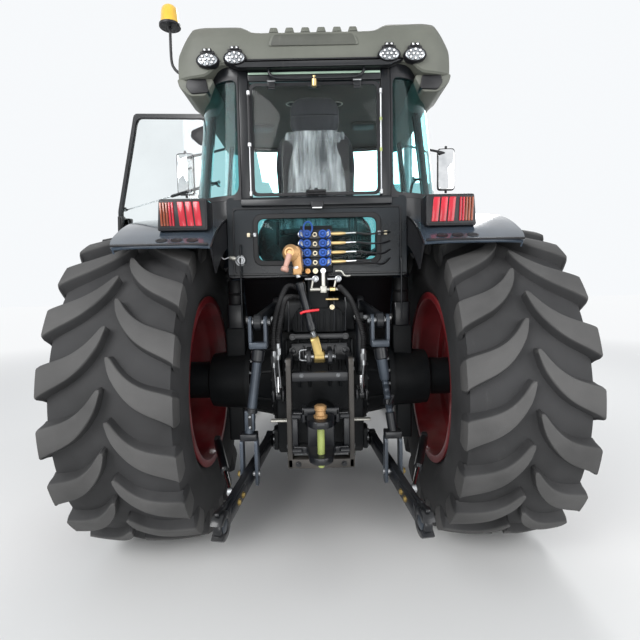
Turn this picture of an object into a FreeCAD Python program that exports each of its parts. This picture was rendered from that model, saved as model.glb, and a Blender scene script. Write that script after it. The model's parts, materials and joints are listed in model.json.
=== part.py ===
"""A large farm tractor with a closed cab, its left door standing open.

The model is laid out in millimetres from the rear axle: x to the right, y forward, z up from the ground.
Every piece is one node. It is moved at the end so that the origin is under the middle of the whole machine.
"""
import FreeCAD, Part
import math
import os

Vector = FreeCAD.Vector
X, Y, Z = Vector(1, 0, 0), Vector(0, 1, 0), Vector(0, 0, 1)

# Wheels and axles
wheelbase = 2900.0
rear_track = 1992.0
front_track = 2000.0
axle_end = 645.0
kingpin_x = 750.0
steer_arm = 225.0
kingpin_radius = 28.0
# rows: place across from the middle as a share of half the width, lag in pitches, half thickness in pitches, drop
REAR = dict(radius=956.0, width=645.0, rim=533.0, rim_width=560.0, lug=52.0, lugs=20, disc=40.0, hub=150.0,
            rows=((0.03, 0.00, 0.10, 0), (0.22, 0.34, 0.12, 0), (0.58, 0.66, 0.14, 4), (1.0, 0.86, 0.18, 26)))
FRONT = dict(radius=732.0, width=545.0, rim=381.0, rim_width=460.0, lug=42.0, lugs=18, disc=30.0, hub=120.0,
             rows=((0.03, 0.00, 0.10, 0), (0.45, 0.48, 0.13, 3), (1.0, 0.82, 0.18, 22)))
rear_z, front_z = REAR["radius"], FRONT["radius"]
rim_sides = 22
rim_dish = 40.0
seat_gap = 0.3
flange_high = 22.0
flange_thick = 12.0
clearance = 6.0

# Driveline castings
housing_half = 255.0
housing_rear = -360.0
housing_front = 470.0
housing_low = rear_z - 396
housing_top = rear_z + 344
gearbox_half = 205.0
gearbox_front = 1480.0
engine_half = 235.0
engine_front = wheelbase - 550
engine_low = rear_z - 196
engine_top = rear_z + 604
frame_front = wheelbase + 520
frame_half = 190.0
frame_low = front_z + 158
frame_top = front_z + 278
nose_half = 230.0
pto_z = rear_z - 156
weight_count = 9
weight_pitch = 58.0
weight_thick = 52.0

# Fenders
fender_gap = 77.0
fender_thick = 10.0
fender_in = 540.0
fender_out = 1093.0
fender_rear = -38.0
fender_front = 70.0
fender_wide_front = 16.0
fender_facets = 14
lip = 34.0
fender_top = rear_z + REAR["radius"] + fender_gap + fender_thick

# Cab
cab_rear = -230.0
cab_front = 1330.0
cab_half = 830.0
cab_top_half = 742.0
cab_low_half = 800.0
floor_z = fender_top - 633
sheet = 30.0
platform_z = fender_top - 349
belt_z = fender_top + 86
cab_top = belt_z + 765
wall = 36.0
rear_post_out = 445.0
rear_post_in = 388.0
lower_window = (-360.0, 360.0, platform_z + 62, belt_z - 110)
b_post_y = 410.0
post = 50.0
door_length = 730.0
door_rake = 90.0
door_low = floor_z + 34
door_gap = 14.0
door_swing = 80
door_frame = 34.0
door_thick = 30.0
corner_facets = 6
door_open = 76.0
hinge_out = 16.0
hinge_heights = (belt_z + 115, belt_z + 595)
stay_high = belt_z + 265
stay_low = belt_z + 15
stay_barrel = 400.0
stay_rod = 470.0
glass = 6.0
screen_half = 450.0
screen_low = floor_z + 354
roof_top = cab_top + 200
roof_half = 806.0
roof_rear = -265.0
roof_front = 1500.0

# Bonnet and grille
bonnet_rear = 1410.0
bonnet_front = wheelbase + 660
bonnet_half_rear = 440.0
bonnet_half_front = 370.0
bonnet_low = engine_top - 160
bonnet_top_rear = engine_top + 560
bonnet_top_front = engine_top + 340
bonnet_skin = 12.0
bonnet_chamfer = 90.0
grille_half = 215.0
hinge_y = 1425.0
hinge_z = engine_top + 500
exhaust_x = 870.0
exhaust_y = 1345.0

# Rear linkage: pivots as (y, z)
arm_pivot = (-190.0, rear_z + 474)
arm_end = (-655.0, rear_z + 429)
arm_end_x = 312.0
arm_root_x = 250.0
shaft_radius = 34.0
link_pivot = (-270.0, rear_z - 316)
link_pivot_x = 310.0
link_end = (-1130.0, rear_z - 391)
link_end_x = 432.0
link_thick = 30.0
rod_foot_y = -690.0
fork_plate = 14.0
slot_travel = 22.0
pin_radius = 14.0
cylinder_foot = (-440.0, rear_z - 6)
cylinder_head = (-430.0, rear_z + 429)
cylinder_x = 235.0
barrel_radius = 27.0
barrel_length = 325.0
piston_rod = 280.0
top_link_pivot = (-520.0, rear_z + 224)
top_link_reach = Vector(-120.0, 25.0, 470.0)
ladder_x = 150.0
ladder_y = -660.0
ladder_low = rear_z - 346
ladder_top = rear_z + 234
ladder_plate = 26.0
bar_sides = 12


def box(x0, x1, y0, y1, z0, z1):
    """A block between two corners."""
    low = Vector(min(x0, x1), min(y0, y1), min(z0, z1))
    return Part.makeBox(abs(x1 - x0), abs(y1 - y0), abs(z1 - z0), low)


def pin(start, end, radius):
    """A truly round bar from one point to another, for pins and bores."""
    return Part.makeCylinder(radius, (end - start).Length, start, end - start)


def pin_x(x0, x1, y, z, radius):
    """A truly round bar along x."""
    return pin(Vector(min(x0, x1), y, z), Vector(max(x0, x1), y, z), radius)


def cone(start, end, r0, r1, sides=bar_sides):
    """A tapered bar with flat facets around it."""
    along = (end - start).normalize()
    across = along.cross(Z if abs(along.z) < 0.9 else X).normalize()
    up = along.cross(across)
    turns = [2 * math.pi * i / sides for i in range(sides)]
    low, high = ([centre + across * (r * math.cos(a)) + up * (r * math.sin(a)) for a in turns]
                 for centre, r in ((start, r0), (end, r1)))
    return Part.makeLoft([Part.makePolygon(ring + ring[:1]) for ring in (low, high)], True, True)


def rod(start, end, radius, sides=bar_sides):
    """A bar from one point to another with flat facets around it."""
    return cone(start, end, radius, radius, sides)


def along_x(x0, x1, y, z, radius, sides=bar_sides):
    """A faceted bar along x."""
    return rod(Vector(min(x0, x1), y, z), Vector(max(x0, x1), y, z), radius, sides)


def outline(ring):
    """A flat face inside a closed run of points."""
    return Part.Face(Part.makePolygon(ring + ring[:1]))


def prism_x(points, x0, x1):
    """A plate whose outline is given as (y, z), from x0 to x1."""
    return outline([Vector(min(x0, x1), y, z) for y, z in points]).extrude(X * abs(x1 - x0))


def prism_y(points, y0, y1):
    """A plate whose outline is given as (x, z), from y0 to y1."""
    return outline([Vector(x, min(y0, y1), z) for x, z in points]).extrude(Y * abs(y1 - y0))


def prism_z(points, z0, z1):
    """A plate whose outline is given as (x, y), from z0 to z1."""
    return outline([Vector(x, y, min(z0, z1)) for x, y in points]).extrude(Z * abs(z1 - z0))


def ring_of(points, height):
    """The closed wire through (x, y) points at one height."""
    ring = [Vector(x, y, height) for x, y in points]
    return Part.makePolygon(ring + ring[:1])


def fuse(*pieces):
    """Pieces joined into one solid."""
    return pieces[0].multiFuse(list(pieces[1:])).removeSplitter()


def mirrored(piece):
    """The piece's mirror image about the centre plane."""
    return piece.mirror(Vector(0, 0, 0), X)


def both_sides(piece):
    """The piece and its mirror image, as solids that don't touch."""
    return Part.makeCompound([piece, mirrored(piece)])


def arc(radius, start, stop, count, y=0.0, z=0.0):
    """Points (y, z) on a circle. The angles are in degrees from straight up towards the front."""
    turns = [math.radians(start + (stop - start) * i / count) for i in range(count + 1)]
    return [(y + radius * math.sin(a), z + radius * math.cos(a)) for a in turns]


def hose(points, radius, sides=8):
    """A bent pipe or hose: straight faceted runs that overlap at their bends."""
    pts = [Vector(*p) for p in points]
    runs = []
    for a, b in zip(pts, pts[1:]):
        on = (b - a).normalize() * radius * 0.45
        runs.append(rod(a if a == pts[0] else a - on, b if b == pts[-1] else b + on, radius, sides))
    return fuse(*runs)


def faces_solid(faces):
    """A closed solid from flat faces, each a list of corner points."""
    solid = Part.makeSolid(Part.makeShell([outline(f) for f in faces]))
    return solid if solid.Volume > 0 else solid.reversed()


def rolled(radius, across, angle):
    """A point of a wheel in the plane x = across. The angle is measured from the bottom towards the front."""
    return Vector(across, radius * math.sin(angle), -radius * math.cos(angle))


def quad(a, b, c, d):
    """Two triangles."""
    return [[a, b, c], [a, c, d]]


def zip_rings(left, right):
    """Triangles between two closed rings of equally many points, the second half a step behind."""
    faces = []
    for i, point in enumerate(left):
        j = (i + 1) % len(left)
        faces += quad(point, right[i], right[j], left[j])
    return faces


def tyre_side(wheel, side):
    """The lugs and sidewall on one side: its faces, with the ring next to the middle and the ring at the bead."""
    half, top, pitch = wheel["width"] / 2, wheel["radius"], 2 * math.pi / wheel["lugs"]
    inner, bead, faces = [], [], []
    shift = 0 if side > 0 else pitch / 2
    rings = []
    for share, lag, thick, drop in wheel["rows"]:
        floor = top - wheel["lug"] - drop * 1.4
        middle = [i * pitch + shift + lag * pitch for i in range(wheel["lugs"])]
        x, w = side * share * half, thick * pitch
        rings.append([[rolled(floor, x, a - w * 1.35), rolled(top - drop, x, a - w),
                       rolled(top - drop, x, a + w), rolled(floor, x, a + w * 1.35)] for a in middle])
    count = wheel["lugs"]
    for near, far in zip(rings, rings[1:]):
        for i in range(count):
            n, f = near[i], far[i]
            faces += [t for k in range(3) for t in quad(n[k], f[k], f[k + 1], n[k + 1])]
            faces += quad(n[3], f[3], far[(i + 1) % count][0], near[(i + 1) % count][0])
    for end in (rings[0], rings[-1]):
        for lug in end:
            faces += quad(*lug)
    last_lag, last_thick = wheel["rows"][-1][1], wheel["rows"][-1][2] * 1.35
    wide = [point for lug in rings[-1] for point in (lug[0], lug[3])]
    middle_radius, bead_radius = (top + wheel["rim"]) / 2 - 40, wheel["rim"] + seat_gap
    part_way = (flange_high + 2) / (middle_radius - bead_radius)
    flange_in = wheel["rim_width"] / 2 - flange_thick - 1
    bead_share = (flange_in / half - part_way) / (1 - part_way)
    for share, radius in ((1.0, middle_radius), (bead_share, bead_radius)):
        grow = radius / math.cos(pitch / 3.2)
        row = [rolled(grow, side * share * half, i * pitch + shift + (last_lag + s * last_thick) * pitch)
               for i in range(count) for s in (-1, 1)]
        faces += zip_rings(wide, row)
        wide = row
    inner = [point for lug in rings[0] for point in (lug[0], lug[3])]
    bead = wide
    return faces, inner, bead


def tyre(wheel):
    """A lugged tyre around the origin with its axle along x, as one faceted skin."""
    left, left_inner, left_bead = tyre_side(wheel, -1)
    right, right_inner, right_bead = tyre_side(wheel, 1)
    # the left side lags by half a pitch, so its rings line up with the other side's next point
    middle = zip_rings(left_inner, right_inner[1:] + right_inner[:1])
    hole = zip_rings(left_bead, right_bead[1:] + right_bead[:1])
    return faces_solid(left + right + middle + hole)


def turned(section, sides):
    """A section of (x, r) points turned about the x axis in flat facets. A radius of 0 closes an end."""
    rings = [[rolled(r, x, 2 * math.pi * i / sides) for i in range(sides)] for x, r in section]
    faces = []
    radii = [r for x, r in section]
    for r0, r1, near, far in zip(radii, radii[1:] + radii[:1], rings, rings[1:] + rings[:1]):
        if r0 == 0 and r1 == 0:
            continue
        if r0 == 0 or r1 == 0:
            faces.append(far if r0 == 0 else near)
            continue
        for i in range(sides):
            j = (i + 1) % sides
            faces.append([near[i], near[j], far[j], far[i]])
    return faces_solid(faces)


def rim(wheel):
    """A dished rim with its flanges, disc and hub around the origin, for the left side: outboard is towards -x."""
    r, half, hub, disc = wheel["rim"], wheel["rim_width"] / 2, wheel["hub"], -wheel["disc"]
    top, edge = r + flange_high, half - flange_thick
    seat = r + 2 * seat_gap
    section = [(-half, r - 24), (-half, top), (-edge, top), (-edge, seat), (edge, seat),
               (edge, top), (half, top), (half, r - 24), (disc + 110, r - 45), (disc + 16, r - 75),
               (disc - rim_dish, hub + 110), (disc - rim_dish, 0), (disc - 70 - hub * 0.9, 0),
               (disc - 70 - hub * 0.9, hub * 0.75),
               (disc - 66, hub), (disc - 66, hub + 110), (disc - 14, r - 75), (disc - 40, r - 40)]
    return turned(section, rim_sides)


nodes = {}


def wheels():
    """The four wheels, each a tyre and a rim."""
    for name, wheel, track, y, z in (("rear", REAR, rear_track, 0, rear_z),
                                     ("front", FRONT, front_track, wheelbase, front_z)):
        centre = Vector(-track / 2, y, z)
        for piece, shape in (("tyre", tyre(wheel)), ("rim", rim(wheel))):
            left = shape.translated(centre)
            nodes[f"{name}_{piece}_left"] = left
            nodes[f"{name}_{piece}_right"] = mirrored(left)


def driveline():
    """Transmission, rear axle, engine and front frame with its weights."""
    case = prism_x([(housing_rear, housing_low + 60), (housing_rear + 60, housing_low), (housing_front, housing_low),
                    (housing_front, housing_top - 60), (housing_front - 80, housing_top),
                    (housing_rear + 40, housing_top), (housing_rear, housing_top - 40)], -housing_half, housing_half)
    gearbox = prism_x([(housing_front, housing_low + 40), (gearbox_front, engine_low - 60),
                       (gearbox_front, housing_top - 80), (housing_front, housing_top - 50)],
                       -gearbox_half, gearbox_half)
    ribs = [box(x - 9, x + 9, housing_rear - 22, housing_rear + 10, housing_low + 420, housing_top - 40)
            for x in (-190, -120, -60, 60, 120, 190)]
    flange = box(-gearbox_half - 30, gearbox_half + 30, housing_front - 5, housing_front + 30,
                 housing_low, housing_top - 20)
    lift_case = prism_x([(housing_rear + 40, housing_top - 5), (housing_rear + 60, housing_top + 180),
                         (0, housing_top + 200), (120, housing_top - 5)], -arm_root_x + 40, arm_root_x - 40)
    boss = rod(Vector(0, housing_rear - 70, pto_z), Vector(0, housing_rear + 20, pto_z), 105)
    drop_box = box(-70, 70, gearbox_front - 120, gearbox_front, engine_low - 260, engine_low)
    bulkhead = box(-250, 250, 1345, 1385, housing_top - 120, hinge_z - 10)
    hinge_ears = [box(s * 176, s * 194, 1380, hinge_y + 12, hinge_z - 40, hinge_z + 12) for s in (-1, 1)]
    hinge_pins = [pin_x(s * 176, s * 236, hinge_y, hinge_z, 8) for s in (-1, 1)]
    casting = fuse(case, gearbox, flange, lift_case, boss, drop_box, bulkhead, *ribs, *hinge_ears, *hinge_pins)
    nodes["transmission"] = casting.cut(pin_x(-arm_root_x, arm_root_x, *arm_pivot, shaft_radius + 0.3))
    nodes["pto_shaft"] = pin(Vector(0, housing_rear - 195, pto_z), Vector(0, housing_rear - 70, pto_z), 22.25)

    outer = rear_track / 2 - REAR["disc"] - 330
    hub_end = -rear_track / 2 - REAR["disc"] - rim_dish + seat_gap
    axle = turned([(-housing_half, 0), (-housing_half, 262), (-housing_half - 36, 262), (-housing_half - 37, 230),
                   (-outer + 62, 165), (-outer + 61, 205), (-outer, 205), (-outer - 1, 120), (hub_end, 120),
                   (hub_end, 0)], 24).translated(Z * rear_z)
    mount = box(-600, -475, -75, 75, rear_z + 100, platform_z - sheet - 160)
    rubber = along_z_block(-590, -485, -60, 60, platform_z - sheet - 160, platform_z - sheet)
    nodes["rear_axle"] = both_sides(fuse(axle, mount, rubber))

    nodes["engine_block"] = fuse(box(-engine_half, engine_half, gearbox_front, engine_front, engine_low, engine_top),
                                 box(-150, 150, gearbox_front, engine_front - 80, engine_low - 100, engine_low))
    rails = [box(s * (frame_half - 60), s * frame_half, engine_front, frame_front, frame_low, frame_top)
             for s in (-1, 1)]
    cross = [box(-frame_half, frame_half, y, y + 60, frame_low + 20, frame_top)
             for y in (engine_front, wheelbase - 30, frame_front - 60)]
    saddle = box(-frame_half, frame_half, wheelbase - 150, wheelbase + 150, frame_low + 15, frame_low + 40)
    nose = box(-nose_half, nose_half, frame_front, frame_front + 45, frame_low - 130, frame_top + 110)
    nodes["front_frame"] = fuse(*rails, *cross, saddle, nose)
    y = frame_front + 45
    weight = prism_x([(y, frame_low - 250), (y + 285, frame_low - 200), (y + 355, frame_low - 90),
                      (y + 355, frame_top + 30), (y + 295, frame_top + 110), (y, frame_top + 130)],
                     -weight_thick / 2, weight_thick / 2)
    first = -weight_pitch * (weight_count - 1) / 2
    nodes["front_weights"] = Part.makeCompound([weight.translated(X * (first + weight_pitch * i))
                                                for i in range(weight_count)])


def along_z_block(x0, x1, y0, y1, z0, z1):
    """A block with cut corners, such as a rubber mount."""
    cut = 20
    return prism_z([(x0 + cut, y0), (x1 - cut, y0), (x1, y0 + cut), (x1, y1 - cut), (x1 - cut, y1), (x0 + cut, y1),
                    (x0, y1 - cut), (x0, y0 + cut)], z0, z1)


def kingpin(s, radius):
    """The pin on which a front wheel steers, on side s."""
    return pin(Vector(s * kingpin_x, wheelbase, front_z - 150), Vector(s * kingpin_x, wheelbase, front_z + 150), radius)


def front_axle():
    """The driven front axle with its knuckles, tie rod and the fenders that steer with the wheels."""
    beam = along_x(-axle_end, axle_end, wheelbase, front_z, 68)
    bulge = along_x(-140, 140, wheelbase, front_z, 140)
    saddle = box(-90, 90, wheelbase - 120, wheelbase + 120, front_z + 80, frame_low + 15)
    necks = [cone(Vector(s * axle_end, wheelbase, front_z), Vector(s * kingpin_x, wheelbase, front_z), 68, 50)
             for s in (-1, 1)]
    bosses = [rod(Vector(s * kingpin_x, wheelbase, front_z - 85), Vector(s * kingpin_x, wheelbase, front_z + 85), 58)
              for s in (-1, 1)]
    shaft = rod(Vector(0, gearbox_front + 8, engine_low - 200), Vector(0, wheelbase - 120, front_z - 72), 30)
    bores = [kingpin(s, kingpin_radius + 0.08) for s in (-1, 1)]
    nodes["front_axle"] = fuse(beam, bulge, saddle, shaft, *necks, *bosses).cut(fuse(*bores))

    x, r = -kingpin_x, front_z
    hub_end = -front_track / 2 - FRONT["disc"] - rim_dish + seat_gap
    web = box(x - 75, x - 140, wheelbase - 90, wheelbase + 90, r - 150, r + 150)
    ears = [box(x + 50, x - 80, wheelbase - 60, wheelbase + 60, r + low, r + high)
            for low, high in ((92, 150), (-150, -92))]
    hub = along_x(x - 135, hub_end, wheelbase, r, FRONT["hub"] - 4)
    arm = prism_z([(x - 140, wheelbase - 60), (x - 140, wheelbase - 180), (x - 40, wheelbase - steer_arm - 40),
                   (x + 35, wheelbase - steer_arm - 20), (x + 35, wheelbase - steer_arm + 25),
                   (x - 75, wheelbase - 110), (x - 75, wheelbase - 60)], r - 25, r + 10)
    rod_pin = pin(Vector(x, wheelbase - steer_arm, r), Vector(x, wheelbase - steer_arm, r + 62), 12)
    stalk = box(x + 50, x + 36, wheelbase - 45, wheelbase + 45, r + 100, FRONT["radius"] + r + 54)
    bracket = box(x + 50, x - 60, wheelbase - 45, wheelbase + 45, FRONT["radius"] + r + 34, FRONT["radius"] + r + 56)
    knuckle = fuse(web, *ears, hub, arm, rod_pin, stalk, bracket, kingpin(-1, kingpin_radius))

    level = r + 38
    link = along_x(x + 20, -x - 20, wheelbase - steer_arm, level, 15)
    eyes = [rod(Vector(s * x, wheelbase - steer_arm, level - 18), Vector(s * x, wheelbase - steer_arm, level + 18), 30)
            .cut(pin(Vector(s * x, wheelbase - steer_arm, level - 30), Vector(s * x, wheelbase - steer_arm, level + 30),
                     12.05)) for s in (-1, 1)]
    nodes["tie_rod"] = fuse(link, *eyes)

    radius, middle = FRONT["radius"] + 54, -front_track / 2
    shell = prism_x(arc(radius + 6, 22, -88, 12, wheelbase, r) + arc(radius, -88, 22, 12, wheelbase, r),
                    middle - 235, middle + 235)
    edge = prism_x(arc(radius + 6, 22, -88, 12, wheelbase, r) + arc(radius - 26, -88, 22, 12, wheelbase, r),
                   middle - 235, middle - 229)
    fender = fuse(shell, edge)
    nodes["front_fender_left"], nodes["front_fender_right"] = fender, mirrored(fender)
    knuckle = knuckle.cut(fender)
    nodes["knuckle_left"], nodes["knuckle_right"] = knuckle, mirrored(knuckle)


def cab_x(z):
    """Half the cab's width at a height."""
    if z < belt_z:
        return cab_low_half + (cab_half - cab_low_half) * (z - floor_z) / (belt_z - floor_z)
    return cab_half + (cab_top_half - cab_half) * (z - belt_z) / (cab_top - belt_z)


def side_strip(outer, inner):
    """The cab's folded left side as a sheet, from one inset to another."""
    low = floor_z - 10
    levels = (low, belt_z, cab_top)
    return prism_y([(-cab_x(z) + outer, z) for z in levels] + [(-cab_x(z) + inner, z) for z in reversed(levels)],
                   b_post_y - 60, cab_front)


def side_piece(points, outer, inner):
    """A piece of the cab's left side with the outline (y, z)."""
    return prism_x(points, -cab_half - 100, 0).common(side_strip(outer, inner))


def door_clears(y, z):
    """Whether a point of the closed left door passes the rear tyre freely in the door's whole swing."""
    start, axis = door_hinge()
    tyre_side_x = rear_track / 2 + REAR["width"] / 2 + door_gap
    for degrees in range(0, door_swing + 1, 4):
        swing = FreeCAD.Placement(Vector(), FreeCAD.Rotation(axis, degrees), start)
        for depth in (0, door_thick):
            p = swing.multVec(Vector(-cab_x(z) + depth, y, z))
            if p.x > -tyre_side_x and math.hypot(p.y, p.z - rear_z) < REAR["radius"] + door_gap:
                return False
    return True


def door_edge():
    """The door's lower edge as (y, z): above the fender's curve, and high enough to swing over the tyre."""
    y0, y1 = b_post_y + clearance, b_post_y + clearance + door_length
    over_fender = fender_top - rear_z + 30
    points = []
    for share in (0, 0.12, 0.24, 0.36, 0.48, 0.59, 0.65, 0.70, 0.76):
        y = y0 + (y1 - y0) * share
        z = max(door_low, rear_z + math.sqrt(max(over_fender ** 2 - y ** 2, 0)))
        while not door_clears(y, z):
            z += 5
        points.append((y, z))
    return points


door_edge_points = []


def door_outline(inset):
    """The door's outline as (y, z), moved inwards by the inset."""
    if not door_edge_points:
        door_edge_points.extend(door_edge())
    y0, y1, top = b_post_y + clearance, b_post_y + clearance + door_length, cab_top - 24
    lean = door_rake * (top - belt_z) / (cab_top - belt_z)
    ring = [(y0, top)] + door_edge_points + [(y1 - 26, door_low), (y1, belt_z), (y1 - lean, top)]
    if inset == 0:
        return ring
    face = outline([Vector(0, y, z) for y, z in ring]).makeOffset2D(-inset, 2)
    return [(point.Y, point.Z) for point in face.OuterWire.OrderedVertexes]


def quarter(z0, z1, inner, thick):
    """The curved corner between the rear post and the door post on the left, from one height to another."""
    wires = []
    for z in (z0, z1):
        lean = cab_half - cab_x(max(z, belt_z))
        runs = []
        for inset in (inner, inner + thick):
            reach_x = cab_half - lean - rear_post_out - inset
            reach_y = b_post_y - post - cab_rear - inset
            turns = [math.pi / 2 * i / corner_facets for i in range(corner_facets + 1)]
            runs.append([(-rear_post_out - reach_x * math.sin(a) ** 0.9,
                          b_post_y - post - reach_y * max(math.cos(a), 0) ** 0.9) for a in turns])
        wires.append(ring_of(runs[0] + runs[1][::-1], z))
    return Part.makeLoft(wires, True, True)


def screen_pane(z0, z1, inner, thick):
    """The folded front of the cab, leaning back above the belt, from one height to another."""
    wires = []
    for z in (z0, z1):
        back = door_rake * max(0, z - belt_z) / (cab_top - belt_z)
        side = cab_x(z)
        y_side, y_front = b_post_y + 2 * clearance + door_length + post - back, cab_front - back
        wires.append(ring_of([(-side + inner, y_side - inner), (-screen_half, y_front - inner),
                              (screen_half, y_front - inner), (side - inner, y_side - inner),
                              (side - inner, y_side - inner - thick), (screen_half, y_front - inner - thick),
                              (-screen_half, y_front - inner - thick), (-side + inner, y_side - inner - thick)], z))
    return Part.makeLoft(wires, True, True)


def cab():
    """The cab's frame and fixed glass, its doors, rear window, seat and controls."""
    a_post_y = b_post_y + 2 * clearance + door_length
    post_foot = belt_z - 185
    b_post = side_piece([(b_post_y - post, post_foot), (b_post_y - post, cab_top), (b_post_y, cab_top),
                         (b_post_y, post_foot)], 0, wall)
    a_post = side_piece([(a_post_y - 24, floor_z), (a_post_y, belt_z), (a_post_y - door_rake, cab_top),
                         (a_post_y - door_rake + post, cab_top), (a_post_y + post, belt_z),
                         (a_post_y + post - 24, floor_z)], 0, wall)
    fender_radius = fender_top - rear_z
    edge = door_outline(0)[1:-3]
    lower = [(y, z - clearance) for y, z in edge] + [(edge[-1][0], floor_z - 10)]
    angle = math.degrees(math.acos((floor_z - 10 - rear_z) / fender_radius))
    under_door = side_piece([(b_post_y - 12, edge[0][1] - clearance)] + lower +
                            arc(fender_radius, angle, 21, 8, 0, rear_z), 0, wall)
    sill = side_piece([(edge[-1][0] - 20, floor_z - 10), (edge[-1][0] - 20, door_low - 6),
                       (a_post_y + post - 24, door_low - 6), (a_post_y + post - 24, floor_z - 10)], 0, wall)
    corner_band = quarter(post_foot, belt_z, 0, wall).cut(along_x(-1000, 0, 0, rear_z, fender_radius + seat_gap))
    corner_top = quarter(cab_top - 60, cab_top, 0, wall)
    top_rail = side_piece([(b_post_y - post, cab_top - 18), (b_post_y - post, cab_top),
                           (a_post_y - door_rake + post, cab_top), (a_post_y - door_rake + post, cab_top - 18)],
                          0, wall + 20)
    rear_post = box(-rear_post_out, -rear_post_in, cab_rear, cab_rear + wall, belt_z - 10, cab_top)
    side_wall = prism_x([(cab_rear, platform_z - sheet), (cab_rear, belt_z - 60), (b_post_y - 20, belt_z - 60),
                         (b_post_y + 40, floor_z + 560), (980, floor_z), (980, floor_z - sheet),
                         (400, floor_z - sheet), (250, platform_z - sheet)], -fender_in + 2 + 18, -fender_in + 2)
    stay_end, axis = stay_ends(0)[0], stay_axis()
    stay_arm = fuse(box(stay_end.x - 50, stay_end.x + 12, b_post_y - 40, b_post_y - 4, stay_high - 34, stay_high - 22),
                    box(stay_end.x - 12, stay_end.x + 12, b_post_y - 40, stay_end.y + 8, stay_high - 34, stay_high - 22))
    stay_pin = pin(stay_end - axis * 26, stay_end + axis * 14, 6)
    for z in hinge_heights:
        x = -cab_x(z)
        leaf = box(x - hinge_out - 4, x + 10, b_post_y - 40, b_post_y + 3, z - 34, z - 6)
        stay_arm = fuse(stay_arm, leaf, hinge_barrel(z, -34, -6, 9, 10), hinge_barrel(z, -10, 56, 5))
    half = [b_post, a_post, under_door, stay_arm, stay_pin, sill, corner_band, corner_top, top_rail, rear_post,
            side_wall]
    x0, x1, z0, z1 = lower_window
    rear_wall = box(-fender_in + 2, fender_in - 2, cab_rear, cab_rear + wall, platform_z - sheet, belt_z + 12).cut(
        box(x0, x1, cab_rear - 1, cab_rear + wall + 1, z0, z1))
    seal = box(x0 - 22, x1 + 22, cab_rear - 12, cab_rear + 1, z0 - 22, z1 + 22).cut(
        box(x0, x1, cab_rear - 13, cab_rear + 2, z0, z1))
    rail = box(-rear_post_out, rear_post_out, cab_rear - 26, cab_rear + 1, belt_z - 46, belt_z + 8)
    number_lamp = box(-34, 42, cab_rear - 52, cab_rear - 25, belt_z - 62, belt_z - 26)
    latches = [box(x - 9, x + 9, cab_rear - 34, cab_rear - 10, z1 - 120, z1 - 66) for x in (x0 - 10, x1 + 10)]
    header = box(-rear_post_out, rear_post_out, cab_rear, cab_rear + wall, cab_top - 90, cab_top)
    y2 = b_post_y + 60
    floor = prism_x([(cab_rear, platform_z), (y2 - 150, platform_z), (y2, floor_z), (a_post_y + 20, floor_z),
                     (a_post_y + 20, floor_z - sheet), (y2 - 20, floor_z - sheet), (y2 - 165, platform_z - sheet),
                     (cab_rear, platform_z - sheet)], -fender_in + 2, fender_in - 2)
    wings = [box(s * (fender_in - 10), s * (cab_low_half - 4), 975, a_post_y + 20, floor_z - sheet, floor_z)
             for s in (-1, 1)]
    front_wall = screen_pane(floor_z - sheet, screen_low, 0, wall)
    front_header = screen_pane(cab_top - 60, cab_top, 0, wall)
    frame = fuse(rear_wall, seal, rail, number_lamp, *latches, header, floor, front_wall, front_header, *wings, *half,
                 *[mirrored(piece) for piece in half]).cut(nodes["fenders"])
    nodes["cab_frame"] = frame
    lower = box(x0 + seat_gap, x1 - seat_gap, cab_rear + 12, cab_rear + 12 + glass, z0 + seat_gap, z1 - seat_gap)
    corner_glass = quarter(belt_z, cab_top - 60, 8, glass)
    panes = [lower, corner_glass, mirrored(corner_glass), screen_pane(screen_low, cab_top - 60, 8, glass)]
    nodes["cab_glass"] = Part.makeCompound([pane.cut(frame) for pane in panes])
    doors()
    seat_and_controls()


def doors():
    """The left and right doors, each a thin frame with its pane, the left one swung open."""
    frame = side_piece(door_outline(0), 0, door_thick).cut(
        prism_x(door_outline(door_frame), -cab_half - 100, 0))
    handle_y = b_post_y + door_length - 60
    handle = box(-cab_half - 34, -cab_half + 4, handle_y, handle_y + 40, belt_z - 185, belt_z - 35)
    door_end = stay_ends(0)[1]
    stay_arm = box(door_end.x - 24, door_end.x + 10, door_end.y - 9, door_end.y + 9, stay_low + 14, stay_low + 24)
    knuckles = []
    for z in hinge_heights:
        x = -cab_x(z)
        leaf = box(x - hinge_out - 4, x + 5, b_post_y + clearance + 2, b_post_y + 40, z + 4, z + 46)
        knuckles += [fuse(hinge_barrel(z, 0, 50, 9, 10), leaf).cut(hinge_barrel(z, -5, 55, 5.1))]
    frame = fuse(frame, handle.cut(side_strip(2, 2000)), stay_arm, *knuckles)
    pane = side_piece(door_outline(door_frame + seat_gap), 10, 10 + glass)
    start, axis = door_hinge()
    for name, piece in (("door", frame), ("door_glass", pane)):
        nodes[f"{name}_right"] = mirrored(piece)
        nodes[f"{name}_left"] = turn(piece, start, axis, door_open)
    nodes["door_stay_barrel_left"], nodes["door_stay_rod_left"] = door_stay(door_open)
    nodes["door_stay_barrel_right"], nodes["door_stay_rod_right"] = [mirrored(piece) for piece in door_stay(0)]


def stay_ends(swing):
    """The left door stay's pivots on the cab and on the door, with the door swung open by some degrees."""
    start, axis = door_hinge()
    cab_end = Vector(-cab_x(stay_high) + wall + 34, b_post_y + 70, stay_high)
    door_end = Vector(-cab_x(stay_low) + door_thick + 18, b_post_y + door_length - 22, stay_low)
    swung = FreeCAD.Placement(Vector(), FreeCAD.Rotation(axis, swing), start).multVec(door_end)
    return cab_end, swung


def stay_axis():
    """The line about which the left stay's barrel swings: it keeps the stay in step with the closed and open door."""
    cab_end, closed = stay_ends(0)
    opened = stay_ends(door_open)[1]
    across = (closed - cab_end).normalize() - (opened - cab_end).normalize()
    across.normalize()
    return (Z - across * across.z).normalize()


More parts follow.
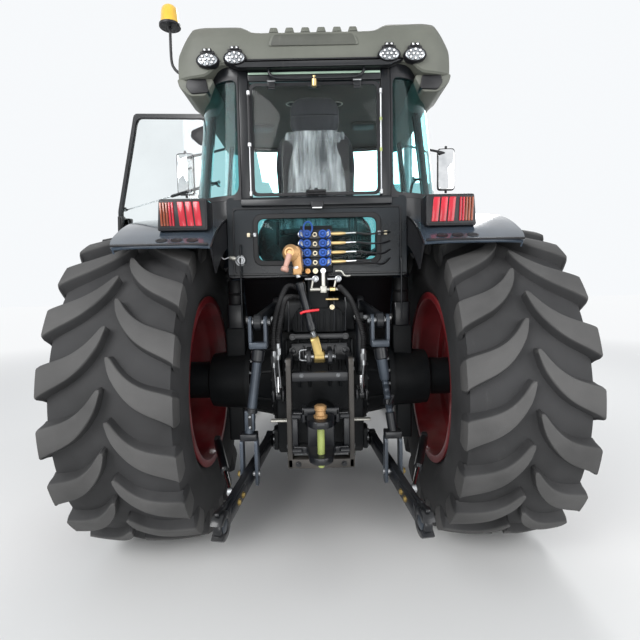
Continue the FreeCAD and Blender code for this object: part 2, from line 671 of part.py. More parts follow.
def door_stay(swing):
    """The gas stay between the door post and the left door: its barrel and its rod."""
    a, b = stay_ends(swing)
    along, axis = (b - a).normalize(), stay_axis()
    barrel = fuse(rod(a + along * 8, a + along * stay_barrel, 11, 10), rod(a - axis * 9, a + axis * 9, 13, 10)).cut(
        fuse(pin(a + along * 60, a + along * (stay_barrel + 10), 5.3), pin(a - axis * 20, a + axis * 20, 6.1)))
    stick = fuse(pin(b - along * stay_rod, b - along * 6, 5), rod(b - Z * 8, b + Z * 8, 12, 10))
    return barrel, stick


def turn(piece, point, axis, degrees):
    """A copy of the piece turned about an axis."""
    moved = piece.copy()
    moved.rotate(point, axis, degrees)
    return moved


def door_hinge():
    """A point on the left door's hinge line and the line's direction, upwards."""
    low = Vector(-cab_x(belt_z) - hinge_out, b_post_y + clearance / 2, belt_z)
    high = Vector(-cab_x(cab_top) - hinge_out, b_post_y + clearance / 2, cab_top)
    return low, (high - low).normalize()


def hinge_barrel(z, low, high, radius, sides=None):
    """A stretch of the left door's hinge line near a height, as a bar or, with no sides given, a true pin."""
    start, axis = door_hinge()
    at = start + axis * (z - belt_z)
    ends = at + axis * low, at + axis * high
    return rod(*ends, radius, sides) if sides else pin(*ends, radius)


def seat_and_controls():
    """The driver's seat, the dashboard with the steering wheel, and the rear window with its struts."""
    base = box(-210, 210, -60, 420, platform_z, platform_z + 130)
    cushion = box(-250, 250, -40, 470, platform_z + 130, platform_z + 270)
    back = prism_x([(-160, platform_z + 200), (-20, platform_z + 270), (-60, platform_z + 830),
                    (-170, platform_z + 830)], -245, 245)
    head = box(-150, 150, -165, -80, platform_z + 830, platform_z + 1040)
    nodes["seat"] = fuse(base, cushion, back, head)
    console = prism_x([(980, floor_z), (960, floor_z + 534), (1050, floor_z + 694), (1190, floor_z + 694),
                       (1230, floor_z)], -190, 190)
    hub = Vector(0, 860, floor_z + 764)
    column = rod(Vector(0, 990, floor_z + 594), hub, 32)
    lean = Vector(0, -130, 170).normalize()
    circle = [(15 * math.cos(a), 200 + 15 * math.sin(a)) for a in [math.pi * i / 3 for i in range(6)]]
    wheel = turned(circle, 20)
    wheel.Placement = FreeCAD.Placement(hub, FreeCAD.Rotation(X, lean))
    spokes = [rod(hub, hub + d * 195, 11) for d in (X, X * -1, X.cross(lean))]
    nodes["dashboard"] = fuse(console, column, wheel, *spokes)
    top = cab_top - 90
    struts = []
    for s in (-1, 1):
        x, y, low = s * (rear_post_in + 14), cab_rear - 24, belt_z + 20
        struts.append(fuse(rod(Vector(x, y, low), Vector(x, y, low + 330), 10, 10),
                           rod(Vector(x, y, low + 320), Vector(x, y, top - 70), 5, 8),
                           *[rod(Vector(x, y - 8, z), Vector(x, cab_rear, z), 8, 8) for z in (low + 8, top - 76)]))
    nodes["window_struts"] = Part.makeCompound(struts)
    hinges = [fuse(box(x - 22, x + 22, cab_rear - 12, cab_rear - seat_gap, top - 40, top + 30),
                   box(x - 22, x + 22, cab_rear - 12, cab_rear + 9, top - 40, top - 8)) for x in (-250, 250)]
    nodes["rear_window"] = fuse(*hinges, box(-rear_post_in + clearance, rear_post_in - clearance, cab_rear + 8,
                                    cab_rear + 8 + glass, belt_z + 18, top - 6),
                                box(-60, 60, cab_rear - 34, cab_rear + 9, belt_z + 22, belt_z + 50))


def fender_arc(radius, front):
    """The rear fender's curve as (y, z) points, from its back edge to an angle in front."""
    step = (fender_front - fender_rear) / fender_facets
    count = round((front - fender_rear) / step)
    return arc(radius, fender_rear, fender_rear + count * step, count, 0, rear_z)


def fenders():
    """The rear fenders. Their outer part ends behind the door, which swings over it."""
    radius = rear_z + fender_gap

    def shell(low, front, x0, x1):
        return prism_x(fender_arc(radius + fender_thick, front) + fender_arc(radius - low, front)[::-1], x0, x1)

    narrow = shell(0, fender_front, -cab_low_half, -fender_in)
    wide = shell(0, fender_wide_front, -fender_out, -cab_low_half)
    skirt = shell(lip, fender_wide_front, -fender_out, -fender_out + 10)
    inside = shell(160, fender_front, -fender_in - 10, -fender_in)
    nodes["fenders"] = both_sides(fuse(narrow, wide, skirt, inside))


def body():
    """Roof, lamps, mirrors, bonnet, exhaust, tank and steps."""
    side = prism_x([(roof_rear, cab_top - 58), (roof_rear, roof_top - 65), (roof_rear + 65, roof_top - 30),
                    (100, roof_top), (1100, roof_top), (roof_front - 30, roof_top - 65),
                    (roof_front, roof_top - 120), (roof_front - 60, cab_top + 30), (cab_front - 60, cab_top),
                    (roof_rear + 30, cab_top), (roof_rear + 30, cab_top - 58)], -roof_half, roof_half)
    front = prism_y([(-roof_half, cab_top - 70), (-roof_half, roof_top - 120), (-roof_half + 60, roof_top - 5),
                     (-480, roof_top), (-400, roof_top - 26), (400, roof_top - 26), (480, roof_top),
                     (roof_half - 60, roof_top - 5), (roof_half, roof_top - 120), (roof_half, cab_top - 70)],
                    roof_rear - 1, roof_front + 1)
    recess = prism_y([(-262, cab_top + 88), (262, cab_top + 88), (238, cab_top + 128), (-238, cab_top + 128)],
                     roof_rear - 1, roof_rear + 8)
    ridges = [prism_z([(x - 24, roof_rear + 70), (x + 24, roof_rear + 70), (x + 30, 60), (x - 30, 60)],
                      roof_top - 40, roof_top - 8) for x in range(-230, 240, 92)]
    gutter = box(-520, 520, roof_rear - 10, roof_rear + 20, cab_top + 18, cab_top + 50)
    collar = quarter(cab_top - 110, cab_top + 20, -18, 16)
    nodes["roof"] = fuse(side.common(front).cut(recess), gutter, *ridges, collar, mirrored(collar))
    radius = rear_z + fender_gap
    seat_y, seat_z = arc(radius + fender_thick, -28, -28, 1, 0, rear_z)[0]
    lamp = box(-850, -582, seat_y - 40, seat_y + 120, seat_z - 10, seat_z + 165).cut(
        prism_x(fender_arc(radius + fender_thick, fender_wide_front) + [(0, rear_z)], -fender_out, -fender_in))
    nodes["tail_lamps"] = both_sides(lamp)
    rear_lamps = [box(x - 48, x + 48, roof_rear - 60, roof_rear, cab_top - 28, cab_top + 34)
                  for x in (-605, -455, 455, 605)]
    front_lamps = [box(x - 60, x + 60, roof_front - 25, roof_front + 25, cab_top + 40, cab_top + 110)
                   for x in (-560, 560)]
    nodes["roof_lamps"] = Part.makeCompound([lamp.cut(nodes["roof"]) for lamp in rear_lamps + front_lamps])
    base_x, base_z = -roof_half - 90, roof_top + 145
    stalk = rod(Vector(-roof_half + 10, 0, roof_top - 150), Vector(base_x, 0, roof_top - 90), 10, 8)
    upright = rod(Vector(base_x, 0, roof_top - 100), Vector(base_x, 0, base_z), 10, 8)
    base = rod(Vector(base_x, 0, base_z), Vector(base_x, 0, base_z + 20), 66, 16)
    dome = cone(Vector(base_x, 0, base_z + 20), Vector(base_x, 0, base_z + 130), 58, 44, 16)
    nodes["beacon"] = fuse(stalk.cut(nodes["roof"]), upright, base, dome)
    arm = rod(Vector(-cab_top_half - 8, 1120, cab_top - 60), Vector(-1235, 1420, cab_top - 60), 12)
    hang = rod(Vector(-1235, 1420, cab_top + 10), Vector(-1235, 1420, cab_top - 430), 12)
    glass_box = box(-1320, -1150, 1400, 1470, cab_top - 410, cab_top - 10)
    nodes["mirrors"] = both_sides(fuse(arm, hang, glass_box))
    bonnet()
    x, y, low = exhaust_x, exhaust_y, bonnet_low - 80
    muffler = rod(Vector(x, y, low + 380), Vector(x, y, low + 1030), 90)
    pipe = rod(Vector(x, y, low), Vector(x, y, roof_top - 60), 42)
    elbow = rod(Vector(x, y, low), Vector(x, gearbox_front + 60, low), 42)
    feed = along_x(engine_half, x + 30, gearbox_front + 60, low, 42)
    tip = rod(Vector(x, y, roof_top - 70), Vector(x, y + 60, roof_top - 15), 42)
    rings = [rod(Vector(x, y, low + z), Vector(x, y, low + z + 24), 96) for z in (430, 950)]
    nodes["exhaust"] = fuse(muffler, pipe, feed, elbow, tip, *rings)
    tank_front = wheelbase - FRONT["radius"] - 238
    tank = box(-880, -260, 1380, tank_front, housing_low, housing_low + 670)
    link = box(-260, -gearbox_half, 1390, 1470, housing_low + 160, housing_low + 260)
    foot = housing_low - 140
    stringers = [box(-1130, -1110, 1010, 1350, foot, foot + 760), box(-880, -860, 1010, 1400, foot, foot + 810)]
    grips = [rod(Vector(x, 1320, foot + 740), Vector(x, 1320, foot + 1060), 11, 8) for x in (-1098, -940)]
    grips += [rod(Vector(-1098, 1320, foot + z), Vector(-940, 1320, foot + z), 11, 8) for z in (1052, 900)]
    treads = [box(-1110, -880, 1030, 1330, foot + z, foot + z + 26) for z in (20, 270, 520, 734)]
    nodes["tank_left"] = fuse(tank, link, *stringers, *treads, *grips)
    locker = box(880, 260, 1380, min(1780, tank_front), housing_low + 80, housing_low + 670)
    nodes["locker_right"] = fuse(locker, *[mirrored(piece) for piece in [link, *stringers, *treads, *grips]])


def bonnet_block(inset):
    """The bonnet's outer shape, or the hollow inside its skin."""
    start, low = (bonnet_rear, bonnet_low) if inset == 0 else (bonnet_rear - 1, bonnet_low - 5)
    side = prism_x([(start, low), (bonnet_front - 90 - inset, low), (bonnet_front - inset, bonnet_low + 60),
                    (bonnet_front - 30 - inset, bonnet_top_front - 110),
                    (bonnet_front - 140 - inset, bonnet_top_front - inset), (start, bonnet_top_rear - inset)], -600, 600)
    half = bonnet_half_front - inset
    plan = prism_z([(inset - bonnet_half_rear, bonnet_rear - 1), (bonnet_half_rear - inset, bonnet_rear - 1),
                    (half, bonnet_front - 90), (half - 70, bonnet_front), (70 - half, bonnet_front),
                    (-half, bonnet_front - 90)], bonnet_low - 100, bonnet_top_rear + 100)
    high, chamfer = bonnet_top_rear + 100, bonnet_chamfer
    bevels = [prism_y([(s * (bonnet_half_rear + 50), high), (s * (half - chamfer), high),
                       (s * (bonnet_half_rear + 50), high - bonnet_half_rear - 50 + half - chamfer)],
                      bonnet_rear - 2, bonnet_front + 2) for s in (-1, 1)]
    fall = math.atan2(bonnet_top_rear - bonnet_top_front, bonnet_front - 140 - bonnet_rear)
    hinge = Vector(0, bonnet_rear, bonnet_top_rear + 100)
    drop = 100 + inset - chamfer * 0.15
    tilted = [turn(bevel, hinge, X, -math.degrees(fall)).translated(Z * -drop) for bevel in bevels]
    return side.common(plan).cut(fuse(*tilted))


def bonnet():
    """The one-piece bonnet with its vents, grille and lamps, hinged at the back."""
    shell = bonnet_block(0).cut(bonnet_block(bonnet_skin))
    face = bonnet_front
    grille = [bonnet_low + 110, bonnet_top_front - 150]
    mouth = box(-grille_half, grille_half, face - 120, face + 5, *grille)
    vents = [box(-600, 600, y, y + 22, bonnet_low + 130, bonnet_low + 330)
             for y in range(int(wheelbase) - 190, int(wheelbase) + 240, 54)]
    shell = shell.cut(fuse(mouth, *vents))
    count = 7
    gap = (grille[1] - grille[0]) / count
    slats = [box(-grille_half - 4, grille_half + 4, face - 50, face - 30, grille[0] + gap * (i + 0.35),
                 grille[0] + gap * (i + 0.65)) for i in range(count)]
    spine = box(-14, 14, face - 54, face - 28, grille[0] - 6, grille[1] + 6)
    cheeks = [box(s * (grille_half + 2), s * (grille_half + 12), face - 56, face - 26, grille[0] - 4, grille[1] + 4)
              for s in (-1, 1)]
    sills = [box(-grille_half - 6, grille_half + 6, face - 56, face - 13, z, z + 8) for z in (grille[0] - 8, grille[1])]
    lamps = [prism_y([(s * (grille_half + 14), grille[1] - 90), (s * (grille_half + 74), grille[1] - 80),
                      (s * (grille_half + 74), grille[1] + 8), (s * (grille_half + 14), grille[1] + 8)],
                     face - 90, face + 6) for s in (-1, 1)]
    ears = [box(s * 200, s * 212, bonnet_rear, hinge_y + 40, hinge_z - 14, bonnet_top_rear - 6).cut(
        pin_x(s * 190, s * 222, hinge_y, hinge_z, 8.1)) for s in (-1, 1)]
    nodes["bonnet"] = fuse(shell, *slats, spine, *cheeks, *sills, *lamps, *ears)


def linkage():
    """The three-point linkage, the pick-up ladder and the hydraulics behind the transmission."""
    (ay, az), (ey, ez) = arm_pivot, arm_end
    shaft = along_x(-arm_root_x - 26, arm_root_x + 26, ay, az, shaft_radius, 20)
    arms = []
    for s in (-1, 1):
        root = along_x(s * (arm_root_x - 20), s * (arm_root_x + 26), ay, az, 70)
        tip = along_x(s * (arm_end_x - 20), s * (arm_end_x + 20), ey, ez, 42)
        blade = hexahedron([(s * (arm_root_x - 12), ay, az - 45), (s * (arm_root_x - 12), ay, az + 45),
                            (s * (arm_end_x - 16), ey, ez + 34), (s * (arm_end_x - 16), ey, ez - 34)], s * 28)
        bore = pin_x(s * 200, s * 400, ey, ez, pin_radius + 0.05)
        arms += [pin_x(s * (cylinder_x - 20), s * 276, *cylinder_head, 15), root, tip.cut(bore), blade.cut(bore)]
    nodes["lift_arms"] = fuse(shaft, *arms)
    foot_share = (rod_foot_y - link_pivot[0]) / (link_end[0] - link_pivot[0])
    foot_z = link_pivot[1] + (link_end[1] - link_pivot[1]) * foot_share
    foot_x = link_pivot_x + (link_end_x - link_pivot_x) * foot_share
    for name, s, thick in (("left", -1, 24), ("right", 1, 30)):
        top_fork = [prism_x([(ey - 34, ez - 110), (ey - 34, ez + 30), (ey + 34, ez + 30), (ey + 34, ez - 110)],
                            s * (arm_end_x + d), s * (arm_end_x + d + fork_plate)) for d in (-46, 32)]
        yoke = box(s * (arm_end_x - 46), s * (arm_end_x + 46), ey - 34, ey + 34, ez - 136, ez - 104)
        top_pin = pin_x(s * (arm_end_x - 50), s * (arm_end_x + 50), ey, ez, pin_radius)
        stem = rod(Vector(s * arm_end_x, ey, ez - 134), Vector(s * foot_x, rod_foot_y, foot_z + 160), thick)
        low_yoke = box(s * (foot_x - 44), s * (foot_x + 44), rod_foot_y - 34, rod_foot_y + 34,
                       foot_z + 126, foot_z + 162)
        low_fork = [box(s * (foot_x + d), s * (foot_x + d + fork_plate), rod_foot_y - 34, rod_foot_y + 34,
                        foot_z - 60, foot_z + 130).cut(
            prism_x(slot(rod_foot_y, foot_z, pin_radius + 3, slot_travel), s * (foot_x + d - 2),
                    s * (foot_x + d + fork_plate + 2))) for d in (-44, 30)]
        nodes[f"lift_rod_{name}"] = fuse(*top_fork, yoke, top_pin, stem, low_yoke, *low_fork)
        nodes[f"lower_link_{name}"] = lower_link(s, foot_x, foot_z)
    fy, fz = cylinder_foot
    hy, hz = cylinder_head
    along = Vector(0, hy - fy, hz - fz).normalize()
    foot, head = Vector(-cylinder_x, fy, fz), Vector(-cylinder_x, hy, hz)
    barrel = fuse(rod(head - along * 25, head - along * barrel_length, barrel_radius),
                  along_x(-cylinder_x - 15, -cylinder_x + 15, hy, hz, 32)).cut(
        fuse(pin(head - along * 60, head - along * (barrel_length + 10), 16.2), pin_x(-300, -180, hy, hz, 15.05)))
    stick = fuse(pin(foot + along * 12, foot + along * piston_rod, 16),
                 along_x(-cylinder_x - 15, -cylinder_x + 15, fy, fz, 26))
    nodes["lift_cylinder_barrels"], nodes["lift_cylinder_rods"] = both_sides(barrel), both_sides(stick)


def hexahedron(ring, across):
    """A plate whose face is a run of points, made thick along x."""
    face = outline([Vector(*p) for p in ring])
    return face.extrude(X * across)


def slot(y, z, radius, travel):
    """The outline (y, z) of an upright slot."""
    return arc(radius, -90, 90, 6, y, z + travel) + arc(radius, 90, 270, 6, y, z - travel)


def lower_link(s, foot_x, foot_z):
    """One lower link with its ball ends and the pin of its lift rod, for side s."""
    (py, pz), (ty, tz) = link_pivot, link_end
    ring = [(s * (link_pivot_x - 15), py, pz - 38), (s * (link_pivot_x - 15), py, pz + 38),
            (s * (link_end_x - 15), ty, tz + 44), (s * (link_end_x - 15), ty, tz - 44)]
    blade = hexahedron(ring, s * link_thick)
    eye = along_x(s * (link_pivot_x - 22), s * (link_pivot_x + 22), py, pz, 48)
    claw = along_x(s * (link_end_x - 26), s * (link_end_x + 26), ty, tz, 64)
    foot_pin = pin_x(s * (foot_x - 50), s * (foot_x + 50), rod_foot_y, foot_z, pin_radius)
    bore = pin_x(s * (link_pivot_x - 60), s * (link_pivot_x + 60), py, pz, 18.55)
    ball_bore = pin_x(s * 380, s * 500, ty, tz, 18.7)
    return fuse(blade, eye, claw, foot_pin).cut(fuse(bore, ball_bore))


def hitch():
    """Fixed pieces behind the transmission: ladder, clevis, brackets, top link and valves."""
    plates = [box(s * ladder_x, s * (ladder_x + ladder_plate), ladder_y, ladder_y + 60, ladder_low, ladder_top)
              for s in (-1, 1)]
    cross = [box(-ladder_x - ladder_plate, ladder_x + ladder_plate, ladder_y, ladder_y + 60, z, z + 50)
             for z in (ladder_low, ladder_low + 458)]
    ties = [box(s * ladder_x, s * (ladder_x + ladder_plate), ladder_y + 58, housing_rear, z, z + 90)
            for s in (-1, 1) for z in (ladder_low + 20, ladder_top - 90)]
    nodes["hitch_ladder"] = fuse(*plates, *cross, *ties)
    low_jaw, high_jaw = ladder_low + 90, ladder_low + 270
    clevis = [box(-ladder_x + 0.2, ladder_x - 0.2, ladder_y - 20, ladder_y + 50, z, z + 36) for z in (low_jaw, high_jaw)]
    jaws = [box(-70, 70, ladder_y - 190, ladder_y + 10, z, z + 36) for z in (low_jaw, high_jaw)]
    web = box(-70, 70, ladder_y - 20, ladder_y + 40, low_jaw, high_jaw + 36)
    tow_pin = rod(Vector(0, ladder_y - 120, low_jaw - 40), Vector(0, ladder_y - 120, high_jaw + 85), 18)
    knob = rod(Vector(0, ladder_y - 120, high_jaw + 85), Vector(0, ladder_y - 120, high_jaw + 120), 30)
    nodes["tow_clevis"] = fuse(*clevis, *jaws, web, tow_pin, knob)
    ty, tz = top_link_pivot
    bracket = [box(s * 46, s * 70, ty - 40, housing_rear - 22, tz - 45, tz + 40) for s in (-1, 1)]
    bracket_back = box(-70, 70, housing_rear - 40, housing_rear - 22, tz - 45, tz + 40)
    bracket_pin = pin_x(-72, 72, ty, tz, 12.5)
    fy, fz = cylinder_foot
    py, pz = link_pivot
    feet, link_seats = [], []
    for s in (-1, 1):
        plates = [box(s * (cylinder_x + d), s * (cylinder_x + d + 12), fy - 30, housing_rear, fz - 35, fz + 35)
                  for d in (-33, 21)]
        web = box(s * (cylinder_x - 33), s * (cylinder_x + 33), housing_rear - 16, housing_rear, fz - 35, fz + 35)
        feet += [fuse(*plates, web)]
        plate = box(s * housing_half, s * (link_pivot_x - 30), py - 60, py + 60, pz - 55, pz + 75)
        link_seats.append(fuse(plate, pin_x(s * (link_pivot_x - 40), s * (link_pivot_x + 34), py, pz, 18.5)))
    nodes["hitch_brackets"] = Part.makeCompound([fuse(*bracket, bracket_back, bracket_pin), *feet, *link_seats])
    start = Vector(0, ty, tz)
    along = Vector(*top_link_reach).normalize()
    eye = along_x(-30, 30, ty, tz, 34).cut(pin_x(-30, 30, ty, tz, 12.55))
    tube = rod(start + along * 28, start + top_link_reach * 0.9, 22)
    hook = rod(start + top_link_reach * 0.88, start + top_link_reach * 1.02, 34)
    nodes["top_link"] = fuse(eye, tube, hook)
    face = cab_rear - 190
    caps = [rod(Vector(x, face + 1, platform_z + 222 - 58 * k), Vector(x, face - 44, platform_z + 222 - 58 * k), 25, 10)
            for x in (-62, 22) for k in range(4)]
    ports = [box(50, 84, face - 30, face + 1, platform_z + 208 - 58 * k, platform_z + 236 - 58 * k) for k in range(4)]
    hoses = [hose([(x, face + 20, platform_z + 8), (x, face - 20, platform_z - 60),
                   (x * 1.9, face - 80, platform_z - 170), (end, face - 120, housing_top + 60),
                   (end, face - 140, housing_top - 160)], 13) for x, end in ((-75, -238), (65, 232))]
    cover = prism_y([(-150, housing_top), (150, housing_top), (160, housing_top + 60), (120, housing_top + 140),
                     (-120, housing_top + 140), (-160, housing_top + 60)], -402, -330)
    valves = box(-95, 85, cab_rear - 190, cab_rear - 60, platform_z - 10, platform_z + 250)
    stand = box(-60, 60, cab_rear - 160, cab_rear - 60, housing_top, platform_z - 5)
    nodes["valve_block"] = fuse(valves, *caps, *ports, *hoses, fuse(cover, stand).cut(nodes["transmission"]))


wheels()
driveline()
front_axle()
fenders()
cab()
body()
linkage()
hitch()

low = Part.makeCompound([nodes[name] for name in nodes]).BoundBox
origin_shift = Vector(-(low.XMin + low.XMax) / 2, -(low.YMin + low.YMax) / 2, -low.ZMin)

if __name__ == "__main__":
    os.makedirs("parts", exist_ok=True)
    for name, shape in nodes.items():
        shape.translated(origin_shift).exportStep(f"parts/{name}.step")
    print(len(nodes), "nodes, moved by", origin_shift)
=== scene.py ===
"""The looks of a large farm tractor with a closed cab, seen from behind with its left door open.

Shapes are laid out in millimetres from the rear axle: x to the right, y forward, z up from the ground.
"""
import json
import math

import bmesh
import bpy
import numpy as np
from bpy.props import FloatProperty, FloatVectorProperty, IntProperty, PointerProperty
from mathutils import Matrix, Vector


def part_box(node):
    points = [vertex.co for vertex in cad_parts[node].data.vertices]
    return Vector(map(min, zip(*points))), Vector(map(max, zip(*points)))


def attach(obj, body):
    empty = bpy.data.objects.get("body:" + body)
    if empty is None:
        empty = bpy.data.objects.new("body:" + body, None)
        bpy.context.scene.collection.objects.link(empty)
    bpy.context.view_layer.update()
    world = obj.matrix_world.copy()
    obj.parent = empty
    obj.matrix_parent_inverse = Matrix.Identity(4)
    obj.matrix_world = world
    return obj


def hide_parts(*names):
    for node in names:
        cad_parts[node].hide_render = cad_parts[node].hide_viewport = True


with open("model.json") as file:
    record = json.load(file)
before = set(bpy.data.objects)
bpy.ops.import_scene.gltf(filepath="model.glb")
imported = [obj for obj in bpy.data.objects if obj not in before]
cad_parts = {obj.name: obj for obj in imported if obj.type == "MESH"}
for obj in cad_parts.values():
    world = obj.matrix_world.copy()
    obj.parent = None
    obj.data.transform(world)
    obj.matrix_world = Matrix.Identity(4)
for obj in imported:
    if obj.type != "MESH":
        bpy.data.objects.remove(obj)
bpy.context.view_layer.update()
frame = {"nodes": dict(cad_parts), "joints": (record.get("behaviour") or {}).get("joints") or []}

bl_info = {
    "name": "Farm tractor looks",
    "version": (1, 0, 0),
    "blender": (4, 5, 0),
    "location": "View3D > Sidebar > Tractor",
    "description": "Builds the smooth pieces and the finishes of a farm tractor on its packed frame",
    "category": "Add Mesh",
}

# Places from the frame
PIVOT = {joint["name"]: np.array(joint["pos_m"]) for joint in frame["joints"] if joint.get("pos_m")}
REAR_RADIUS = (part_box("rear_tyre_left")[1].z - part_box("rear_tyre_left")[0].z) / 2
ORIGIN = (PIVOT["rear_wheel_left"] + PIVOT["rear_wheel_right"]) / 2 - np.array([0, 0, REAR_RADIUS])


def at(name):
    """A joint's pivot in millimetres from the point on the ground below the rear axle."""
    return (PIVOT[name] - ORIGIN) * 1000


def span(node):
    """A node's lowest and highest corner in millimetres from the same point."""
    return [(np.array(corner) - ORIGIN) * 1000 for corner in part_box(node)]


# Shape functions

def unit(v):
    """Vectors scaled to length one."""
    return v / np.maximum(np.linalg.norm(v, axis=-1, keepdims=True), 1e-9)


def circle(radius=1.0, count=24, squash=1.0):
    """Points (radius * cos a, squash * radius * sin a) of a closed ring."""
    a = np.linspace(0, 2 * np.pi, count, endpoint=False)
    return np.stack([radius * np.cos(a), squash * radius * np.sin(a)], -1)


def rounded(corners, radius, steps=5):
    """A closed outline whose corners are drawn round: at each one (1-t)^2 a + 2t(1-t) corner + t^2 b."""
    p = np.asarray(corners, float)
    before, after = np.roll(p, 1, 0) - p, np.roll(p, -1, 0) - p
    r = np.broadcast_to(np.asarray(radius, float), len(p))
    room = np.minimum(np.linalg.norm(before, axis=1), np.linalg.norm(after, axis=1)) * 0.49
    cut = np.minimum(r, room)[:, None]
    a, b = p + unit(before) * cut, p + unit(after) * cut
    t = np.linspace(0, 1, steps + 1)[None, :, None]
    return ((1 - t) ** 2 * a[:, None] + 2 * t * (1 - t) * p[:, None] + t ** 2 * b[:, None]).reshape(-1, 2)


def smooth(points, steps=8):
    """A curve through points, each span a cubic with the slopes of its neighbours."""
    p = np.asarray(points, float)
    slope = np.gradient(p, axis=0)
    t = np.linspace(0, 1, steps, endpoint=False)[None, :, None]
    a, b, ma, mb = p[:-1, None], p[1:, None], slope[:-1, None], slope[1:, None]
    run = ((2 * t ** 3 - 3 * t ** 2 + 1) * a + (t ** 3 - 2 * t ** 2 + t) * ma
           + (3 * t ** 2 - 2 * t ** 3) * b + (t ** 3 - t ** 2) * mb)
    return np.concatenate([run.reshape(-1, p.shape[1]), p[-1:]])


def carried(path, section, scale=1.0, side=None):
    """A section (p, q) carried along a path: path + scale * (p * n + q * m), n and m square to the path.

    m runs along side, or along the axis that the path leaves most alone."""
    path = np.asarray(path, float)
    along = unit(np.gradient(path, axis=0))
    ref = np.eye(3)[np.abs(along).sum(0).argmin()] if side is None else np.asarray(side, float)
    n = unit(np.cross(ref, along))
    m = np.cross(along, n)
    s = np.broadcast_to(scale, len(path))[:, None, None]
    return path[:, None] + s * (section[None, :, :1] * n[:, None] + section[None, :, 1:] * m[:, None])


def tube(path, radius, sides=20):
    """A round skin of a radius, or of one radius for each point, along a path."""
    return carried(path, circle(1.0, sides), radius)


def turned(profile, centre, axis, sides=48):
    """A skin of revolution: centre + h * axis + r * (cos a * n + sin a * m) over the profile's (h, r) rows."""
    h, r = np.asarray(profile, float).T
    axis = unit(np.asarray(axis, float))
    n = unit(np.cross(axis, np.eye(3)[np.abs(axis).argmin()]))
    m = np.cross(axis, n)
    a = np.linspace(0, 2 * np.pi, sides, endpoint=False)
    ring = np.cos(a)[:, None] * n + np.sin(a)[:, None] * m
    return np.asarray(centre, float) + h[:, None, None] * axis + r[:, None, None] * ring


def bar(a, b, radius, sides=20, edge=1.5):
    """A round bar between two points with its end edges broken."""
    a, b = np.asarray(a, float), np.asarray(b, float)
    long = np.linalg.norm(b - a)
    return turned([(0, radius - edge), (edge, radius), (long - edge, radius), (long, radius - edge)], a, b - a, sides)


def slab(outline, low, high, across="x", edge=2.0):
    """A plate between two levels: its outline drawn in by the edge at both faces and full between them."""
    flat = np.asarray(outline, float)
    ahead = unit(np.roll(flat, -1, 0) - flat)
    normal = np.stack([ahead[:, 1], -ahead[:, 0]], -1)
    both = unit(normal + np.roll(normal, 1, 0))
    stretch = 1 / np.maximum((both * normal).sum(1), 0.5)
    turning = np.sign(np.sum(flat[:, 0] * np.roll(flat[:, 1], -1) - np.roll(flat[:, 0], -1) * flat[:, 1]))
    inward = -both * stretch[:, None] * turning
    rows = [(edge, low), (edge * 0.3, low + edge * 0.3), (0, low + edge),
            (0, high - edge), (edge * 0.3, high - edge * 0.3), (edge, high)]
    inset, level = np.array(rows).T
    plan = flat[None] + inset[:, None, None] * inward[None]
    level = np.broadcast_to(level[:, None], plan.shape[:2])
    order = {"x": (level, plan[..., 0], plan[..., 1]), "y": (plan[..., 0], level, plan[..., 1]),
             "z": (plan[..., 0], plan[..., 1], level)}
    return np.stack(order[across], -1)


def block(x0, x1, y0, y1, z0, z1, edge=3.0, corner=None):
    """A block with rounded upright edges and broken rims."""
    corner = edge if corner is None else corner
    xs, ys = sorted((x0, x1)), sorted((y0, y1))
    ring = rounded([(xs[0], ys[0]), (xs[1], ys[0]), (xs[1], ys[1]), (xs[0], ys[1])], corner, 4)
    return slab(ring, min(z0, z1), max(z0, z1), "z", edge)


def beam(a, b, wide, high, edge=3.0, side=None):
    """A rectangular bar between two points, its corners rounded, high along side."""
    ring = rounded([(-wide / 2, -high / 2), (wide / 2, -high / 2), (wide / 2, high / 2), (-wide / 2, high / 2)], edge, 3)
    a, b = np.asarray(a, float), np.asarray(b, float)
    step = unit(b - a) * edge * 0.6
    shrink = 1 - edge / min(wide, high)
    return carried([a, a + step, b - step, b], ring, np.array([shrink, 1, 1, shrink]), side)


def ring_band(outer, inner, low, high, across="x", edge=1.5):
    """A flat frame between two outlines of equally many points: its section runs once round the band."""
    o, i = np.asarray(outer, float), np.asarray(inner, float)
    step = unit(i - o) * edge
    plan = np.stack([o + step, o, o, o + step, i - step, i, i, i - step])
    levels = np.array([low, low + edge, high - edge, high, high, high - edge, low + edge, low])
    levels = np.broadcast_to(levels[:, None], plan.shape[:2])
    order = {"x": (levels, plan[..., 0], plan[..., 1]), "y": (plan[..., 0], levels, plan[..., 1]),
             "z": (plan[..., 0], plan[..., 1], levels)}
    return np.stack(order[across], -1)


def about(points, pivot, axis, degrees):
    """Points turned about an axis through a pivot, by Rodrigues' formula."""
    k, a = unit(np.asarray(axis, float)), math.radians(degrees)
    v = np.asarray(points, float) - pivot
    dot = (v * k).sum(-1, keepdims=True)
    return pivot + v * math.cos(a) + np.cross(k, v) * math.sin(a) + k * dot * (1 - math.cos(a))


def arc(radius, start, stop, count, y=0.0, z=0.0):
    """Points (y, z) on a circle. The angles are in degrees from straight up towards the front."""
    a = np.radians(np.linspace(start, stop, count + 1))
    return np.stack([y + radius * np.sin(a), z + radius * np.cos(a)], -1)


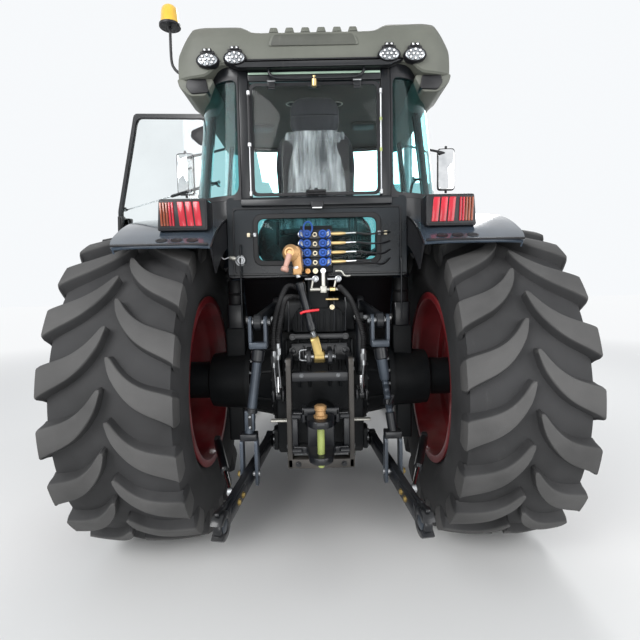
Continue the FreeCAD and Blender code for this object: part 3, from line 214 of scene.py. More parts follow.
class Form:
    """The patches of one piece, each a grid of points with its own finish and wear mark."""

    def __init__(self):
        self.points, self.faces, self.finish, self.marks, self.count = [], [], [], [], 0

    def add(self, grid, finish, ends=True, loop=False, around=True, marks=0.0):
        """Adds a grid of points. Its rows are closed rings unless around is false. ends caps the first and last
        row, and loop joins them instead."""
        rows, cols = grid.shape[:2]
        index = np.arange(rows * cols).reshape(rows, cols) + self.count
        far = np.roll(index, -1, 0) if loop else index[1:]
        near = index if loop else index[:-1]
        if around:
            quads = np.stack([near, np.roll(near, -1, 1), np.roll(far, -1, 1), far], -1)
        else:
            quads = np.stack([near[:, :-1], near[:, 1:], far[:, 1:], far[:, :-1]], -1)
        faces = quads.reshape(-1, 4).tolist()
        if ends and not loop:
            faces += [index[0].tolist(), index[-1].tolist()[::-1]]
        self.points.append(grid.reshape(-1, 3))
        self.marks.append(np.broadcast_to(marks, (rows, cols)).reshape(-1))
        self.faces += faces
        self.finish += [finish] * len(faces)
        self.count += rows * cols
        return self

    def take(self, other):
        """Adds another form's patches."""
        self.faces += [[i + self.count for i in face] for face in other.faces]
        self.points += other.points
        self.marks += other.marks
        self.finish += other.finish
        self.count += other.count
        return self

    def moved(self, change):
        """A copy of the form whose points have gone through a function."""
        copy = Form()
        copy.points = [change(p) for p in self.points]
        copy.faces, copy.finish, copy.marks = list(self.faces), list(self.finish), list(self.marks)
        copy.count = self.count
        return copy

    def mirrored(self):
        """The form's mirror image about the centre plane."""
        return self.moved(lambda p: p * (-1, 1, 1))


def both_sides(form):
    """A form with its mirror image."""
    return Form().take(form).take(form.mirrored())


FINISHES = {}


def make(name, form, body, slot, *nodes, angle=32.0):
    """One mesh from a form's patches, with outward faces. It rides on a body and stands for the nodes named."""
    mesh = bpy.data.meshes.new(name)
    points = np.concatenate(form.points) / 1000 + ORIGIN
    mesh.from_pydata(points.tolist(), [], form.faces)
    names = list(dict.fromkeys(form.finish))
    for finish in names:
        mesh.materials.append(FINISHES[finish])
    mesh.polygons.foreach_set("material_index", [names.index(f) for f in form.finish])
    wear = mesh.attributes.new("wear", "FLOAT", "POINT")
    wear.data.foreach_set("value", np.concatenate(form.marks).astype(np.float32))
    work = bmesh.new()
    work.from_mesh(mesh)
    bmesh.ops.remove_doubles(work, verts=work.verts, dist=1e-5)
    bmesh.ops.recalc_face_normals(work, faces=work.faces)
    work.to_mesh(mesh)
    work.free()
    mesh.shade_smooth()
    mesh.set_sharp_from_angle(angle=math.radians(angle))
    obj = bpy.data.objects.new(name, mesh)
    bpy.context.scene.collection.objects.link(obj)
    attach(obj, body)
    if nodes:
        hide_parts(*nodes)
    return obj


# Finishes

def add(tree, kind, values=None, **settings):
    """A shader node with its settings, and its inputs set or joined."""
    node = tree.nodes.new(kind)
    for key, value in settings.items():
        setattr(node, key, value)
    for key, value in (values or {}).items():
        if isinstance(value, bpy.types.NodeSocket):
            tree.links.new(value, node.inputs[key])
        else:
            node.inputs[key].default_value = value
    return node


def effect(name, inputs, outputs, build):
    """A shader node group with named inputs and outputs, made once."""
    tree = bpy.data.node_groups.new(name, "ShaderNodeTree")
    for label, (kind, value) in inputs.items():
        socket = tree.interface.new_socket(label, in_out="INPUT", socket_type=kind)
        if value is not None:
            socket.default_value = value
    for label, kind in outputs.items():
        tree.interface.new_socket(label, in_out="OUTPUT", socket_type=kind)
    start, end = tree.nodes.new("NodeGroupInput"), tree.nodes.new("NodeGroupOutput")
    for label, socket in build(tree, start.outputs).items():
        tree.links.new(socket, end.inputs[label])
    return tree


def use(tree, group, values):
    """A group placed in a tree."""
    node = tree.nodes.new("ShaderNodeGroup")
    node.node_tree = group
    for key, value in values.items():
        if isinstance(value, bpy.types.NodeSocket):
            tree.links.new(value, node.inputs[key])
        else:
            node.inputs[key].default_value = value
    return node.outputs


def scalar(tree, operation, a, b=0.0, clamp=False):
    """One step of arithmetic in a tree."""
    node = add(tree, "ShaderNodeMath", {0: a, 1: b}, operation=operation, use_clamp=clamp)
    return node.outputs[0]


def blend(tree, share, a, b):
    """A colour between two colours."""
    node = add(tree, "ShaderNodeMix", {0: share, 6: a, 7: b}, data_type="RGBA")
    return node.outputs[2]


FLOAT, VECTOR = "NodeSocketFloat", "NodeSocketVector"


def effects():
    """The shared effects: blotches, grain, settled dust and scuffs."""
    def blotches(tree, given):
        noise = add(tree, "ShaderNodeTexNoise", {"Vector": given["Vector"], "Scale": given["Scale"], "Detail": 4.0})
        return {"Value": add(tree, "ShaderNodeMapRange", {0: noise.outputs[0], 1: 0.32, 2: 0.68}).outputs[0]}

    def grain(tree, given):
        fine = add(tree, "ShaderNodeTexNoise", {"Vector": given["Vector"], "Scale": given["Scale"], "Detail": 2.0})
        return {"Height": fine.outputs[0]}

    def dust(tree, given):
        up = add(tree, "ShaderNodeSeparateXYZ", {0: given["Normal"]}).outputs[2]
        noise = add(tree, "ShaderNodeTexNoise", {"Vector": given["Vector"], "Scale": given["Scale"], "Detail": 6.0})
        lying = add(tree, "ShaderNodeMapRange", {0: up, 1: 0.1, 2: 0.95}).outputs[0]
        height = add(tree, "ShaderNodeSeparateXYZ", {0: given["Vector"]}).outputs[2]
        low = add(tree, "ShaderNodeMapRange", {0: height, 1: 1.3, 2: 0.2}).outputs[0]
        share = scalar(tree, "MAXIMUM", lying, scalar(tree, "MULTIPLY", low, 0.5))
        patch = add(tree, "ShaderNodeMapRange", {0: noise.outputs[0], 1: 0.38, 2: 0.66}).outputs[0]
        share = scalar(tree, "MULTIPLY", share, patch)
        return {"Mask": scalar(tree, "MULTIPLY", share, given["Amount"], clamp=True)}

    def scuffs(tree, given):
        stretch = add(tree, "ShaderNodeMapping", {0: given["Vector"], 3: (1.0, 1.0, 0.25)}).outputs[0]
        noise = add(tree, "ShaderNodeTexNoise", {"Vector": stretch, "Scale": given["Scale"], "Detail": 8.0,
                                                 "Roughness": 0.75})
        mask = add(tree, "ShaderNodeMapRange", {0: noise.outputs[0], 1: 0.62, 2: 0.72}).outputs[0]
        return {"Mask": scalar(tree, "MULTIPLY", mask, given["Amount"], clamp=True)}

    def weave(tree, given):
        x = add(tree, "ShaderNodeTexWave", {"Vector": given["Vector"], "Scale": given["Scale"]}, bands_direction="X")
        z = add(tree, "ShaderNodeTexWave", {"Vector": given["Vector"], "Scale": given["Scale"]}, bands_direction="Z")
        return {"Height": scalar(tree, "MULTIPLY", x.outputs[1], z.outputs[1])}

    place, scale = {"Vector": (VECTOR, None)}, {"Scale": (FLOAT, 10.0)}
    return {
        "blotches": effect("Blotches", {**place, **scale}, {"Value": FLOAT}, blotches),
        "grain": effect("Grain", {**place, **scale}, {"Height": FLOAT}, grain),
        "dust": effect("Settled dust", {**place, "Normal": (VECTOR, None), **scale, "Amount": (FLOAT, 0.3)},
                       {"Mask": FLOAT}, dust),
        "scuffs": effect("Scuffs", {**place, **scale, "Amount": (FLOAT, 0.3)}, {"Mask": FLOAT}, scuffs),
        "weave": effect("Weave", {**place, **scale}, {"Height": FLOAT}, weave),
    }


DUST = (0.30, 0.27, 0.23, 1.0)


def surface(name, groups, colour, roughness=0.5, metallic=0.0, coat=0.0, blotch=0.25, blotch_scale=5.0, dust=0.3,
            scuff=0.1, grain_scale=400.0, bump=0.1, alpha=1.0, tint=None, wear=0.0, wear_colour=DUST, weave=0.0,
            **sockets):
    """A finish from its colour, gloss and the shares of blotches, dust, scuffs and grain on it."""
    material = bpy.data.materials.new(name)
    material.use_nodes = True
    tree = material.node_tree
    shader = tree.nodes["Principled BSDF"]
    place = add(tree, "ShaderNodeTexCoord").outputs
    base = np.array(colour)
    light = tuple(np.clip(base * (1 + blotch), 0, 1)) + (1.0,)
    dark = tuple(base * (1 - blotch)) + (1.0,)
    cloud = use(tree, groups["blotches"], {"Vector": place["Object"], "Scale": blotch_scale})[0]
    paint = blend(tree, cloud, dark, light)
    if tint:
        paint = blend(tree, tint[0], paint, tint[1])
    lying = use(tree, groups["dust"], {"Vector": place["Object"], "Normal": place["Normal"], "Scale": 6.0,
                                       "Amount": dust})[0]
    marks = use(tree, groups["scuffs"], {"Vector": place["Object"], "Scale": 9.0, "Amount": scuff})[0]
    share = scalar(tree, "MAXIMUM", lying, marks)
    if wear:
        worn = add(tree, "ShaderNodeAttribute", attribute_name="wear").outputs["Fac"]
        patch = scalar(tree, "MULTIPLY_ADD", cloud, 0.5)
        tree.nodes[-1].inputs[2].default_value = 0.5
        share = scalar(tree, "MAXIMUM", share, scalar(tree, "MULTIPLY", scalar(tree, "MULTIPLY", worn, patch), wear))
    tree.links.new(blend(tree, share, paint, wear_colour), shader.inputs["Base Color"])
    rough = add(tree, "ShaderNodeMapRange", {0: share, 3: roughness, 4: max(roughness, 0.75)}).outputs[0]
    rough = scalar(tree, "MULTIPLY_ADD", cloud, 0.08)
    tree.nodes[-1].inputs[2].default_value = roughness - 0.04
    rough = scalar(tree, "MAXIMUM", rough, scalar(tree, "MULTIPLY", share, 0.75))
    tree.links.new(rough, shader.inputs["Roughness"])
    shader.inputs["Metallic"].default_value = metallic
    shader.inputs["Coat Weight"].default_value = coat
    if coat:
        shader.inputs["Coat Roughness"].default_value = 0.12
    for key, value in sockets.items():
        shader.inputs[key.replace("_", " ")].default_value = value
    if bump:
        height = use(tree, groups["weave" if weave else "grain"],
                     {"Vector": place["Object"], "Scale": weave or grain_scale})[0]
        relief = add(tree, "ShaderNodeBump", {"Strength": bump, "Distance": 0.002, "Height": height})
        tree.links.new(relief.outputs[0], shader.inputs["Normal"])
    if alpha < 1:
        shader.inputs["Alpha"].default_value = alpha
    FINISHES[name] = material
    return material


def finishes(settings):
    """Every finish on the tractor."""
    groups = effects()

    def paint(name, colour, **values):
        return surface(name, groups, colour, **values)

    paint("chassis black", (0.006, 0.007, 0.009), roughness=0.32, coat=0.1, dust=0.04, scuff=0.08,
          grain_scale=260.0, bump=0.06, Specular_IOR_Level=0.35)
    paint("cast black", (0.005, 0.006, 0.007), roughness=0.48, dust=0.03, scuff=0.04, grain_scale=180.0, bump=0.25,
          Specular_IOR_Level=0.16)
    paint("wall black", (0.008, 0.011, 0.014), roughness=0.3, coat=0.1, dust=0.03, scuff=0.05, grain_scale=260.0,
          bump=0.05, Specular_IOR_Level=0.3)
    paint("blue steel", (0.036, 0.046, 0.060), roughness=0.34, metallic=0.35, dust=0.06, scuff=0.15, bump=0.08)
    paint("ladder steel", (0.036, 0.033, 0.030), roughness=0.5, metallic=0.4, dust=0.14, scuff=0.4, bump=0.3,
          grain_scale=120.0)
    paint("rim red", tuple(settings.rim_colour), roughness=0.34, coat=0.4, dust=0.22, scuff=0.08, bump=0.05)
    paint("bonnet red", tuple(settings.rim_colour), roughness=0.24, coat=0.7, blotch=0.05, dust=0.03, scuff=0.01, bump=0.02)
    paint("rubber", tuple(settings.rubber_colour), roughness=0.76, dust=0.12, scuff=0.2, blotch=0.4,
          blotch_scale=3.0, grain_scale=220.0, bump=0.3, wear=0.5, wear_colour=(0.125, 0.122, 0.118, 1.0))
    paint("soft black rubber", (0.007, 0.007, 0.008), roughness=0.55, dust=0.04, scuff=0.05, bump=0.15,
          Specular_IOR_Level=0.35)
    paint("roof grey", tuple(settings.roof_colour), roughness=0.55, dust=0.2, scuff=0.05, blotch=0.1,
          grain_scale=700.0, bump=0.25)
    paint("fender grey", (0.040, 0.055, 0.075), roughness=0.16, coat=0.8, dust=0.08, scuff=0.05, bump=0.03)
    paint("trim black", (0.008, 0.008, 0.010), roughness=0.42, dust=0.05, scuff=0.05, grain_scale=600.0, bump=0.2,
          Specular_IOR_Level=0.4)
    paint("inside grey", (0.10, 0.088, 0.08), roughness=0.8, dust=0.05, scuff=0.02, grain_scale=900.0, bump=0.2)
    paint("seat fabric", (0.012, 0.014, 0.02), roughness=0.92, dust=0.02, scuff=0.0, weave=260.0, bump=0.5,
          Sheen_Weight=0.12)
    paint("chrome", (0.75, 0.76, 0.77), roughness=0.12, metallic=1.0, dust=0.1, scuff=0.08, bump=0.02)
    paint("zinc", (0.36, 0.37, 0.38), roughness=0.34, metallic=0.9, dust=0.12, scuff=0.1, bump=0.05)
    paint("bolt grey", (0.11, 0.115, 0.12), roughness=0.36, metallic=0.8, dust=0.08, scuff=0.1, bump=0.05)
    paint("yellow zinc", (0.30, 0.22, 0.08), roughness=0.36, metallic=0.8, dust=0.08, scuff=0.15, bump=0.1)
    paint("brass", (0.56, 0.42, 0.20), roughness=0.3, metallic=0.9, dust=0.05, scuff=0.08, bump=0.04)
    paint("pale steel pipe", (0.50, 0.49, 0.44), roughness=0.4, metallic=0.6, dust=0.08, scuff=0.05, bump=0.04)
    paint("blue cap", (0.008, 0.07, 0.33), roughness=0.4, dust=0.05, scuff=0.03, bump=0.05)
    paint("cream port", (0.75, 0.66, 0.47), roughness=0.45, dust=0.05, scuff=0.02, bump=0.05)
    paint("orange port", (0.62, 0.33, 0.12), roughness=0.4, metallic=0.5, dust=0.05, scuff=0.02, bump=0.05)
    paint("tan cast", (0.36, 0.21, 0.09), roughness=0.4, metallic=0.5, dust=0.1, scuff=0.1, bump=0.15)
    paint("handle red", (0.62, 0.02, 0.03), roughness=0.4, dust=0.05, scuff=0.03, bump=0.03)
    paint("red lens", (0.46, 0.012, 0.028), roughness=0.2, coat=0.2, dust=0.03, scuff=0.0, bump=0.0,
          Emission_Color=(0.8, 0.02, 0.03, 1.0), Emission_Strength=0.03)
    paint("amber lens", (0.26, 0.05, 0.015), roughness=0.16, coat=0.4, dust=0.03, scuff=0.0, bump=0.0)
    paint("beacon amber", (0.9, 0.5, 0.03), roughness=0.1, coat=1.0, dust=0.03, scuff=0.0, bump=0.0)
    paint("reflector", (0.34, 0.36, 0.38), roughness=0.22, metallic=0.7, dust=0.03, scuff=0.0, bump=0.0)
    paint("tinted strip", (0.30, 0.42, 0.33), roughness=0.2, dust=0.03, scuff=0.0, bump=0.0)
    paint("clear lens", (0.55, 0.58, 0.6), roughness=0.05, coat=1.0, dust=0.03, scuff=0.0, bump=0.0)
    paint("lamp white", (0.82, 0.84, 0.88), roughness=0.15, coat=1.0, dust=0.03, scuff=0.0, bump=0.0)
    # a darker copy of the roof grey: painted shade for the middle of the roof's rear panel
    paint("roof painted shade", tuple(c * 0.55 for c in settings.roof_colour), roughness=0.6, dust=0.1, grain_scale=700.0,
          bump=0.2)
    paint("mirror glass", (0.8, 0.82, 0.84), roughness=0.03, metallic=1.0, dust=0.04, scuff=0.0, bump=0.0)
    paint("pink pin", (0.40, 0.23, 0.18), roughness=0.45, dust=0.05, scuff=0.1, bump=0.05)
    paint("marker green", (0.30, 0.36, 0.10), roughness=0.4, dust=0.05, scuff=0.05, bump=0.03)
    glass("cab glass", (0.42, 0.74, 0.76), groups)
    glass("door glass", (0.93, 0.97, 0.97), groups)
    glass("clear glass", (0.93, 0.96, 0.95), groups)
    film("plastic film", groups)


def glass(name, colour, groups):
    """Clear or teal sheet glass with a little dust on it."""
    material = bpy.data.materials.new(name)
    material.use_nodes = True
    tree = material.node_tree
    shader = tree.nodes["Principled BSDF"]
    place = add(tree, "ShaderNodeTexCoord").outputs["Object"]
    cloud = use(tree, groups["blotches"], {"Vector": place, "Scale": 3.0})[0]
    low = tuple(c * 0.94 for c in colour) + (1.0,)
    tree.links.new(blend(tree, cloud, colour + (1.0,), low), shader.inputs["Base Color"])
    tree.links.new(scalar(tree, "MULTIPLY", cloud, 0.03), shader.inputs["Roughness"])
    shader.inputs["Transmission Weight"].default_value = 1.0
    shader.inputs["IOR"].default_value = 1.2
    FINISHES[name] = material


def film(name, groups):
    """Thin crinkled plastic film."""
    material = bpy.data.materials.new(name)
    material.use_nodes = True
    tree = material.node_tree
    shader = tree.nodes["Principled BSDF"]
    place = add(tree, "ShaderNodeTexCoord").outputs["Object"]
    stretched = add(tree, "ShaderNodeMapping", {0: place, 3: (1.0, 1.0, 0.16)}).outputs[0]
    cloud = use(tree, groups["blotches"], {"Vector": stretched, "Scale": 26.0})[0]
    tree.links.new(blend(tree, cloud, (0.12, 0.14, 0.16, 1), (0.52, 0.55, 0.58, 1)), shader.inputs["Base Color"])
    shader.inputs["Roughness"].default_value = 0.2
    tree.links.new(scalar(tree, "MULTIPLY_ADD", cloud, 0.45), shader.inputs["Alpha"])
    tree.nodes[-1].inputs[2].default_value = 0.30
    crease = use(tree, groups["grain"], {"Vector": stretched, "Scale": 45.0})[0]
    relief = add(tree, "ShaderNodeBump", {"Strength": 0.7, "Distance": 0.008, "Height": crease})
    tree.links.new(relief.outputs[0], shader.inputs["Normal"])
    FINISHES[name] = material


# Wheels

TYRES = {
    # rows: place across from the middle as a share of half the width, lag and half thickness in pitches, drop
    "rear": dict(lug=52.0, lugs=20, rows=((0.03, 0.00, 0.14, 0), (0.22, 0.34, 0.16, 0), (0.58, 0.66, 0.19, 4),
                                          (1.0, 0.86, 0.24, 26))),
    "front": dict(lug=42.0, lugs=18, rows=((0.03, 0.00, 0.13, 0), (0.45, 0.48, 0.17, 3), (1.0, 0.82, 0.23, 22))),
}


def wheel_sizes(axle, side):
    """The centre, radius, half width and rim radius of a wheel, from its nodes."""
    low, high = span(f"{axle}_tyre_{side}")
    rim_low, rim_high = span(f"{axle}_rim_{side}")
    return (low + high) / 2, (high[2] - low[2]) / 2, (high[0] - low[0]) / 2, (rim_high[2] - rim_low[2]) / 2 - 22


def lug_rows(tyre, side, radius, half, steps):
    """One side's lugs as a grid [lug, along, across, xyz].

    The centre line's lag, thickness and drop are polynomials through the rows' values over the share of the width.
    A lug's section rises from its base line to its top line, and both lines run on over the shoulder."""
    share, lag, thick, drop = np.array(tyre["rows"]).T
    s = np.linspace(share[0], 0.955, steps)
    degree = len(share) - 1
    lags, thicks = (np.polyval(np.polyfit(share, v, degree), s) for v in (lag, thick))
    drops = np.maximum(np.polyval(np.polyfit(share, drop, 2), s), 0)
    end = drop[-1]
    top_x = np.concatenate([s, [0.985, 1.0, 0.998, 0.985, 0.95]])
    top_r = radius - np.concatenate([drops, [end - 2, end + 16, end + 60, end + 105, end + 135]])
    base_x = np.concatenate([s * 0.98, [0.93, 0.94, 0.95, 0.95, 0.93]])
    base_r = radius - np.concatenate([drops * 1.4 + tyre["lug"] + 6, [end + 66, end + 90, end + 110, end + 130, end + 140]])
    lags = np.concatenate([lags, lag[-1] + np.array([0.0, 0.01, 0.03, 0.05, 0.06])])
    thicks = np.concatenate([thicks, thick[-1] * np.array([1.0, 1.0, 0.95, 0.85, 0.6])])
    nose = np.sqrt(np.clip(1 - (1 - np.linspace(0, 1, len(lags)) / 0.09).clip(0, 1) ** 2, 0.04, 1))
    widths = np.array([-1.38, -1.22, -1.10, -1.0, -0.88, -0.3, 0.3, 0.88, 1.0, 1.10, 1.22, 1.38])
    heights = np.array([0.0, 0.35, 0.80, 0.95, 1.0, 1.0, 1.0, 1.0, 0.95, 0.80, 0.35, 0.0])
    x = base_x[:, None] + (top_x - base_x)[:, None] * heights
    r = base_r[:, None] + (top_r - base_r)[:, None] * heights
    turn = lags[:, None] + (thicks * nose)[:, None] * widths
    pitch = 2 * np.pi / tyre["lugs"]
    first = 0.0 if side > 0 else 0.5
    a = (np.arange(tyre["lugs"])[:, None, None] + first + turn[None]) * pitch
    x, r = np.broadcast_to(side * half * x, a.shape), np.broadcast_to(r, a.shape)
    return np.stack([x, r * np.sin(a), -r * np.cos(a)], -1), heights


def carcass(tyre, radius, half, rim):
    """The tyre's skin as (across, radius) rows: crown, shoulder, a bulging sidewall with fine rings, and bead."""
    share, lag, thick, drop = np.array(tyre["rows"]).T
    s = np.linspace(0, 0.90, 9)
    crown = radius - tyre["lug"] - 1.4 * np.maximum(np.polyval(np.polyfit(share, drop, 2), s), 0)
    t = np.linspace(0, 1, 26)
    top, low = radius - tyre["lug"] - 1.4 * drop[-1] - 26, rim + 20
    side_r = top + (low - top) * t
    bulge = 0.935 + 0.05 * np.sin(np.pi * np.clip(t * 1.05, 0, 1)) - 0.13 * np.clip((t - 0.62) / 0.38, 0, 1) ** 1.6
    rings = 2.0 * np.exp(-((t[:, None] - np.array([0.22, 0.58, 0.83])) / 0.018) ** 2).sum(1)
    x = np.concatenate([s * half, bulge * half + rings, [0.8 * half - 2, 0.74 * half, 0.68 * half]])
    r = np.concatenate([crown, side_r, [rim + 8, rim + 1, rim + 0.8]])
    return np.concatenate([np.stack([-x[::-1], r[::-1]], -1), np.stack([x[1:], r[1:]], -1)])


def tyre_form(axle, side):
    """A lugged tyre: its skin turned about the axle and the lugs of both sides."""
    tyre = TYRES[axle]
    centre, radius, half, rim = wheel_sizes(axle, side)
    form = Form()
    skin = turned(carcass(tyre, radius, half, rim), centre, (1, 0, 0), 120)
    form.add(skin, "rubber", ends=False, loop=True)
    for direction in (-1, 1):
        grid, heights = lug_rows(tyre, direction, radius, half - 0.5, 24)
        worn = (heights > 0.9) * 1.0
        for lug in grid:
            form.add(lug + centre, "rubber", around=True, marks=np.broadcast_to(worn, lug.shape[:2]))
    return form


def rim_form(axle, side):
    """A dished rim: its closed section turned about the axle, with clamp bolts and hub bolts."""
    centre, radius, half, r = wheel_sizes(axle, side)
    s = -1 if side == "left" else 1
    low, high = span(f"{axle}_rim_{side}")
    w = (high[0] - low[0]) / 2 if axle == "rear" else 230.0
    w = {"rear": 280.0, "front": 230.0}[axle]
    hub, disc = {"rear": (150.0, 40.0), "front": (120.0, 30.0)}[axle]
    section = rounded([(-w, r - 24), (-w, r + 22), (-w + 12, r + 22), (-w + 22, r), (w - 22, r), (w - 12, r + 22),
                       (w, r + 22), (w, r - 24), (w - 60, r - 36), (disc + 190, r - 42), (disc + 120, r - 46),
                       (disc + 60, r - 58), (disc + 16 - 2 * disc, r - 75), (-disc - 30, r - 120),
                       (-disc - 40, hub + 110), (-disc - 40, hub - 20), (-disc - 66, hub - 20),
                       (-disc - 66, hub + 110), (-disc - 24, r - 90), (-disc - 40, r - 40),
                       (-w + 60, r - 34)], 9.0, 2)
    form = Form()
    form.add(turned(section * (-s, 1) * (-1, 1) if s > 0 else section * (1, 1), centre, (1, 0, 0), 96),
             "rim red", ends=False, loop=True)
    out = s * (disc + 70)
    cap = [(0, hub - 10), (8, hub), (hub * 0.62, hub * 0.94), (hub * 0.75, hub * 0.72), (hub * 0.9, hub * 0.66),
           (hub * 0.9 + 4, hub * 0.6)]
    form.add(turned(cap, centre + (out - s * 6, 0, 0), (s, 0, 0), 48), "cast black")
    count = 10
    for k in range(count):
        a = 2 * math.pi * k / count
        spot = np.array([0, math.sin(a), math.cos(a)])
        place = centre + spot * (hub + 42)
        form.add(bar(place + (s * (disc + 62), 0, 0), place + (s * (disc + 92), 0, 0), 15, 6, 2), "zinc")
        if k % 2 == 0:
            lug = centre + spot * (r - 70)
            form.add(bar(lug + (s * (disc - 20), 0, 0), lug + (s * (disc + 26), 0, 0), 14, 6, 2), "zinc")
    return form


def wheels():
    """Tyres and rims of the four wheels."""
    for axle in ("rear", "front"):
        for side in ("left", "right"):
            make(f"tyre_{axle}_{side}", tyre_form(axle, side), f"{axle}_wheel_{side}", "tyre", f"{axle}_tyre_{side}")
            make(f"rim_{axle}_{side}", rim_form(axle, side), f"{axle}_wheel_{side}", "rim", f"{axle}_rim_{side}")


# Parts that several pieces share

def placed(grid, origin, along, side):
    """A grid moved so that its own x runs along a direction and its own z along the side named."""
    u = unit(np.asarray(along, float))
    w = np.asarray(side, float)
    w = unit(w - (w @ u) * u)
    v = np.cross(w, u)
    return np.asarray(origin, float) + grid[..., :1] * u + grid[..., 1:2] * v + grid[..., 2:] * w


def lever(a, b, ra, rb, thick, side=(1, 0, 0), edge=3.0):
    """A flat lever whose outline is a half circle about each end, joined by straight lines."""
    a, b = np.asarray(a, float), np.asarray(b, float)
    long = np.linalg.norm(b - a)
    t = np.radians(np.linspace(90, 270, 13))
    near = np.stack([ra * np.cos(t), ra * np.sin(t)], -1)
    far = np.stack([long - rb * np.cos(t), -rb * np.sin(t)], -1)
    return placed(slab(np.concatenate([near, far]), -thick / 2, thick / 2, "z", edge), a, b - a, side)


def bolt(form, place, axis, radius=11.0, high=9.0, finish="bolt grey"):
    """A hexagon head on a washer."""
    place, axis = np.asarray(place, float), unit(np.asarray(axis, float))
    form.add(turned([(0, radius * 1.35), (2.5, radius * 1.35)], place, axis, 20), finish)
    form.add(turned([(2, radius), (high - 1.5, radius), (high, radius * 0.82)], place, axis, 6), finish)


def bolts(form, centre, axis, ring, count, radius=11.0, high=9.0, finish="bolt grey"):
    """Bolts in a ring around an axis."""
    for spot in turned([(0, ring)], centre, axis, count)[0]:
        bolt(form, spot, axis, radius, high, finish)


def hose(points, radius, ribs=0.0, sides=14):
    """A hose: a round skin along a smooth curve, its radius waving with a fine pitch if it is ribbed."""
    path = smooth(points, 12)
    if not ribs:
        return tube(path, radius, sides)
    run = np.concatenate([[0], np.cumsum(np.linalg.norm(np.diff(path, axis=0), axis=1))])
    count = max(int(run[-1] / 3.0), 8)
    even = np.linspace(0, run[-1], count)
    fine = np.stack([np.interp(even, run, path[:, k]) for k in range(3)], -1)
    return tube(fine, radius * (1 + ribs * np.sin(2 * np.pi * even / 9.0)), sides)


def nut(form, a, b, radius, finish="zinc"):
    """A fitting: a hexagon between two round collars."""
    a, b = np.asarray(a, float), np.asarray(b, float)
    form.add(bar(a, b, radius * 0.82, 16, 1), finish)
    form.add(bar(a + (b - a) * 0.3, a + (b - a) * 0.7, radius, 6, 1), finish)


# Fenders and lamps

def fender_form():
    """The left rear fender: an edge-rolled section carried about the axle. Its width w follows the angle: full
    behind the door, then a quarter ellipse down to the narrow part."""
    angle = np.concatenate([np.linspace(-38, -30, 7), np.linspace(-26, 2, 12), np.linspace(4, 16, 13),
                            np.linspace(18, 70, 22)])
    t = np.clip((angle - 4) / 12, 0, 1)
    wide = 800 + 292 * np.sqrt(1 - t ** 2)
    wide -= 60 * (1 - np.sqrt(1 - np.clip((-30 - angle) / 8.5, 0, 1) ** 2))
    top_x = np.concatenate([np.linspace(0, 1, 10) ** 0.9, [1, 1, 1]])
    inset = np.concatenate([np.zeros(8), [4, 1.5, 0, 0, 0]])
    drop = np.concatenate([[10, 2], np.zeros(5), [1.0, 3.0, 9.0, 18.0, 28.0, 38.0]])
    x_out = -540 - top_x[None] * (wide[:, None] - 540) + inset[None] * 2
    r_out = 1043 - np.broadcast_to(drop, x_out.shape)
    back = slice(None, None, -1)
    x_in = x_out[:, back] + np.array([9, 9, 9, 8, 5, 2, 0, 0, 0, 0, 0, 0, 0])[None]
    r_in = r_out[:, back] - np.array([1, 1, 3, 6, 9, 9, 9, 9, 9, 9, 9, 9, 5])[None]
    x, r = np.concatenate([x_out, x_in], 1), np.concatenate([r_out, r_in], 1)
    a = np.radians(angle)[:, None]
    form = Form().add(np.stack([x, r * np.sin(a), REAR_RADIUS * 1000 + r * np.cos(a)], -1), "fender grey")
    inner = np.radians(np.linspace(-38, 70, 49))[:, None]
    flange = np.array([[-540, 1041], [-540, 874], [-549, 874], [-549, 1036]])
    r, x = flange[None, :, 1], np.broadcast_to(flange[None, :, 0], (49, 4))
    form.add(np.stack([x, r * np.sin(inner), REAR_RADIUS * 1000 + r * np.cos(inner)], -1), "trim black")
    # a dark rod along the rear lip stands for its notch: painted shade
    lip_notch_shade = circle(7.0, 8)
    for x0, x1, at_r in ((-560, -1060, 1044),):
        path = np.array([[x0, at_r * math.sin(math.radians(-37)), REAR_RADIUS * 1000 + at_r * math.cos(math.radians(-37))],
                         [x1, at_r * math.sin(math.radians(-37)), REAR_RADIUS * 1000 + at_r * math.cos(math.radians(-37))]])
        form.add(carried(path, lip_notch_shade), "trim black")
    # three dark ovals stand for the fender's recesses: painted shade
    for x in (-650, -730, -810):
        place = (x, 1043 * math.sin(math.radians(-34.6)), REAR_RADIUS * 1000 + 1043 * math.cos(math.radians(-34.6)))
        axis = (0, math.sin(math.radians(-34.6)), math.cos(math.radians(-34.6)))
        oval = turned([(-1, 20), (2.5, 20), (2.5, 14), (0.4, 12), (0.4, 0.5)], (0, 0, 0), axis, 24)
        form.add(oval * (1.5, 1, 1) + place, "trim black", ends=True)
    return form


def tail_lamp_form():
    """The left tail lamp: a dark housing with three slanted red lenses and an amber ribbed one on its rear face."""
    form = Form()
    corner = rounded([(-850, 1872), (-582, 1872), (-582, 2040), (-838, 2040)], 14, 4)
    form.add(slab(corner, -530, -392, "y", 7), "trim black")
    form.add(slab(rounded([(-842, 1882), (-590, 1882), (-590, 2032), (-830, 2032)], 12, 4), -534, -524, "y", 2), "trim black")
    for k in range(3):
        x = -612 - 42 * k
        ring = rounded([(x - 30, 1894), (x + 4, 1894), (x - 8, 2022), (x - 42, 2022)], 5, 3)
        form.add(slab(ring, -541, -530, "y", 2.5), "red lens")
    for k in range(5):
        x = -756 - 15.5 * k
        ring = rounded([(x - 9, 1896), (x + 2, 1896), (x - 3, 2020), (x - 14, 2020)], 3, 3)
        form.add(slab(ring, -540, -530, "y", 2.0), "amber lens" if k > 1 else "red lens")
    return form


def fenders_and_lamps():
    """Rear fenders and tail lamps."""
    make("fenders_rear", both_sides(fender_form()), "chassis", "fender", "fenders")
    make("tail_lamps_rear", both_sides(tail_lamp_form()), "chassis", "lamp", "tail_lamps")


# Roof

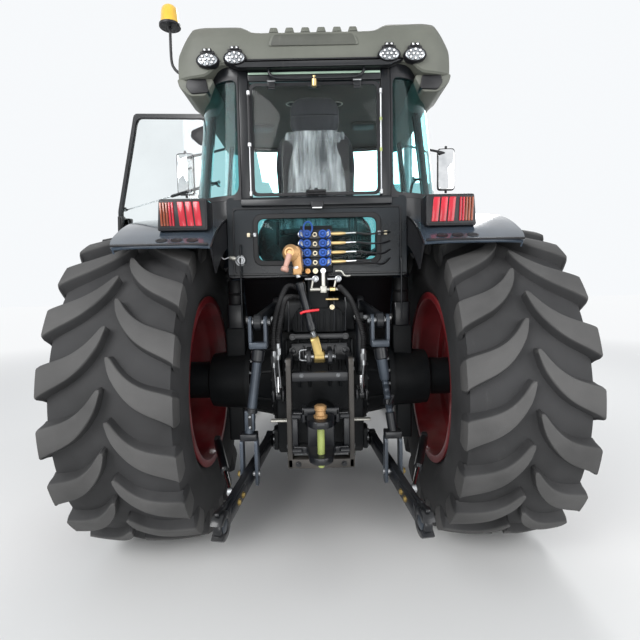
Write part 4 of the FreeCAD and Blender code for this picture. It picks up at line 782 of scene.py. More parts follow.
def roof_form():
    """The moulded roof: a side section whose heights follow x, narrowed to rounded ends.

    The rear top edge stands at the hump height h(x), a smooth step up outside the middle, and the ends fall away
    along a chamfer. The ridges in the middle are bumps along the rear edge."""
    x = np.concatenate([[-806, -805, -800, -792], np.linspace(-780, -705, 6), np.linspace(-690, 690, 47),
                        np.linspace(705, 780, 6), [792, 800, 805, 806]])
    out = np.abs(x)
    hump = 3042 + 34 / (1 + np.exp(-(out - 385) / 14)) - 4 * np.clip((out - 640) / 60, 0, 1)
    chamfer = np.clip((out - 700) / 106, 0, 1)
    top = hump - 150 * chamfer ** 1.3
    low = 2846 - 66 / (1 + np.exp(-(out - 590) / 16))
    shrink = 1 - np.sqrt(1 - np.clip((out - 792) / 14.5, 0, 1) ** 2)
    plan = 60 * np.clip((out - 620) / 186, 0, 1) ** 2
    rear, front = -262 + plan, 1495 - 1.8 * plan
    middle = (top + low) / 2
    span_y = (rear + front) / 2
    # one station's ring: (share of the way from rear to front, offset, share of the way from low to top, offset)
    ring = np.array([(0, 60, 0, 0), (0, 10, 0, 0), (0, 0, 0, 10), (0, 0, 0.45, 0), (0, 6, 0.72, 0), (0, 22, 0.9, 0),
                     (0, 50, 1, -3), (0, 95, 1, 2), (0, 200, 1, 0), (0.30, 0, 1, 6), (0.6, 0, 1, 8), (0.85, 0, 1, -4),
                     (1, -110, 1, -26), (1, -35, 0.72, -8), (1, -3, 0.45, 0), (1, 0, 0.3, 0), (1, -30, 0, 30),
                     (1, -150, 0, 0), (0.5, 0, 0, 0), (0, 200, 0, 0)])
    y = rear[:, None] + (front - rear)[:, None] * ring[None, :, 0] + ring[None, :, 1]
    z = low[:, None] + (top - low)[:, None] * ring[None, :, 2] + ring[None, :, 3]
    y = y + (span_y[:, None] - y) * shrink[:, None] * 0.12
    z = z + (middle[:, None] - z) * shrink[:, None] * 0.35
    grid = np.stack([np.broadcast_to(x[:, None], y.shape), y, z], -1)
    form = Form().add(grid, "roof grey")
    for k in range(6):
        cx = -230 + 92 * k
        ring2 = rounded([(cx - 30, 3030), (cx + 30, 3030), (cx + 20, 3062), (cx - 20, 3062)], 6, 3)
        form.add(slab(ring2, -226, 60, "y", 6), "roof grey")
    panel = rounded([(-262, 2938), (262, 2938), (238, 3000), (-238, 3000)], 18, 5)
    form.add(slab(panel, -268, -255, "y", 4), "roof grey")
    # the middle of the rear panel in the darker roof grey: painted shade
    form.add(slab(panel * (0.95, 1), -269.5, -262, "y", 3), "roof painted shade")
    lip = rounded([(-430, 2816), (430, 2816), (516, 2850), (-516, 2850)], 6, 3)
    form.add(slab(lip, -284, -233.5, "y", 5), "chassis black")
    form.add(slab(rounded([(-505, 2842), (505, 2842), (500, 2866), (-500, 2866)], 6, 3), -276, -240, "y", 4), "trim black")
    form.add(slab(rounded(rectangle(-385, 385, 2794, 2806), 5, 3), -240, -233.2, "y", 1.5), "tinted strip")
    for s in (-1, 1):
        corner = rounded([(s * 742, 2784), (s * 632, 2784), (s * 618, 2706), (s * 722, 2700), (s * 752, 2740)], 12, 3)
        form.add(slab(corner, -228, -150, "y", 6), "trim black")
        brow = rounded([(s * 806, 2790), (s * 600, 2790), (s * 590, 2770), (s * 640, 2690), (s * 730, 2690),
                        (s * 792, 2740)], 16, 4)
        form.add(slab(brow, -216, 120, "y", 8), "roof grey")
    path = smooth([(-262, -262, 2812), (-258, -270, 2790), (-238, -272, 2768), (-190, -272, 2758), (0, -272, 2756),
                   (210, -272, 2758), (262, -272, 2768), (284, -270, 2790), (288, -262, 2812)], 6)
    form.add(tube(path, 8, 14), "chassis black")
    form.add(turned([(0, 13), (4, 16), (40, 16), (44, 12), (58, 12), (64, 5)], (0, -268, 2708), (0, 0, 1), 24), "brass")
    form.add(block(-34, 34, -262, -233.5, 2712, 2724, 3), "chassis black")
    return form


def roof_lamp_form():
    """Four rear work lamps and two front ones: an oval bezel with a domed lens and rows of bright points."""
    form = Form()
    oval = circle(64.0, 32, 0.62)

    def rings(rows):
        return np.stack([np.stack([oval[:, 0] * k, np.full(32, float(d)), oval[:, 1] * k], -1) for k, d in rows])

    bezel = rings([(0.94, 46), (1.02, 30), (1.04, 8), (1.0, 0), (0.94, -5), (0.88, -4), (0.86, 4)])
    lens = rings([(0.87, -1), (0.8, -4), (0.5, -6), (0.2, -7)])
    for x, z in ((-606, 2858), (-450, 2868), (430, 2872), (578, 2868)):
        place = np.array([x, -288.0, z])
        form.add(bezel + place, "trim black")
        form.add(lens + place, "reflector")
        for k in range(10):
            spot = place + ((38 * math.cos(k * math.pi / 4), -6, 24 * math.sin(k * math.pi / 4)) if k < 8
                            else (11 * (2 * k - 17), -7, 0))
            form.add(turned([(0, 9.5), (3, 9.5), (3, 7)], spot, (0, -1, 0), 16), "trim black")
            form.add(turned([(0, 7), (4, 6.5), (6, 3)], spot, (0, -1, 0), 12), "lamp white")
        form.add(block(x - 40, x + 40, -285, -235, z + 36, z + 50, 4), "trim black")
        form.add(block(x - 26, x + 26, -292, -262, z + 44, z + 62, 4), "trim black")
        for dx in (-13, 13):
            form.add(turned([(0, 6), (4, 6), (6, 3)], (x + dx, -292, z + 53), (0, -1, 0), 14), "chrome")
    for x in (-560, 560):
        ring = rounded([(x - 60, 2890), (x + 60, 2890), (x + 60, 2960), (x - 60, 2960)], 18, 4)
        form.add(slab(ring, 1440, 1523, "y", 6), "trim black")
        form.add(slab(ring * (0.9, 1) + (x * 0.1, 0), 1518, 1526, "y", 3), "lamp white")
    return form


def beacon_form():
    """The amber beacon on its bent stalk."""
    form = Form()
    low = span("beacon")[1][2] - 130
    form.add(hose([(-790, 0, 2905), (-840, 0, 2915), (-880, 0, 2950), (-896, 0, 3010), (-896, 0, low)], 9), "trim black")
    form.add(turned([(0, 60), (4, 66), (18, 66), (22, 58)], (-896, 0, low - 2), (0, 0, 1), 40), "trim black")
    form.add(turned([(0, 57), (30, 55), (70, 52), (92, 47), (104, 36), (108, 12)], (-896, 0, low + 19), (0, 0, 1), 40),
             "beacon amber")
    return form


def roof_pieces():
    """Roof, roof lamps and beacon."""
    make("roof_shell", roof_form(), "chassis", "roof", "roof")
    make("roof_work_lamps", roof_lamp_form(), "chassis", "lamp", "roof_lamps")
    make("beacon_light", beacon_form(), "chassis", "beacon", "beacon")


# Cab

BELT, FLOOR, PLATFORM, TOP = 2085.0, 1366.0, 1650.0, 2850.0
# the left door's outline and its glass as (y, z), from the top of the hinge side round by its lower edge
DOOR = [(416, 2826), (416, 1945), (504, 1903), (591, 1851), (679, 1787), (766, 1712), (847, 1690), (890, 1625),
        (927, 1536), (971, 1413), (1120, 1400), (1146, 2085), (1059, 2826)]
PANE = [(450, 2792), (450, 1967), (520, 1934), (610, 1880), (700, 1814), (783, 1743), (868, 1720), (921, 1641),
        (959, 1549), (996, 1445), (1087, 1437), (1112, 2084), (1029, 2792)]
HINGE = np.array([-846.0, 413.0, BELT])
HINGE_LINE = unit(np.array([88.0, 0.0, 765.0]))
DOOR_OPEN = 76.0


def cab_x(z):
    """Half the cab's width at a height: two straight runs that meet at the belt."""
    return np.interp(z, [FLOOR, BELT, TOP], [800.0, 830.0, 742.0])


def leaned(grid):
    """A grid whose x is the depth below the skin, laid on the cab's folded left side: x = depth - width(z)."""
    grid = np.array(grid, float)
    grid[..., 0] -= cab_x(grid[..., 2])
    return grid


def panel(a, b, d0, d1, edge=3.0):
    """A strip of the left side between two (y, z) curves and two depths, its section a block with broken edges."""
    a, b = np.asarray(a, float), np.asarray(b, float)
    inward = unit(b - a) * edge
    rows = [(a + inward, d0), (b - inward, d0), (b, d0 + edge), (b, d1 - edge), (b - inward, d1), (a + inward, d1),
            (a, d1 - edge), (a, d0 + edge)]
    return leaned(np.stack([np.concatenate([np.full((len(a), 1), d), p], 1) for p, d in rows], 1))


def even(outline, count, closed=True):
    """An outline given again with evenly spaced points."""
    p = np.asarray(outline, float)
    ring = np.vstack([p, p[:1]]) if closed else p
    run = np.concatenate([[0], np.cumsum(np.linalg.norm(np.diff(ring, axis=0), axis=1))])
    spots = np.linspace(0, run[-1], count, endpoint=not closed)
    return np.stack([np.interp(spots, run, ring[:, k]) for k in range(2)], -1)


def corner_place(turn, inset, z):
    """A place on the curved rear quarter. turn goes from 0 at the rear post to 1 at the door post, on a
    superellipse: x by sin(a) ** 0.9 and y by cos(a) ** 0.9."""
    a = np.clip(turn, 0, 1) * np.pi / 2
    across = cab_x(np.maximum(z, BELT)) - 445 - inset
    x = -445 - across * np.clip(np.sin(a), 0, 1) ** 0.9
    y = 360 - (590 - inset) * np.clip(np.cos(a), 0, 1) ** 0.9
    return np.stack(np.broadcast_arrays(x, y, z), -1)


def screen_place(turn, inset, z):
    """A place on the front screen. turn goes from -1 to 1 across, and the sides fall back by t^2."""
    t = np.clip((np.abs(turn) - 0.35) / 0.65, 0, 1)
    back = 90 * np.clip((z - BELT) / 765, 0, 1)
    x = (cab_x(z) - inset) * turn
    y = 1330 - inset - back - 128 * t ** 2
    return np.stack(np.broadcast_arrays(x, y, z), -1)


def skin(place, start, stop, z0, z1, inner, thick, count=33):
    """A wall on a curved face: its section runs out along one inset and back along the other, at five heights."""
    turn = np.linspace(start, stop, count)
    ring = np.concatenate([turn, turn[::-1]])[None]
    depth = np.concatenate([np.full(count, inner), np.full(count, inner + thick)])[None]
    return place(ring, depth, np.linspace(z0, z1, 5)[:, None])


def frame_on(place, outer, inner, low, high, count=160):
    """A raised frame on a curved face, between two outlines (turn * 1000, z)."""
    band = ring_band(even(outer, count), even(inner, count), low, high, "z")
    return place(band[..., 0] / 1000, band[..., 2], band[..., 1])


def rectangle(x0, x1, z0, z1):
    """Four corners in order."""
    return [(x0, z0), (x1, z0), (x1, z1), (x0, z1)]


def cab_side_form():
    """The left side of the cab frame: posts, rails, the panel below the door, quarter bands, hinges and stay arm."""
    form = Form()
    form.add(panel([(360, 1900), (360, BELT), (360, TOP)], [(410, 1900), (410, BELT), (410, TOP)], 0, 36, 6),
             "chassis black")
    form.add(panel([(1128, FLOOR), (1152, BELT), (1062, TOP)], [(1178, FLOOR), (1202, BELT), (1112, TOP)], 0, 36, 6),
             "chassis black")
    form.add(panel([(360, 2832), (1112, 2832)], [(360, TOP), (1112, TOP)], 0, 56, 4), "chassis black")
    under = even([(398, 1939)] + [(y, z - 6) for y, z in DOOR[1:10]] + [(971, 1356)], 40, False)
    form.add(panel(under, arc(1044, 21, 67.4, 39, 0, REAR_RADIUS * 1000), 1, 36, 3), "chassis black")
    form.add(panel([(951, 1356), (951, 1394)], [(1178, 1356), (1178, 1394)], 0, 36, 4), "chassis black")
    form.add(skin(corner_place, 0, 1, 1905, BELT, 0, 34), "chassis black")
    form.add(skin(corner_place, 0, 1, 2790, TOP, 0, 34), "chassis black")
    form.add(frame_on(corner_place, rectangle(0, 1000, BELT - 4, 2794),
                      rounded(rectangle(16, 968, BELT + 26, 2770), (70, 95, 60, 50), 10), -2.5, 8), "trim black",
             ends=False, loop=True)
    form.add(block(-445, -388, -232, -190, 2070, TOP, 8), "chassis black")
    form.add(carried([(-386, -214, 2100), (-386, -214, 2756)], circle(7, 10)), "soft black rubber")
    form.add(block(-538, -520, -194, 380, 1620, 2025, 4), "inside grey")
    for z in (BELT + 115, BELT + 595):
        x = -float(cab_x(z))
        form.add(block(x - 20, x + 10, 370, 413, z - 34, z - 6, 4), "chassis black")
        start = HINGE + HINGE_LINE * (z - BELT)
        form.add(bar(start - HINGE_LINE * 34, start - HINGE_LINE * 6, 9.5, 20), "chassis black")
        form.add(bar(start - HINGE_LINE * 10, start + HINGE_LINE * 56, 5, 16, 1), "zinc")
    a = stay_line(0)[0]
    form.add(block(a[0] - 50, a[0] + 12, 370, 406, a[2] - 34, a[2] - 22, 3), "chassis black")
    form.add(block(a[0] - 12, a[0] + 12, 370, a[1] + 8, a[2] - 34, a[2] - 22, 3), "chassis black")
    form.add(bar(a - (0, 0, 26), a + (0, 0, 14), 6, 16, 1), "zinc")
    return form


def cab_frame_form():
    """The cab's frame: both sides, the rear wall with its sealed window, rail and lamp, the floor and the front."""
    form = both_sides(cab_side_form())
    form.add(block(-389, 389, -231, -192, 2760, TOP, 6), "chassis black")
    outer = even(rounded(rectangle(-538, 538, 1620, 2097), 26, 4), 160)
    inner = even(rounded(rectangle(-360, 360, 1712, 1975), 46, 6), 160)
    form.add(ring_band(outer, inner, -230, -194, "y", 3), "wall black", loop=True, ends=False)
    form.add(ring_band(even(rounded(rectangle(-505, 505, 1634, 2036), 16, 4), 160),
                       even(rounded(rectangle(-493, 493, 1646, 2024), 14, 4), 160), -236, -229, "y", 2.5),
             "chassis black", loop=True, ends=False)
    form.add(ring_band(even(rounded(rectangle(-382, 382, 1690, 1997), 60, 6), 160),
                       even(rounded(rectangle(-352, 352, 1720, 1967), 42, 6), 160), -243, -229, "y", 4),
             "soft black rubber", loop=True, ends=False)
    rail = rounded([(-256, 2040), (-229, 2040), (-229, 2092), (-246, 2092), (-256, 2080)], 8, 4)
    form.add(slab(rail, -445, 445, "x", 4), "chassis black")
    form.add(block(-34, 42, -282, -250, 2025, 2058, 5, 9), "trim black")
    form.add(block(-26, 34, -278, -256, 2019, 2027, 3, 6), "lamp white")
    for s in (-1, 1):
        for x in (370, 408):
            form.add(block(s * (x - 9), s * (x + 9), -252, -228, 1862, 1886, 3), "cream port" if x > 400 else "zinc")
        form.add(block(s * 368, s * 412, -242, -229, 1868, 1880, 2), "trim black")
    form.add(turned([(0, 32), (4, 32), (6, 26), (36, 26), (40, 22), (40, 17), (20, 14)], (-462, -230, 1724),
                    (0.25, -1, 0), 28), "zinc")
    form.add(turned([(0, 12), (14, 14), (24, 10), (30, 12), (36, 8)], (-492, -240, 1736), (-1, -0.3, 0.2), 20), "pale steel pipe")
    form.add(hose([(-528, -250, 1744), (-556, -262, 1734), (-576, -262, 1760), (-584, -250, 1806)], 4.5), "zinc")
    form.add(tube(smooth([(-456, -240, 1812), (-458, -262, 1790), (-458, -268, 1560), (-456, -268, 1320)]), 5, 10), "chassis black")
    form.add(tube(smooth([(494, -240, 1730), (497, -262, 1710), (497, -268, 1540), (496, -268, 1340)]), 5, 10), "chassis black")
    floor = rounded([(-230, 1650), (320, 1650), (470, FLOOR), (1172, FLOOR), (1172, 1336), (450, 1336), (305, 1620),
                     (-230, 1620)], 12, 3)
    form.add(slab(floor, -538, 538, "x", 3), "trim black")
    for k in range(13):
        form.add(block(-500, 500, 500 + 50 * k, 512 + 50 * k, FLOOR - 2, FLOOR + 5, 2.5), "soft black rubber")
    for s in (-1, 1):
        form.add(block(s * 530, s * 796, 975, 1172, 1336, FLOOR, 4), "trim black")
    form.add(skin(screen_place, -1, 1, 1336, 1720, 0, 34, 61), "chassis black")
    form.add(skin(screen_place, -1, 1, 2790, TOP, 0, 34, 61), "chassis black")
    return form


def cab_glass_form():
    """Lower rear pane, curved quarter panes and the curved front screen."""
    form = Form()
    form.add(slab(rounded(rectangle(-359, 359, 1713, 1974), 46, 6), -218, -212, "y", 1), "cab glass")
    for s in (-1, 1):
        form.add(skin(corner_place, 0, 1, BELT, 2790, 8, 6) * (-s, 1, 1), "cab glass")
    form.add(skin(screen_place, -1, 1, 1720, 2790, 8, 6, 61), "cab glass")
    return form


def headliner_form():
    """The headliner with two ringed vents, two recesses drawn as black pads of painted shade, an edge roll and the lamp
    between them.
    """
    form = Form()
    plan = rounded([(-690, -130), (-420, -188), (420, -188), (690, -130), (650, 1180), (-650, 1180)], 70, 6)
    form.add(slab(plan, 2792, 2840, "z", 10), "inside grey")
    edge = np.stack([plan[:, 0] * 0.985, plan[:, 1] * 0.985 + 6, np.full(len(plan), 2790.0)], -1)
    form.add(carried(np.concatenate([edge, edge[:1]]), circle(9, 8), side=(0, 0, 1)), "trim black", ends=False)
    for x in (-138, 146):
        form.add(turned([(0, 44), (5, 43), (8, 38), (4, 33)], (x, 264, 2794), (0, 0, -1), 40), "pale steel pipe")
        form.add(turned([(0, 36), (5, 34)], (x, 264, 2794), (0, 0, -1), 32), "trim black")
        for r in (24, 12):
            form.add(turned([(4, r + 3), (9, r + 2), (9, r - 1), (4, r - 2)], (x, 264, 2794), (0, 0, -1), 28),
                     "soft black rubber", ends=False)
    for x in (-345, 345):
        ring = rounded([(x - 92, 590), (x + 92, 590), (x + 80, 760), (x - 80, 760)], 46, 6)
        form.add(slab(ring, 2784, 2794, "z", 5), "inside grey")
        # a black pad inside each surround stands for the recess: painted shade
        form.add(slab((ring - (x, 675)) * (0.82, 0.7) + (x, 675), 2781, 2788, "z", 3), "trim black")
    form.add(slab(rounded([(-60, 360), (60, 360), (54, 430), (-54, 430)], 16, 5), 2785, 2794, "z", 4), "lamp white")
    form.add(block(-600, 600, 1130, 1176, 2772, 2796, 10), "trim black")
    return form


def door_form():
    """The left door, closed: a folded frame, its rubber, hinge knuckles, outer handle, lock and stay arm."""
    form = Form()
    outer, inner = (even(rounded(line, r, 6), 200) for line, r in ((DOOR, 26), (PANE, 46)))
    form.add(leaned(ring_band(outer, inner, 0, 30, "x", 4)), "chassis black", loop=True, ends=False)
    middle = outer + (inner - outer) * 0.25
    form.add(leaned(ring_band(middle, middle + (inner - outer) * 0.3, 28, 38, "x", 3)), "soft black rubber",
             loop=True, ends=False)
    form.add(leaned(ring_band(inner - (inner - outer) * 0.12, inner + (inner - outer) * 0.16, 6, 19, "x", 2)),
             "trim black", loop=True, ends=False)
    form.add(block(-866, -826, 1078, 1122, 1896, 2052, 7), "trim black")
    form.add(lever((-868, 1100, 1918), (-868, 1100, 2034), 14, 12, 12, (-1, 0, 0), 4), "soft black rubber")
    form.add(block(-806, -770, 1050, 1126, 1940, 2040, 7), "trim black")
    form.add(lever((-768, 1080, 1980), (-768, 960, 1996), 12, 9, 12, (1, 0, 0), 4), "chassis black")
    form.add(turned([(0, 10), (8, 10), (9, 7)], (-866, 1100, 1900), (-1, 0, 0), 20), "zinc")
    for z in (BELT + 115, BELT + 595):
        x = -float(cab_x(z))
        start = HINGE + HINGE_LINE * (z - BELT)
        form.add(bar(start, start + HINGE_LINE * 50, 9.5, 20), "chassis black")
        form.add(block(x - 20, x + 5, 418, 452, z + 4, z + 46, 4), "chassis black")
    cover = rounded([(418, 2602), (470, 2596), (548, 2650), (548, 2700), (440, 2744), (418, 2742)], 14, 4)
    form.add(leaned(slab(cover, -26, 2, "x", 6)), "trim black")
    end = stay_line(0)[1]
    form.add(block(end[0] - 26, end[0] + 10, end[1] - 9, end[1] + 9, end[2] + 14, end[2] + 24, 2), "chassis black")
    form.add(bar(end - (0, 0, 6), end + (0, 0, 14), 7, 16, 1), "zinc")
    return form


def door_glass_form():
    """The left door's pane as (left edge, right edge) pairs at each height."""
    p = np.array(PANE, float)
    z = np.unique(np.concatenate([np.linspace(1448, 2791, 60), [BELT]]))
    hinge_side, lock_side = p[9::-1], p[10:]
    a = np.stack([np.interp(z, hinge_side[:, 1], hinge_side[:, 0]), z], -1)
    b = np.stack([np.interp(z, lock_side[:, 1], lock_side[:, 0]), z], -1)
    return Form().add(panel(a, b, 10, 16, 1), "door glass")


def stay_line(swing):
    """The left stay's end on the cab and its end on the door, with the door swung by some degrees."""
    start = np.array([-float(cab_x(2350)) + 70, 480.0, 2350.0])
    end = np.array([-float(cab_x(2100)) + 48, 1118.0, 2100.0])
    return start, about(end, HINGE, HINGE_LINE, swing)


def stay_forms(swing):
    """A door stay's barrel and its rod, with ball ends."""
    a, b = stay_line(swing)
    along = unit(b - a)
    barrel, stick = Form(), Form()
    barrel.add(turned([(6, 5), (10, 9), (18, 11), (394, 11), (400, 7)], a, along, 24), "trim black")
    barrel.add(turned([(-9, 10), (-6, 13), (6, 13), (9, 10)], a, (0, 0, 1), 24), "zinc")
    long = float(np.linalg.norm(b - a))
    stick.add(bar(b - along * min(470, long - 12), b - along * 8, 4.8, 20, 1), "chrome")
    stick.add(turned([(-8, 9), (-5, 12), (5, 12), (8, 9)], b, (0, 0, 1), 24), "zinc")
    stick.add(bar(b - along * 26, b - along * 9, 8, 16, 1), "trim black")
    return barrel, stick


def strut_form():
    """The rear window's gas struts: the left one a black tube above a thin rod, the right one thin and bright."""
    form = Form()
    y, low, high = -254.0, 2105.0, 2690.0
    for s, wide, thin, split in ((-1, (9.5, "trim black"), (4.5, "zinc"), 2400.0),
                                 (1, (6.0, "zinc"), (4.2, "zinc"), 2360.0)):
        x = s * 384.0
        form.add(bar((x, y, split), (x, y, high - 12), wide[0], 20), wide[1])
        form.add(bar((x, y, low + 10), (x, y, split + 6), thin[0], 16, 1), thin[1])
        form.add(bar((x, y, split - 16), (x, y, split + 4), wide[0] + 1.5, 20), "lamp white" if s < 0 else "marker green")
        for z in (low + 8, high - 6):
            form.add(bar((x, y, z - 14), (x, y, z + 14), 9.5, 18), "lamp white" if z > 2500 and s < 0 else "zinc")
            form.add(bar((x, y - 6, z), (x, -228, z), 8, 16, 1), "chassis black")
        if s > 0:
            form.add(bar((x, y, 2520), (x, y, 2536), 8.5, 20), "marker green")
    return form


def rear_window_form():
    """The rear window: its rounded pane with a dark border, two top hinges and the latch at the bottom."""
    form = Form()
    ring = rounded(rectangle(-382, 382, 2103, 2754), 34, 6)
    form.add(slab(ring, -222, -216, "y", 1), "clear glass")
    form.add(ring_band(even(ring, 160), even(rounded(rectangle(-364, 364, 2122, 2734), 26, 6), 160), -224, -214.5, "y", 1),
             "trim black", loop=True, ends=False)
    for x in (-250, 250):
        form.add(block(x - 22, x + 22, -242, -230.5, 2722, 2788, 4, 5), "chassis black")
        form.add(block(x - 20, x + 20, -236, -222, 2712, 2750, 4, 5), "chassis black")
        form.add(bar((x - 24, -240, 2756), (x + 24, -240, 2756), 6, 16, 1), "zinc")
    form.add(block(-60, 60, -240, -221, 2106, 2136, 5, 8), "trim black")
    form.add(hose([(-50, -240, 2122), (-46, -262, 2120), (0, -264, 2118), (46, -262, 2120), (50, -240, 2122)], 6.5),
             "soft black rubber")
    form.add(turned([(0, 14), (10, 14), (13, 9)], (0, -240, 2128), (0, -1, 0), 24), "chassis black")
    return form


def mirror_form():
    """The left mirror: bent arm, upright tube, clamps, and a crowned housing with its glass towards the driver."""
    form = Form()
    form.add(hose([(-750, 1118, 2790), (-840, 1180, 2794), (-1120, 1350, 2794), (-1205, 1402, 2792), (-1235, 1420, 2784)], 11),
             "trim black")
    form.add(bar((-1235, 1420, 2420), (-1235, 1420, 2858), 11.5, 20, 3), "trim black")
    ring = rounded(rectangle(-1318, -1152, 2444, 2836), 34, 6)
    form.add(slab(ring, 1404, 1440, "y", 9), "trim black")
    centre = ring.mean(0)
    shell = np.stack([np.concatenate([(ring - centre) * k + centre, np.full((len(ring), 1), y)], 1)[:, (0, 2, 1)]
                      for k, y in ((0.98, 1436), (0.93, 1454), (0.8, 1464), (0.5, 1468))])
    form.add(shell, "trim black")
    form.add(slab((ring - centre) * (0.9, 0.94) + centre, 1400.5, 1406, "y", 1), "mirror glass")
    for z in (2510, 2760):
        form.add(block(-1262, -1208, 1408, 1446, z - 18, z + 18, 6), "trim black")
        bolt(form, (-1235, 1446, z), (0, 1, 0), 7, 7)
    return form


def pad_form(path, wide, deep, finish, channels=(), power=3.0, side=(1, 0, 0), rows=64, sides=64):
    """A stuffed pad along a path. Its section is a superellipse of a half width and a half depth, which swells
    between the sewn channels and pulls in at them, and its ends round off by (1 - |2v - 1|^5)^(1/5)."""
    v = np.linspace(0, 1, rows)
    line = np.stack([np.interp(v, np.linspace(0, 1, len(path)), np.array(path, float)[:, k]) for k in range(3)], -1)
    a = np.linspace(0, 2 * np.pi, sides, endpoint=False)
    p = np.sign(np.cos(a)) * np.abs(np.cos(a)) ** (2 / power)
    q = np.sign(np.sin(a)) * np.abs(np.sin(a)) ** (2 / power)
    taper = np.clip(1 - np.abs(2 * v - 1) ** 5, 0.0008, 1) ** 0.2
    crease = 1 - 0.22 * sum((np.exp(-((v - c) / 0.014) ** 2) for c in channels), np.zeros(rows))
    waist = 1 - 0.035 * np.sin(np.pi * v) ** 2
    seam = 1 - 0.10 * np.exp(-((np.abs(p) - 0.66) / 0.03) ** 2)
    w = np.broadcast_to(wide, rows) if np.ndim(wide) == 0 else np.interp(v, np.linspace(0, 1, len(wide)), wide)
    section = np.stack([(w * waist * taper)[:, None] * p[None], (deep * taper * crease)[:, None] * (q * seam)[None]], -1)
    along = unit(np.gradient(line, axis=0))
    m = np.broadcast_to(np.asarray(side, float), along.shape)
    n = unit(np.cross(along, m))
    return Form().add(line[:, None] + section[..., :1] * m[:, None] + section[..., 1:] * n[:, None], finish)


def film_form():
    """Thin film over the backrest: a sheet behind the pad with its side edges bent forward, and creases that run out
    from its top corners: sums of sines of the two parameters."""
    u = np.linspace(-1, 1, 81)[None]
    v = np.linspace(0, 1, 90)[:, None]
    corner = np.exp(-((np.abs(u) - 0.78) / 0.16) ** 2 - ((v - 0.16) / 0.14) ** 2)
    folds = (2.6 * np.sin(21 * u + 2.2 * np.sin(5 * v)) * np.sin(2.4 * v + 0.5) + 1.6 * np.sin(47 * u - 5 * v)
             + 3.0 * np.sin(9 * u + 7 * v) + 7.0 * corner * np.sin(18 * (v - 0.6 * np.abs(u))))
    x = u * (172 + 52 * v ** 0.7) + 2.5 * np.sin(13 * v + 2 * u)
    edge = np.abs(u) ** 6
    z = 2486 - 575 * v + folds * 0.2
    y = -206 + 8 * (1 - v) + 46 * edge + folds * 0.8
    form = Form()
    form.add(np.stack(np.broadcast_arrays(x, y, z), -1), "plastic film", ends=False, around=False)
    return form


def seat_pieces():
    """The seat: a bellows base, and a cushion, backrest and headrest that are padded, with film on the back."""
    base = Form()
    base.add(block(-215, 215, -58, 418, PLATFORM, PLATFORM + 26, 5, 20), "trim black")
    for k in range(5):
        z = PLATFORM + 28 + 19 * k
        base.add(block(-198, 198, -44, 400, z, z + 16, 7, 30), "soft black rubber")
    base.add(block(-224, 224, -50, 440, PLATFORM + 122, PLATFORM + 142, 5, 24), "trim black")
    base.add(block(-206, 206, -188, -158, 1880, 2440, 14, 40), "trim black")
    for s in (-1, 1):
        base.add(lever((s * 240, -60, 1860), (s * 240, -90, 1980), 34, 26, 18, (1, 0, 0), 4), "trim black")
    make("seat_base", base, "chassis", "trim", "seat")
    pads = {
        "seat_cushion": pad_form([(0, -36, 1862), (0, 200, 1858), (0, 466, 1868)], (216, 246, 250, 240), 62,
                                 "seat fabric", (0.3, 0.52, 0.74)),
        "seat_backrest": pad_form([(0, -70, 1900), (0, -104, 2180), (0, -128, 2500)], (215, 238, 244, 226), 56,
                                  "seat fabric", (0.22, 0.42, 0.62, 0.82)),
        "seat_headrest": pad_form([(0, -124, 2478), (0, -124, 2694)], (136, 150, 150, 128), 44, "seat fabric", (0.5,)),
    }
    for name, form in pads.items():
        make(name, form, "chassis", "seat")
    cover = make("seat_film", film_form(), "chassis", "trim")
    clip = Form().add(block(-26, 14, -216, -204, 2086, 2112, 4, 6), "trim black")
    make("seat_clip", clip, "chassis", "trim")


def dashboard_form():
    """The steering console with its display hood, column, switches and a wheel with three spokes."""
    form = Form()
    side = rounded([(980, FLOOR), (956, FLOOR + 420), (962, FLOOR + 540), (1052, FLOOR + 694), (1188, FLOOR + 694),
                    (1232, FLOOR + 500), (1228, FLOOR)], 30, 5)
    form.add(slab(side, -188, 188, "x", 18), "trim black")
    hub = np.array([0, 860.0, FLOOR + 764])
    lean = unit(np.array([0, -130.0, 170.0]))
    form.add(tube(smooth([(0, 1000, FLOOR + 580), (0, 930, FLOOR + 672), tuple(hub)], 10), 31, 24), "trim black")
    a = np.linspace(0, 2 * np.pi, 65)[:-1]
    across, up = np.array([1.0, 0, 0]), np.cross((1, 0, 0), lean)
    line = hub + 200 * (np.cos(a)[:, None] * across + np.sin(a)[:, None] * up)
    t = np.linspace(0, 2 * np.pi, 17)[:-1]
    out = unit(line - hub)
    ring = line[:, None] + 15 * (np.cos(t)[None, :, None] * out[:, None] + np.sin(t)[None, :, None] * lean)
    form.add(ring, "soft black rubber", loop=True, ends=False)
    for d in (across, -across, -up):
        form.add(beam(hub + lean * 4, hub + d * 192, 26, 12, 4, lean), "trim black")
    form.add(turned([(-8, 42), (8, 54), (16, 54), (24, 40), (26, 12)], hub, lean, 36), "trim black")
    for s in (-1, 1):
        form.add(hose([(s * 30, 900, FLOOR + 700), (s * 110, 880, FLOOR + 720), (s * 170, 868, FLOOR + 730)], 7),
                 "soft black rubber")
    form.add(slab(rounded(rectangle(-120, 120, FLOOR + 556, FLOOR + 664), 18, 5), 968, 984, "y", 4), "lamp white")
    for s in (-1, 1):
        for k in range(2):
            form.add(block(s * (215 + 95 * k), s * (290 + 95 * k), 930, 950, FLOOR + 60, FLOOR + 150, 6), "soft black rubber")
            form.add(bar((s * (252 + 95 * k), 945, FLOOR + 110), (s * (252 + 95 * k), 1160, FLOOR + 170), 11, 14), "trim black")
    return form


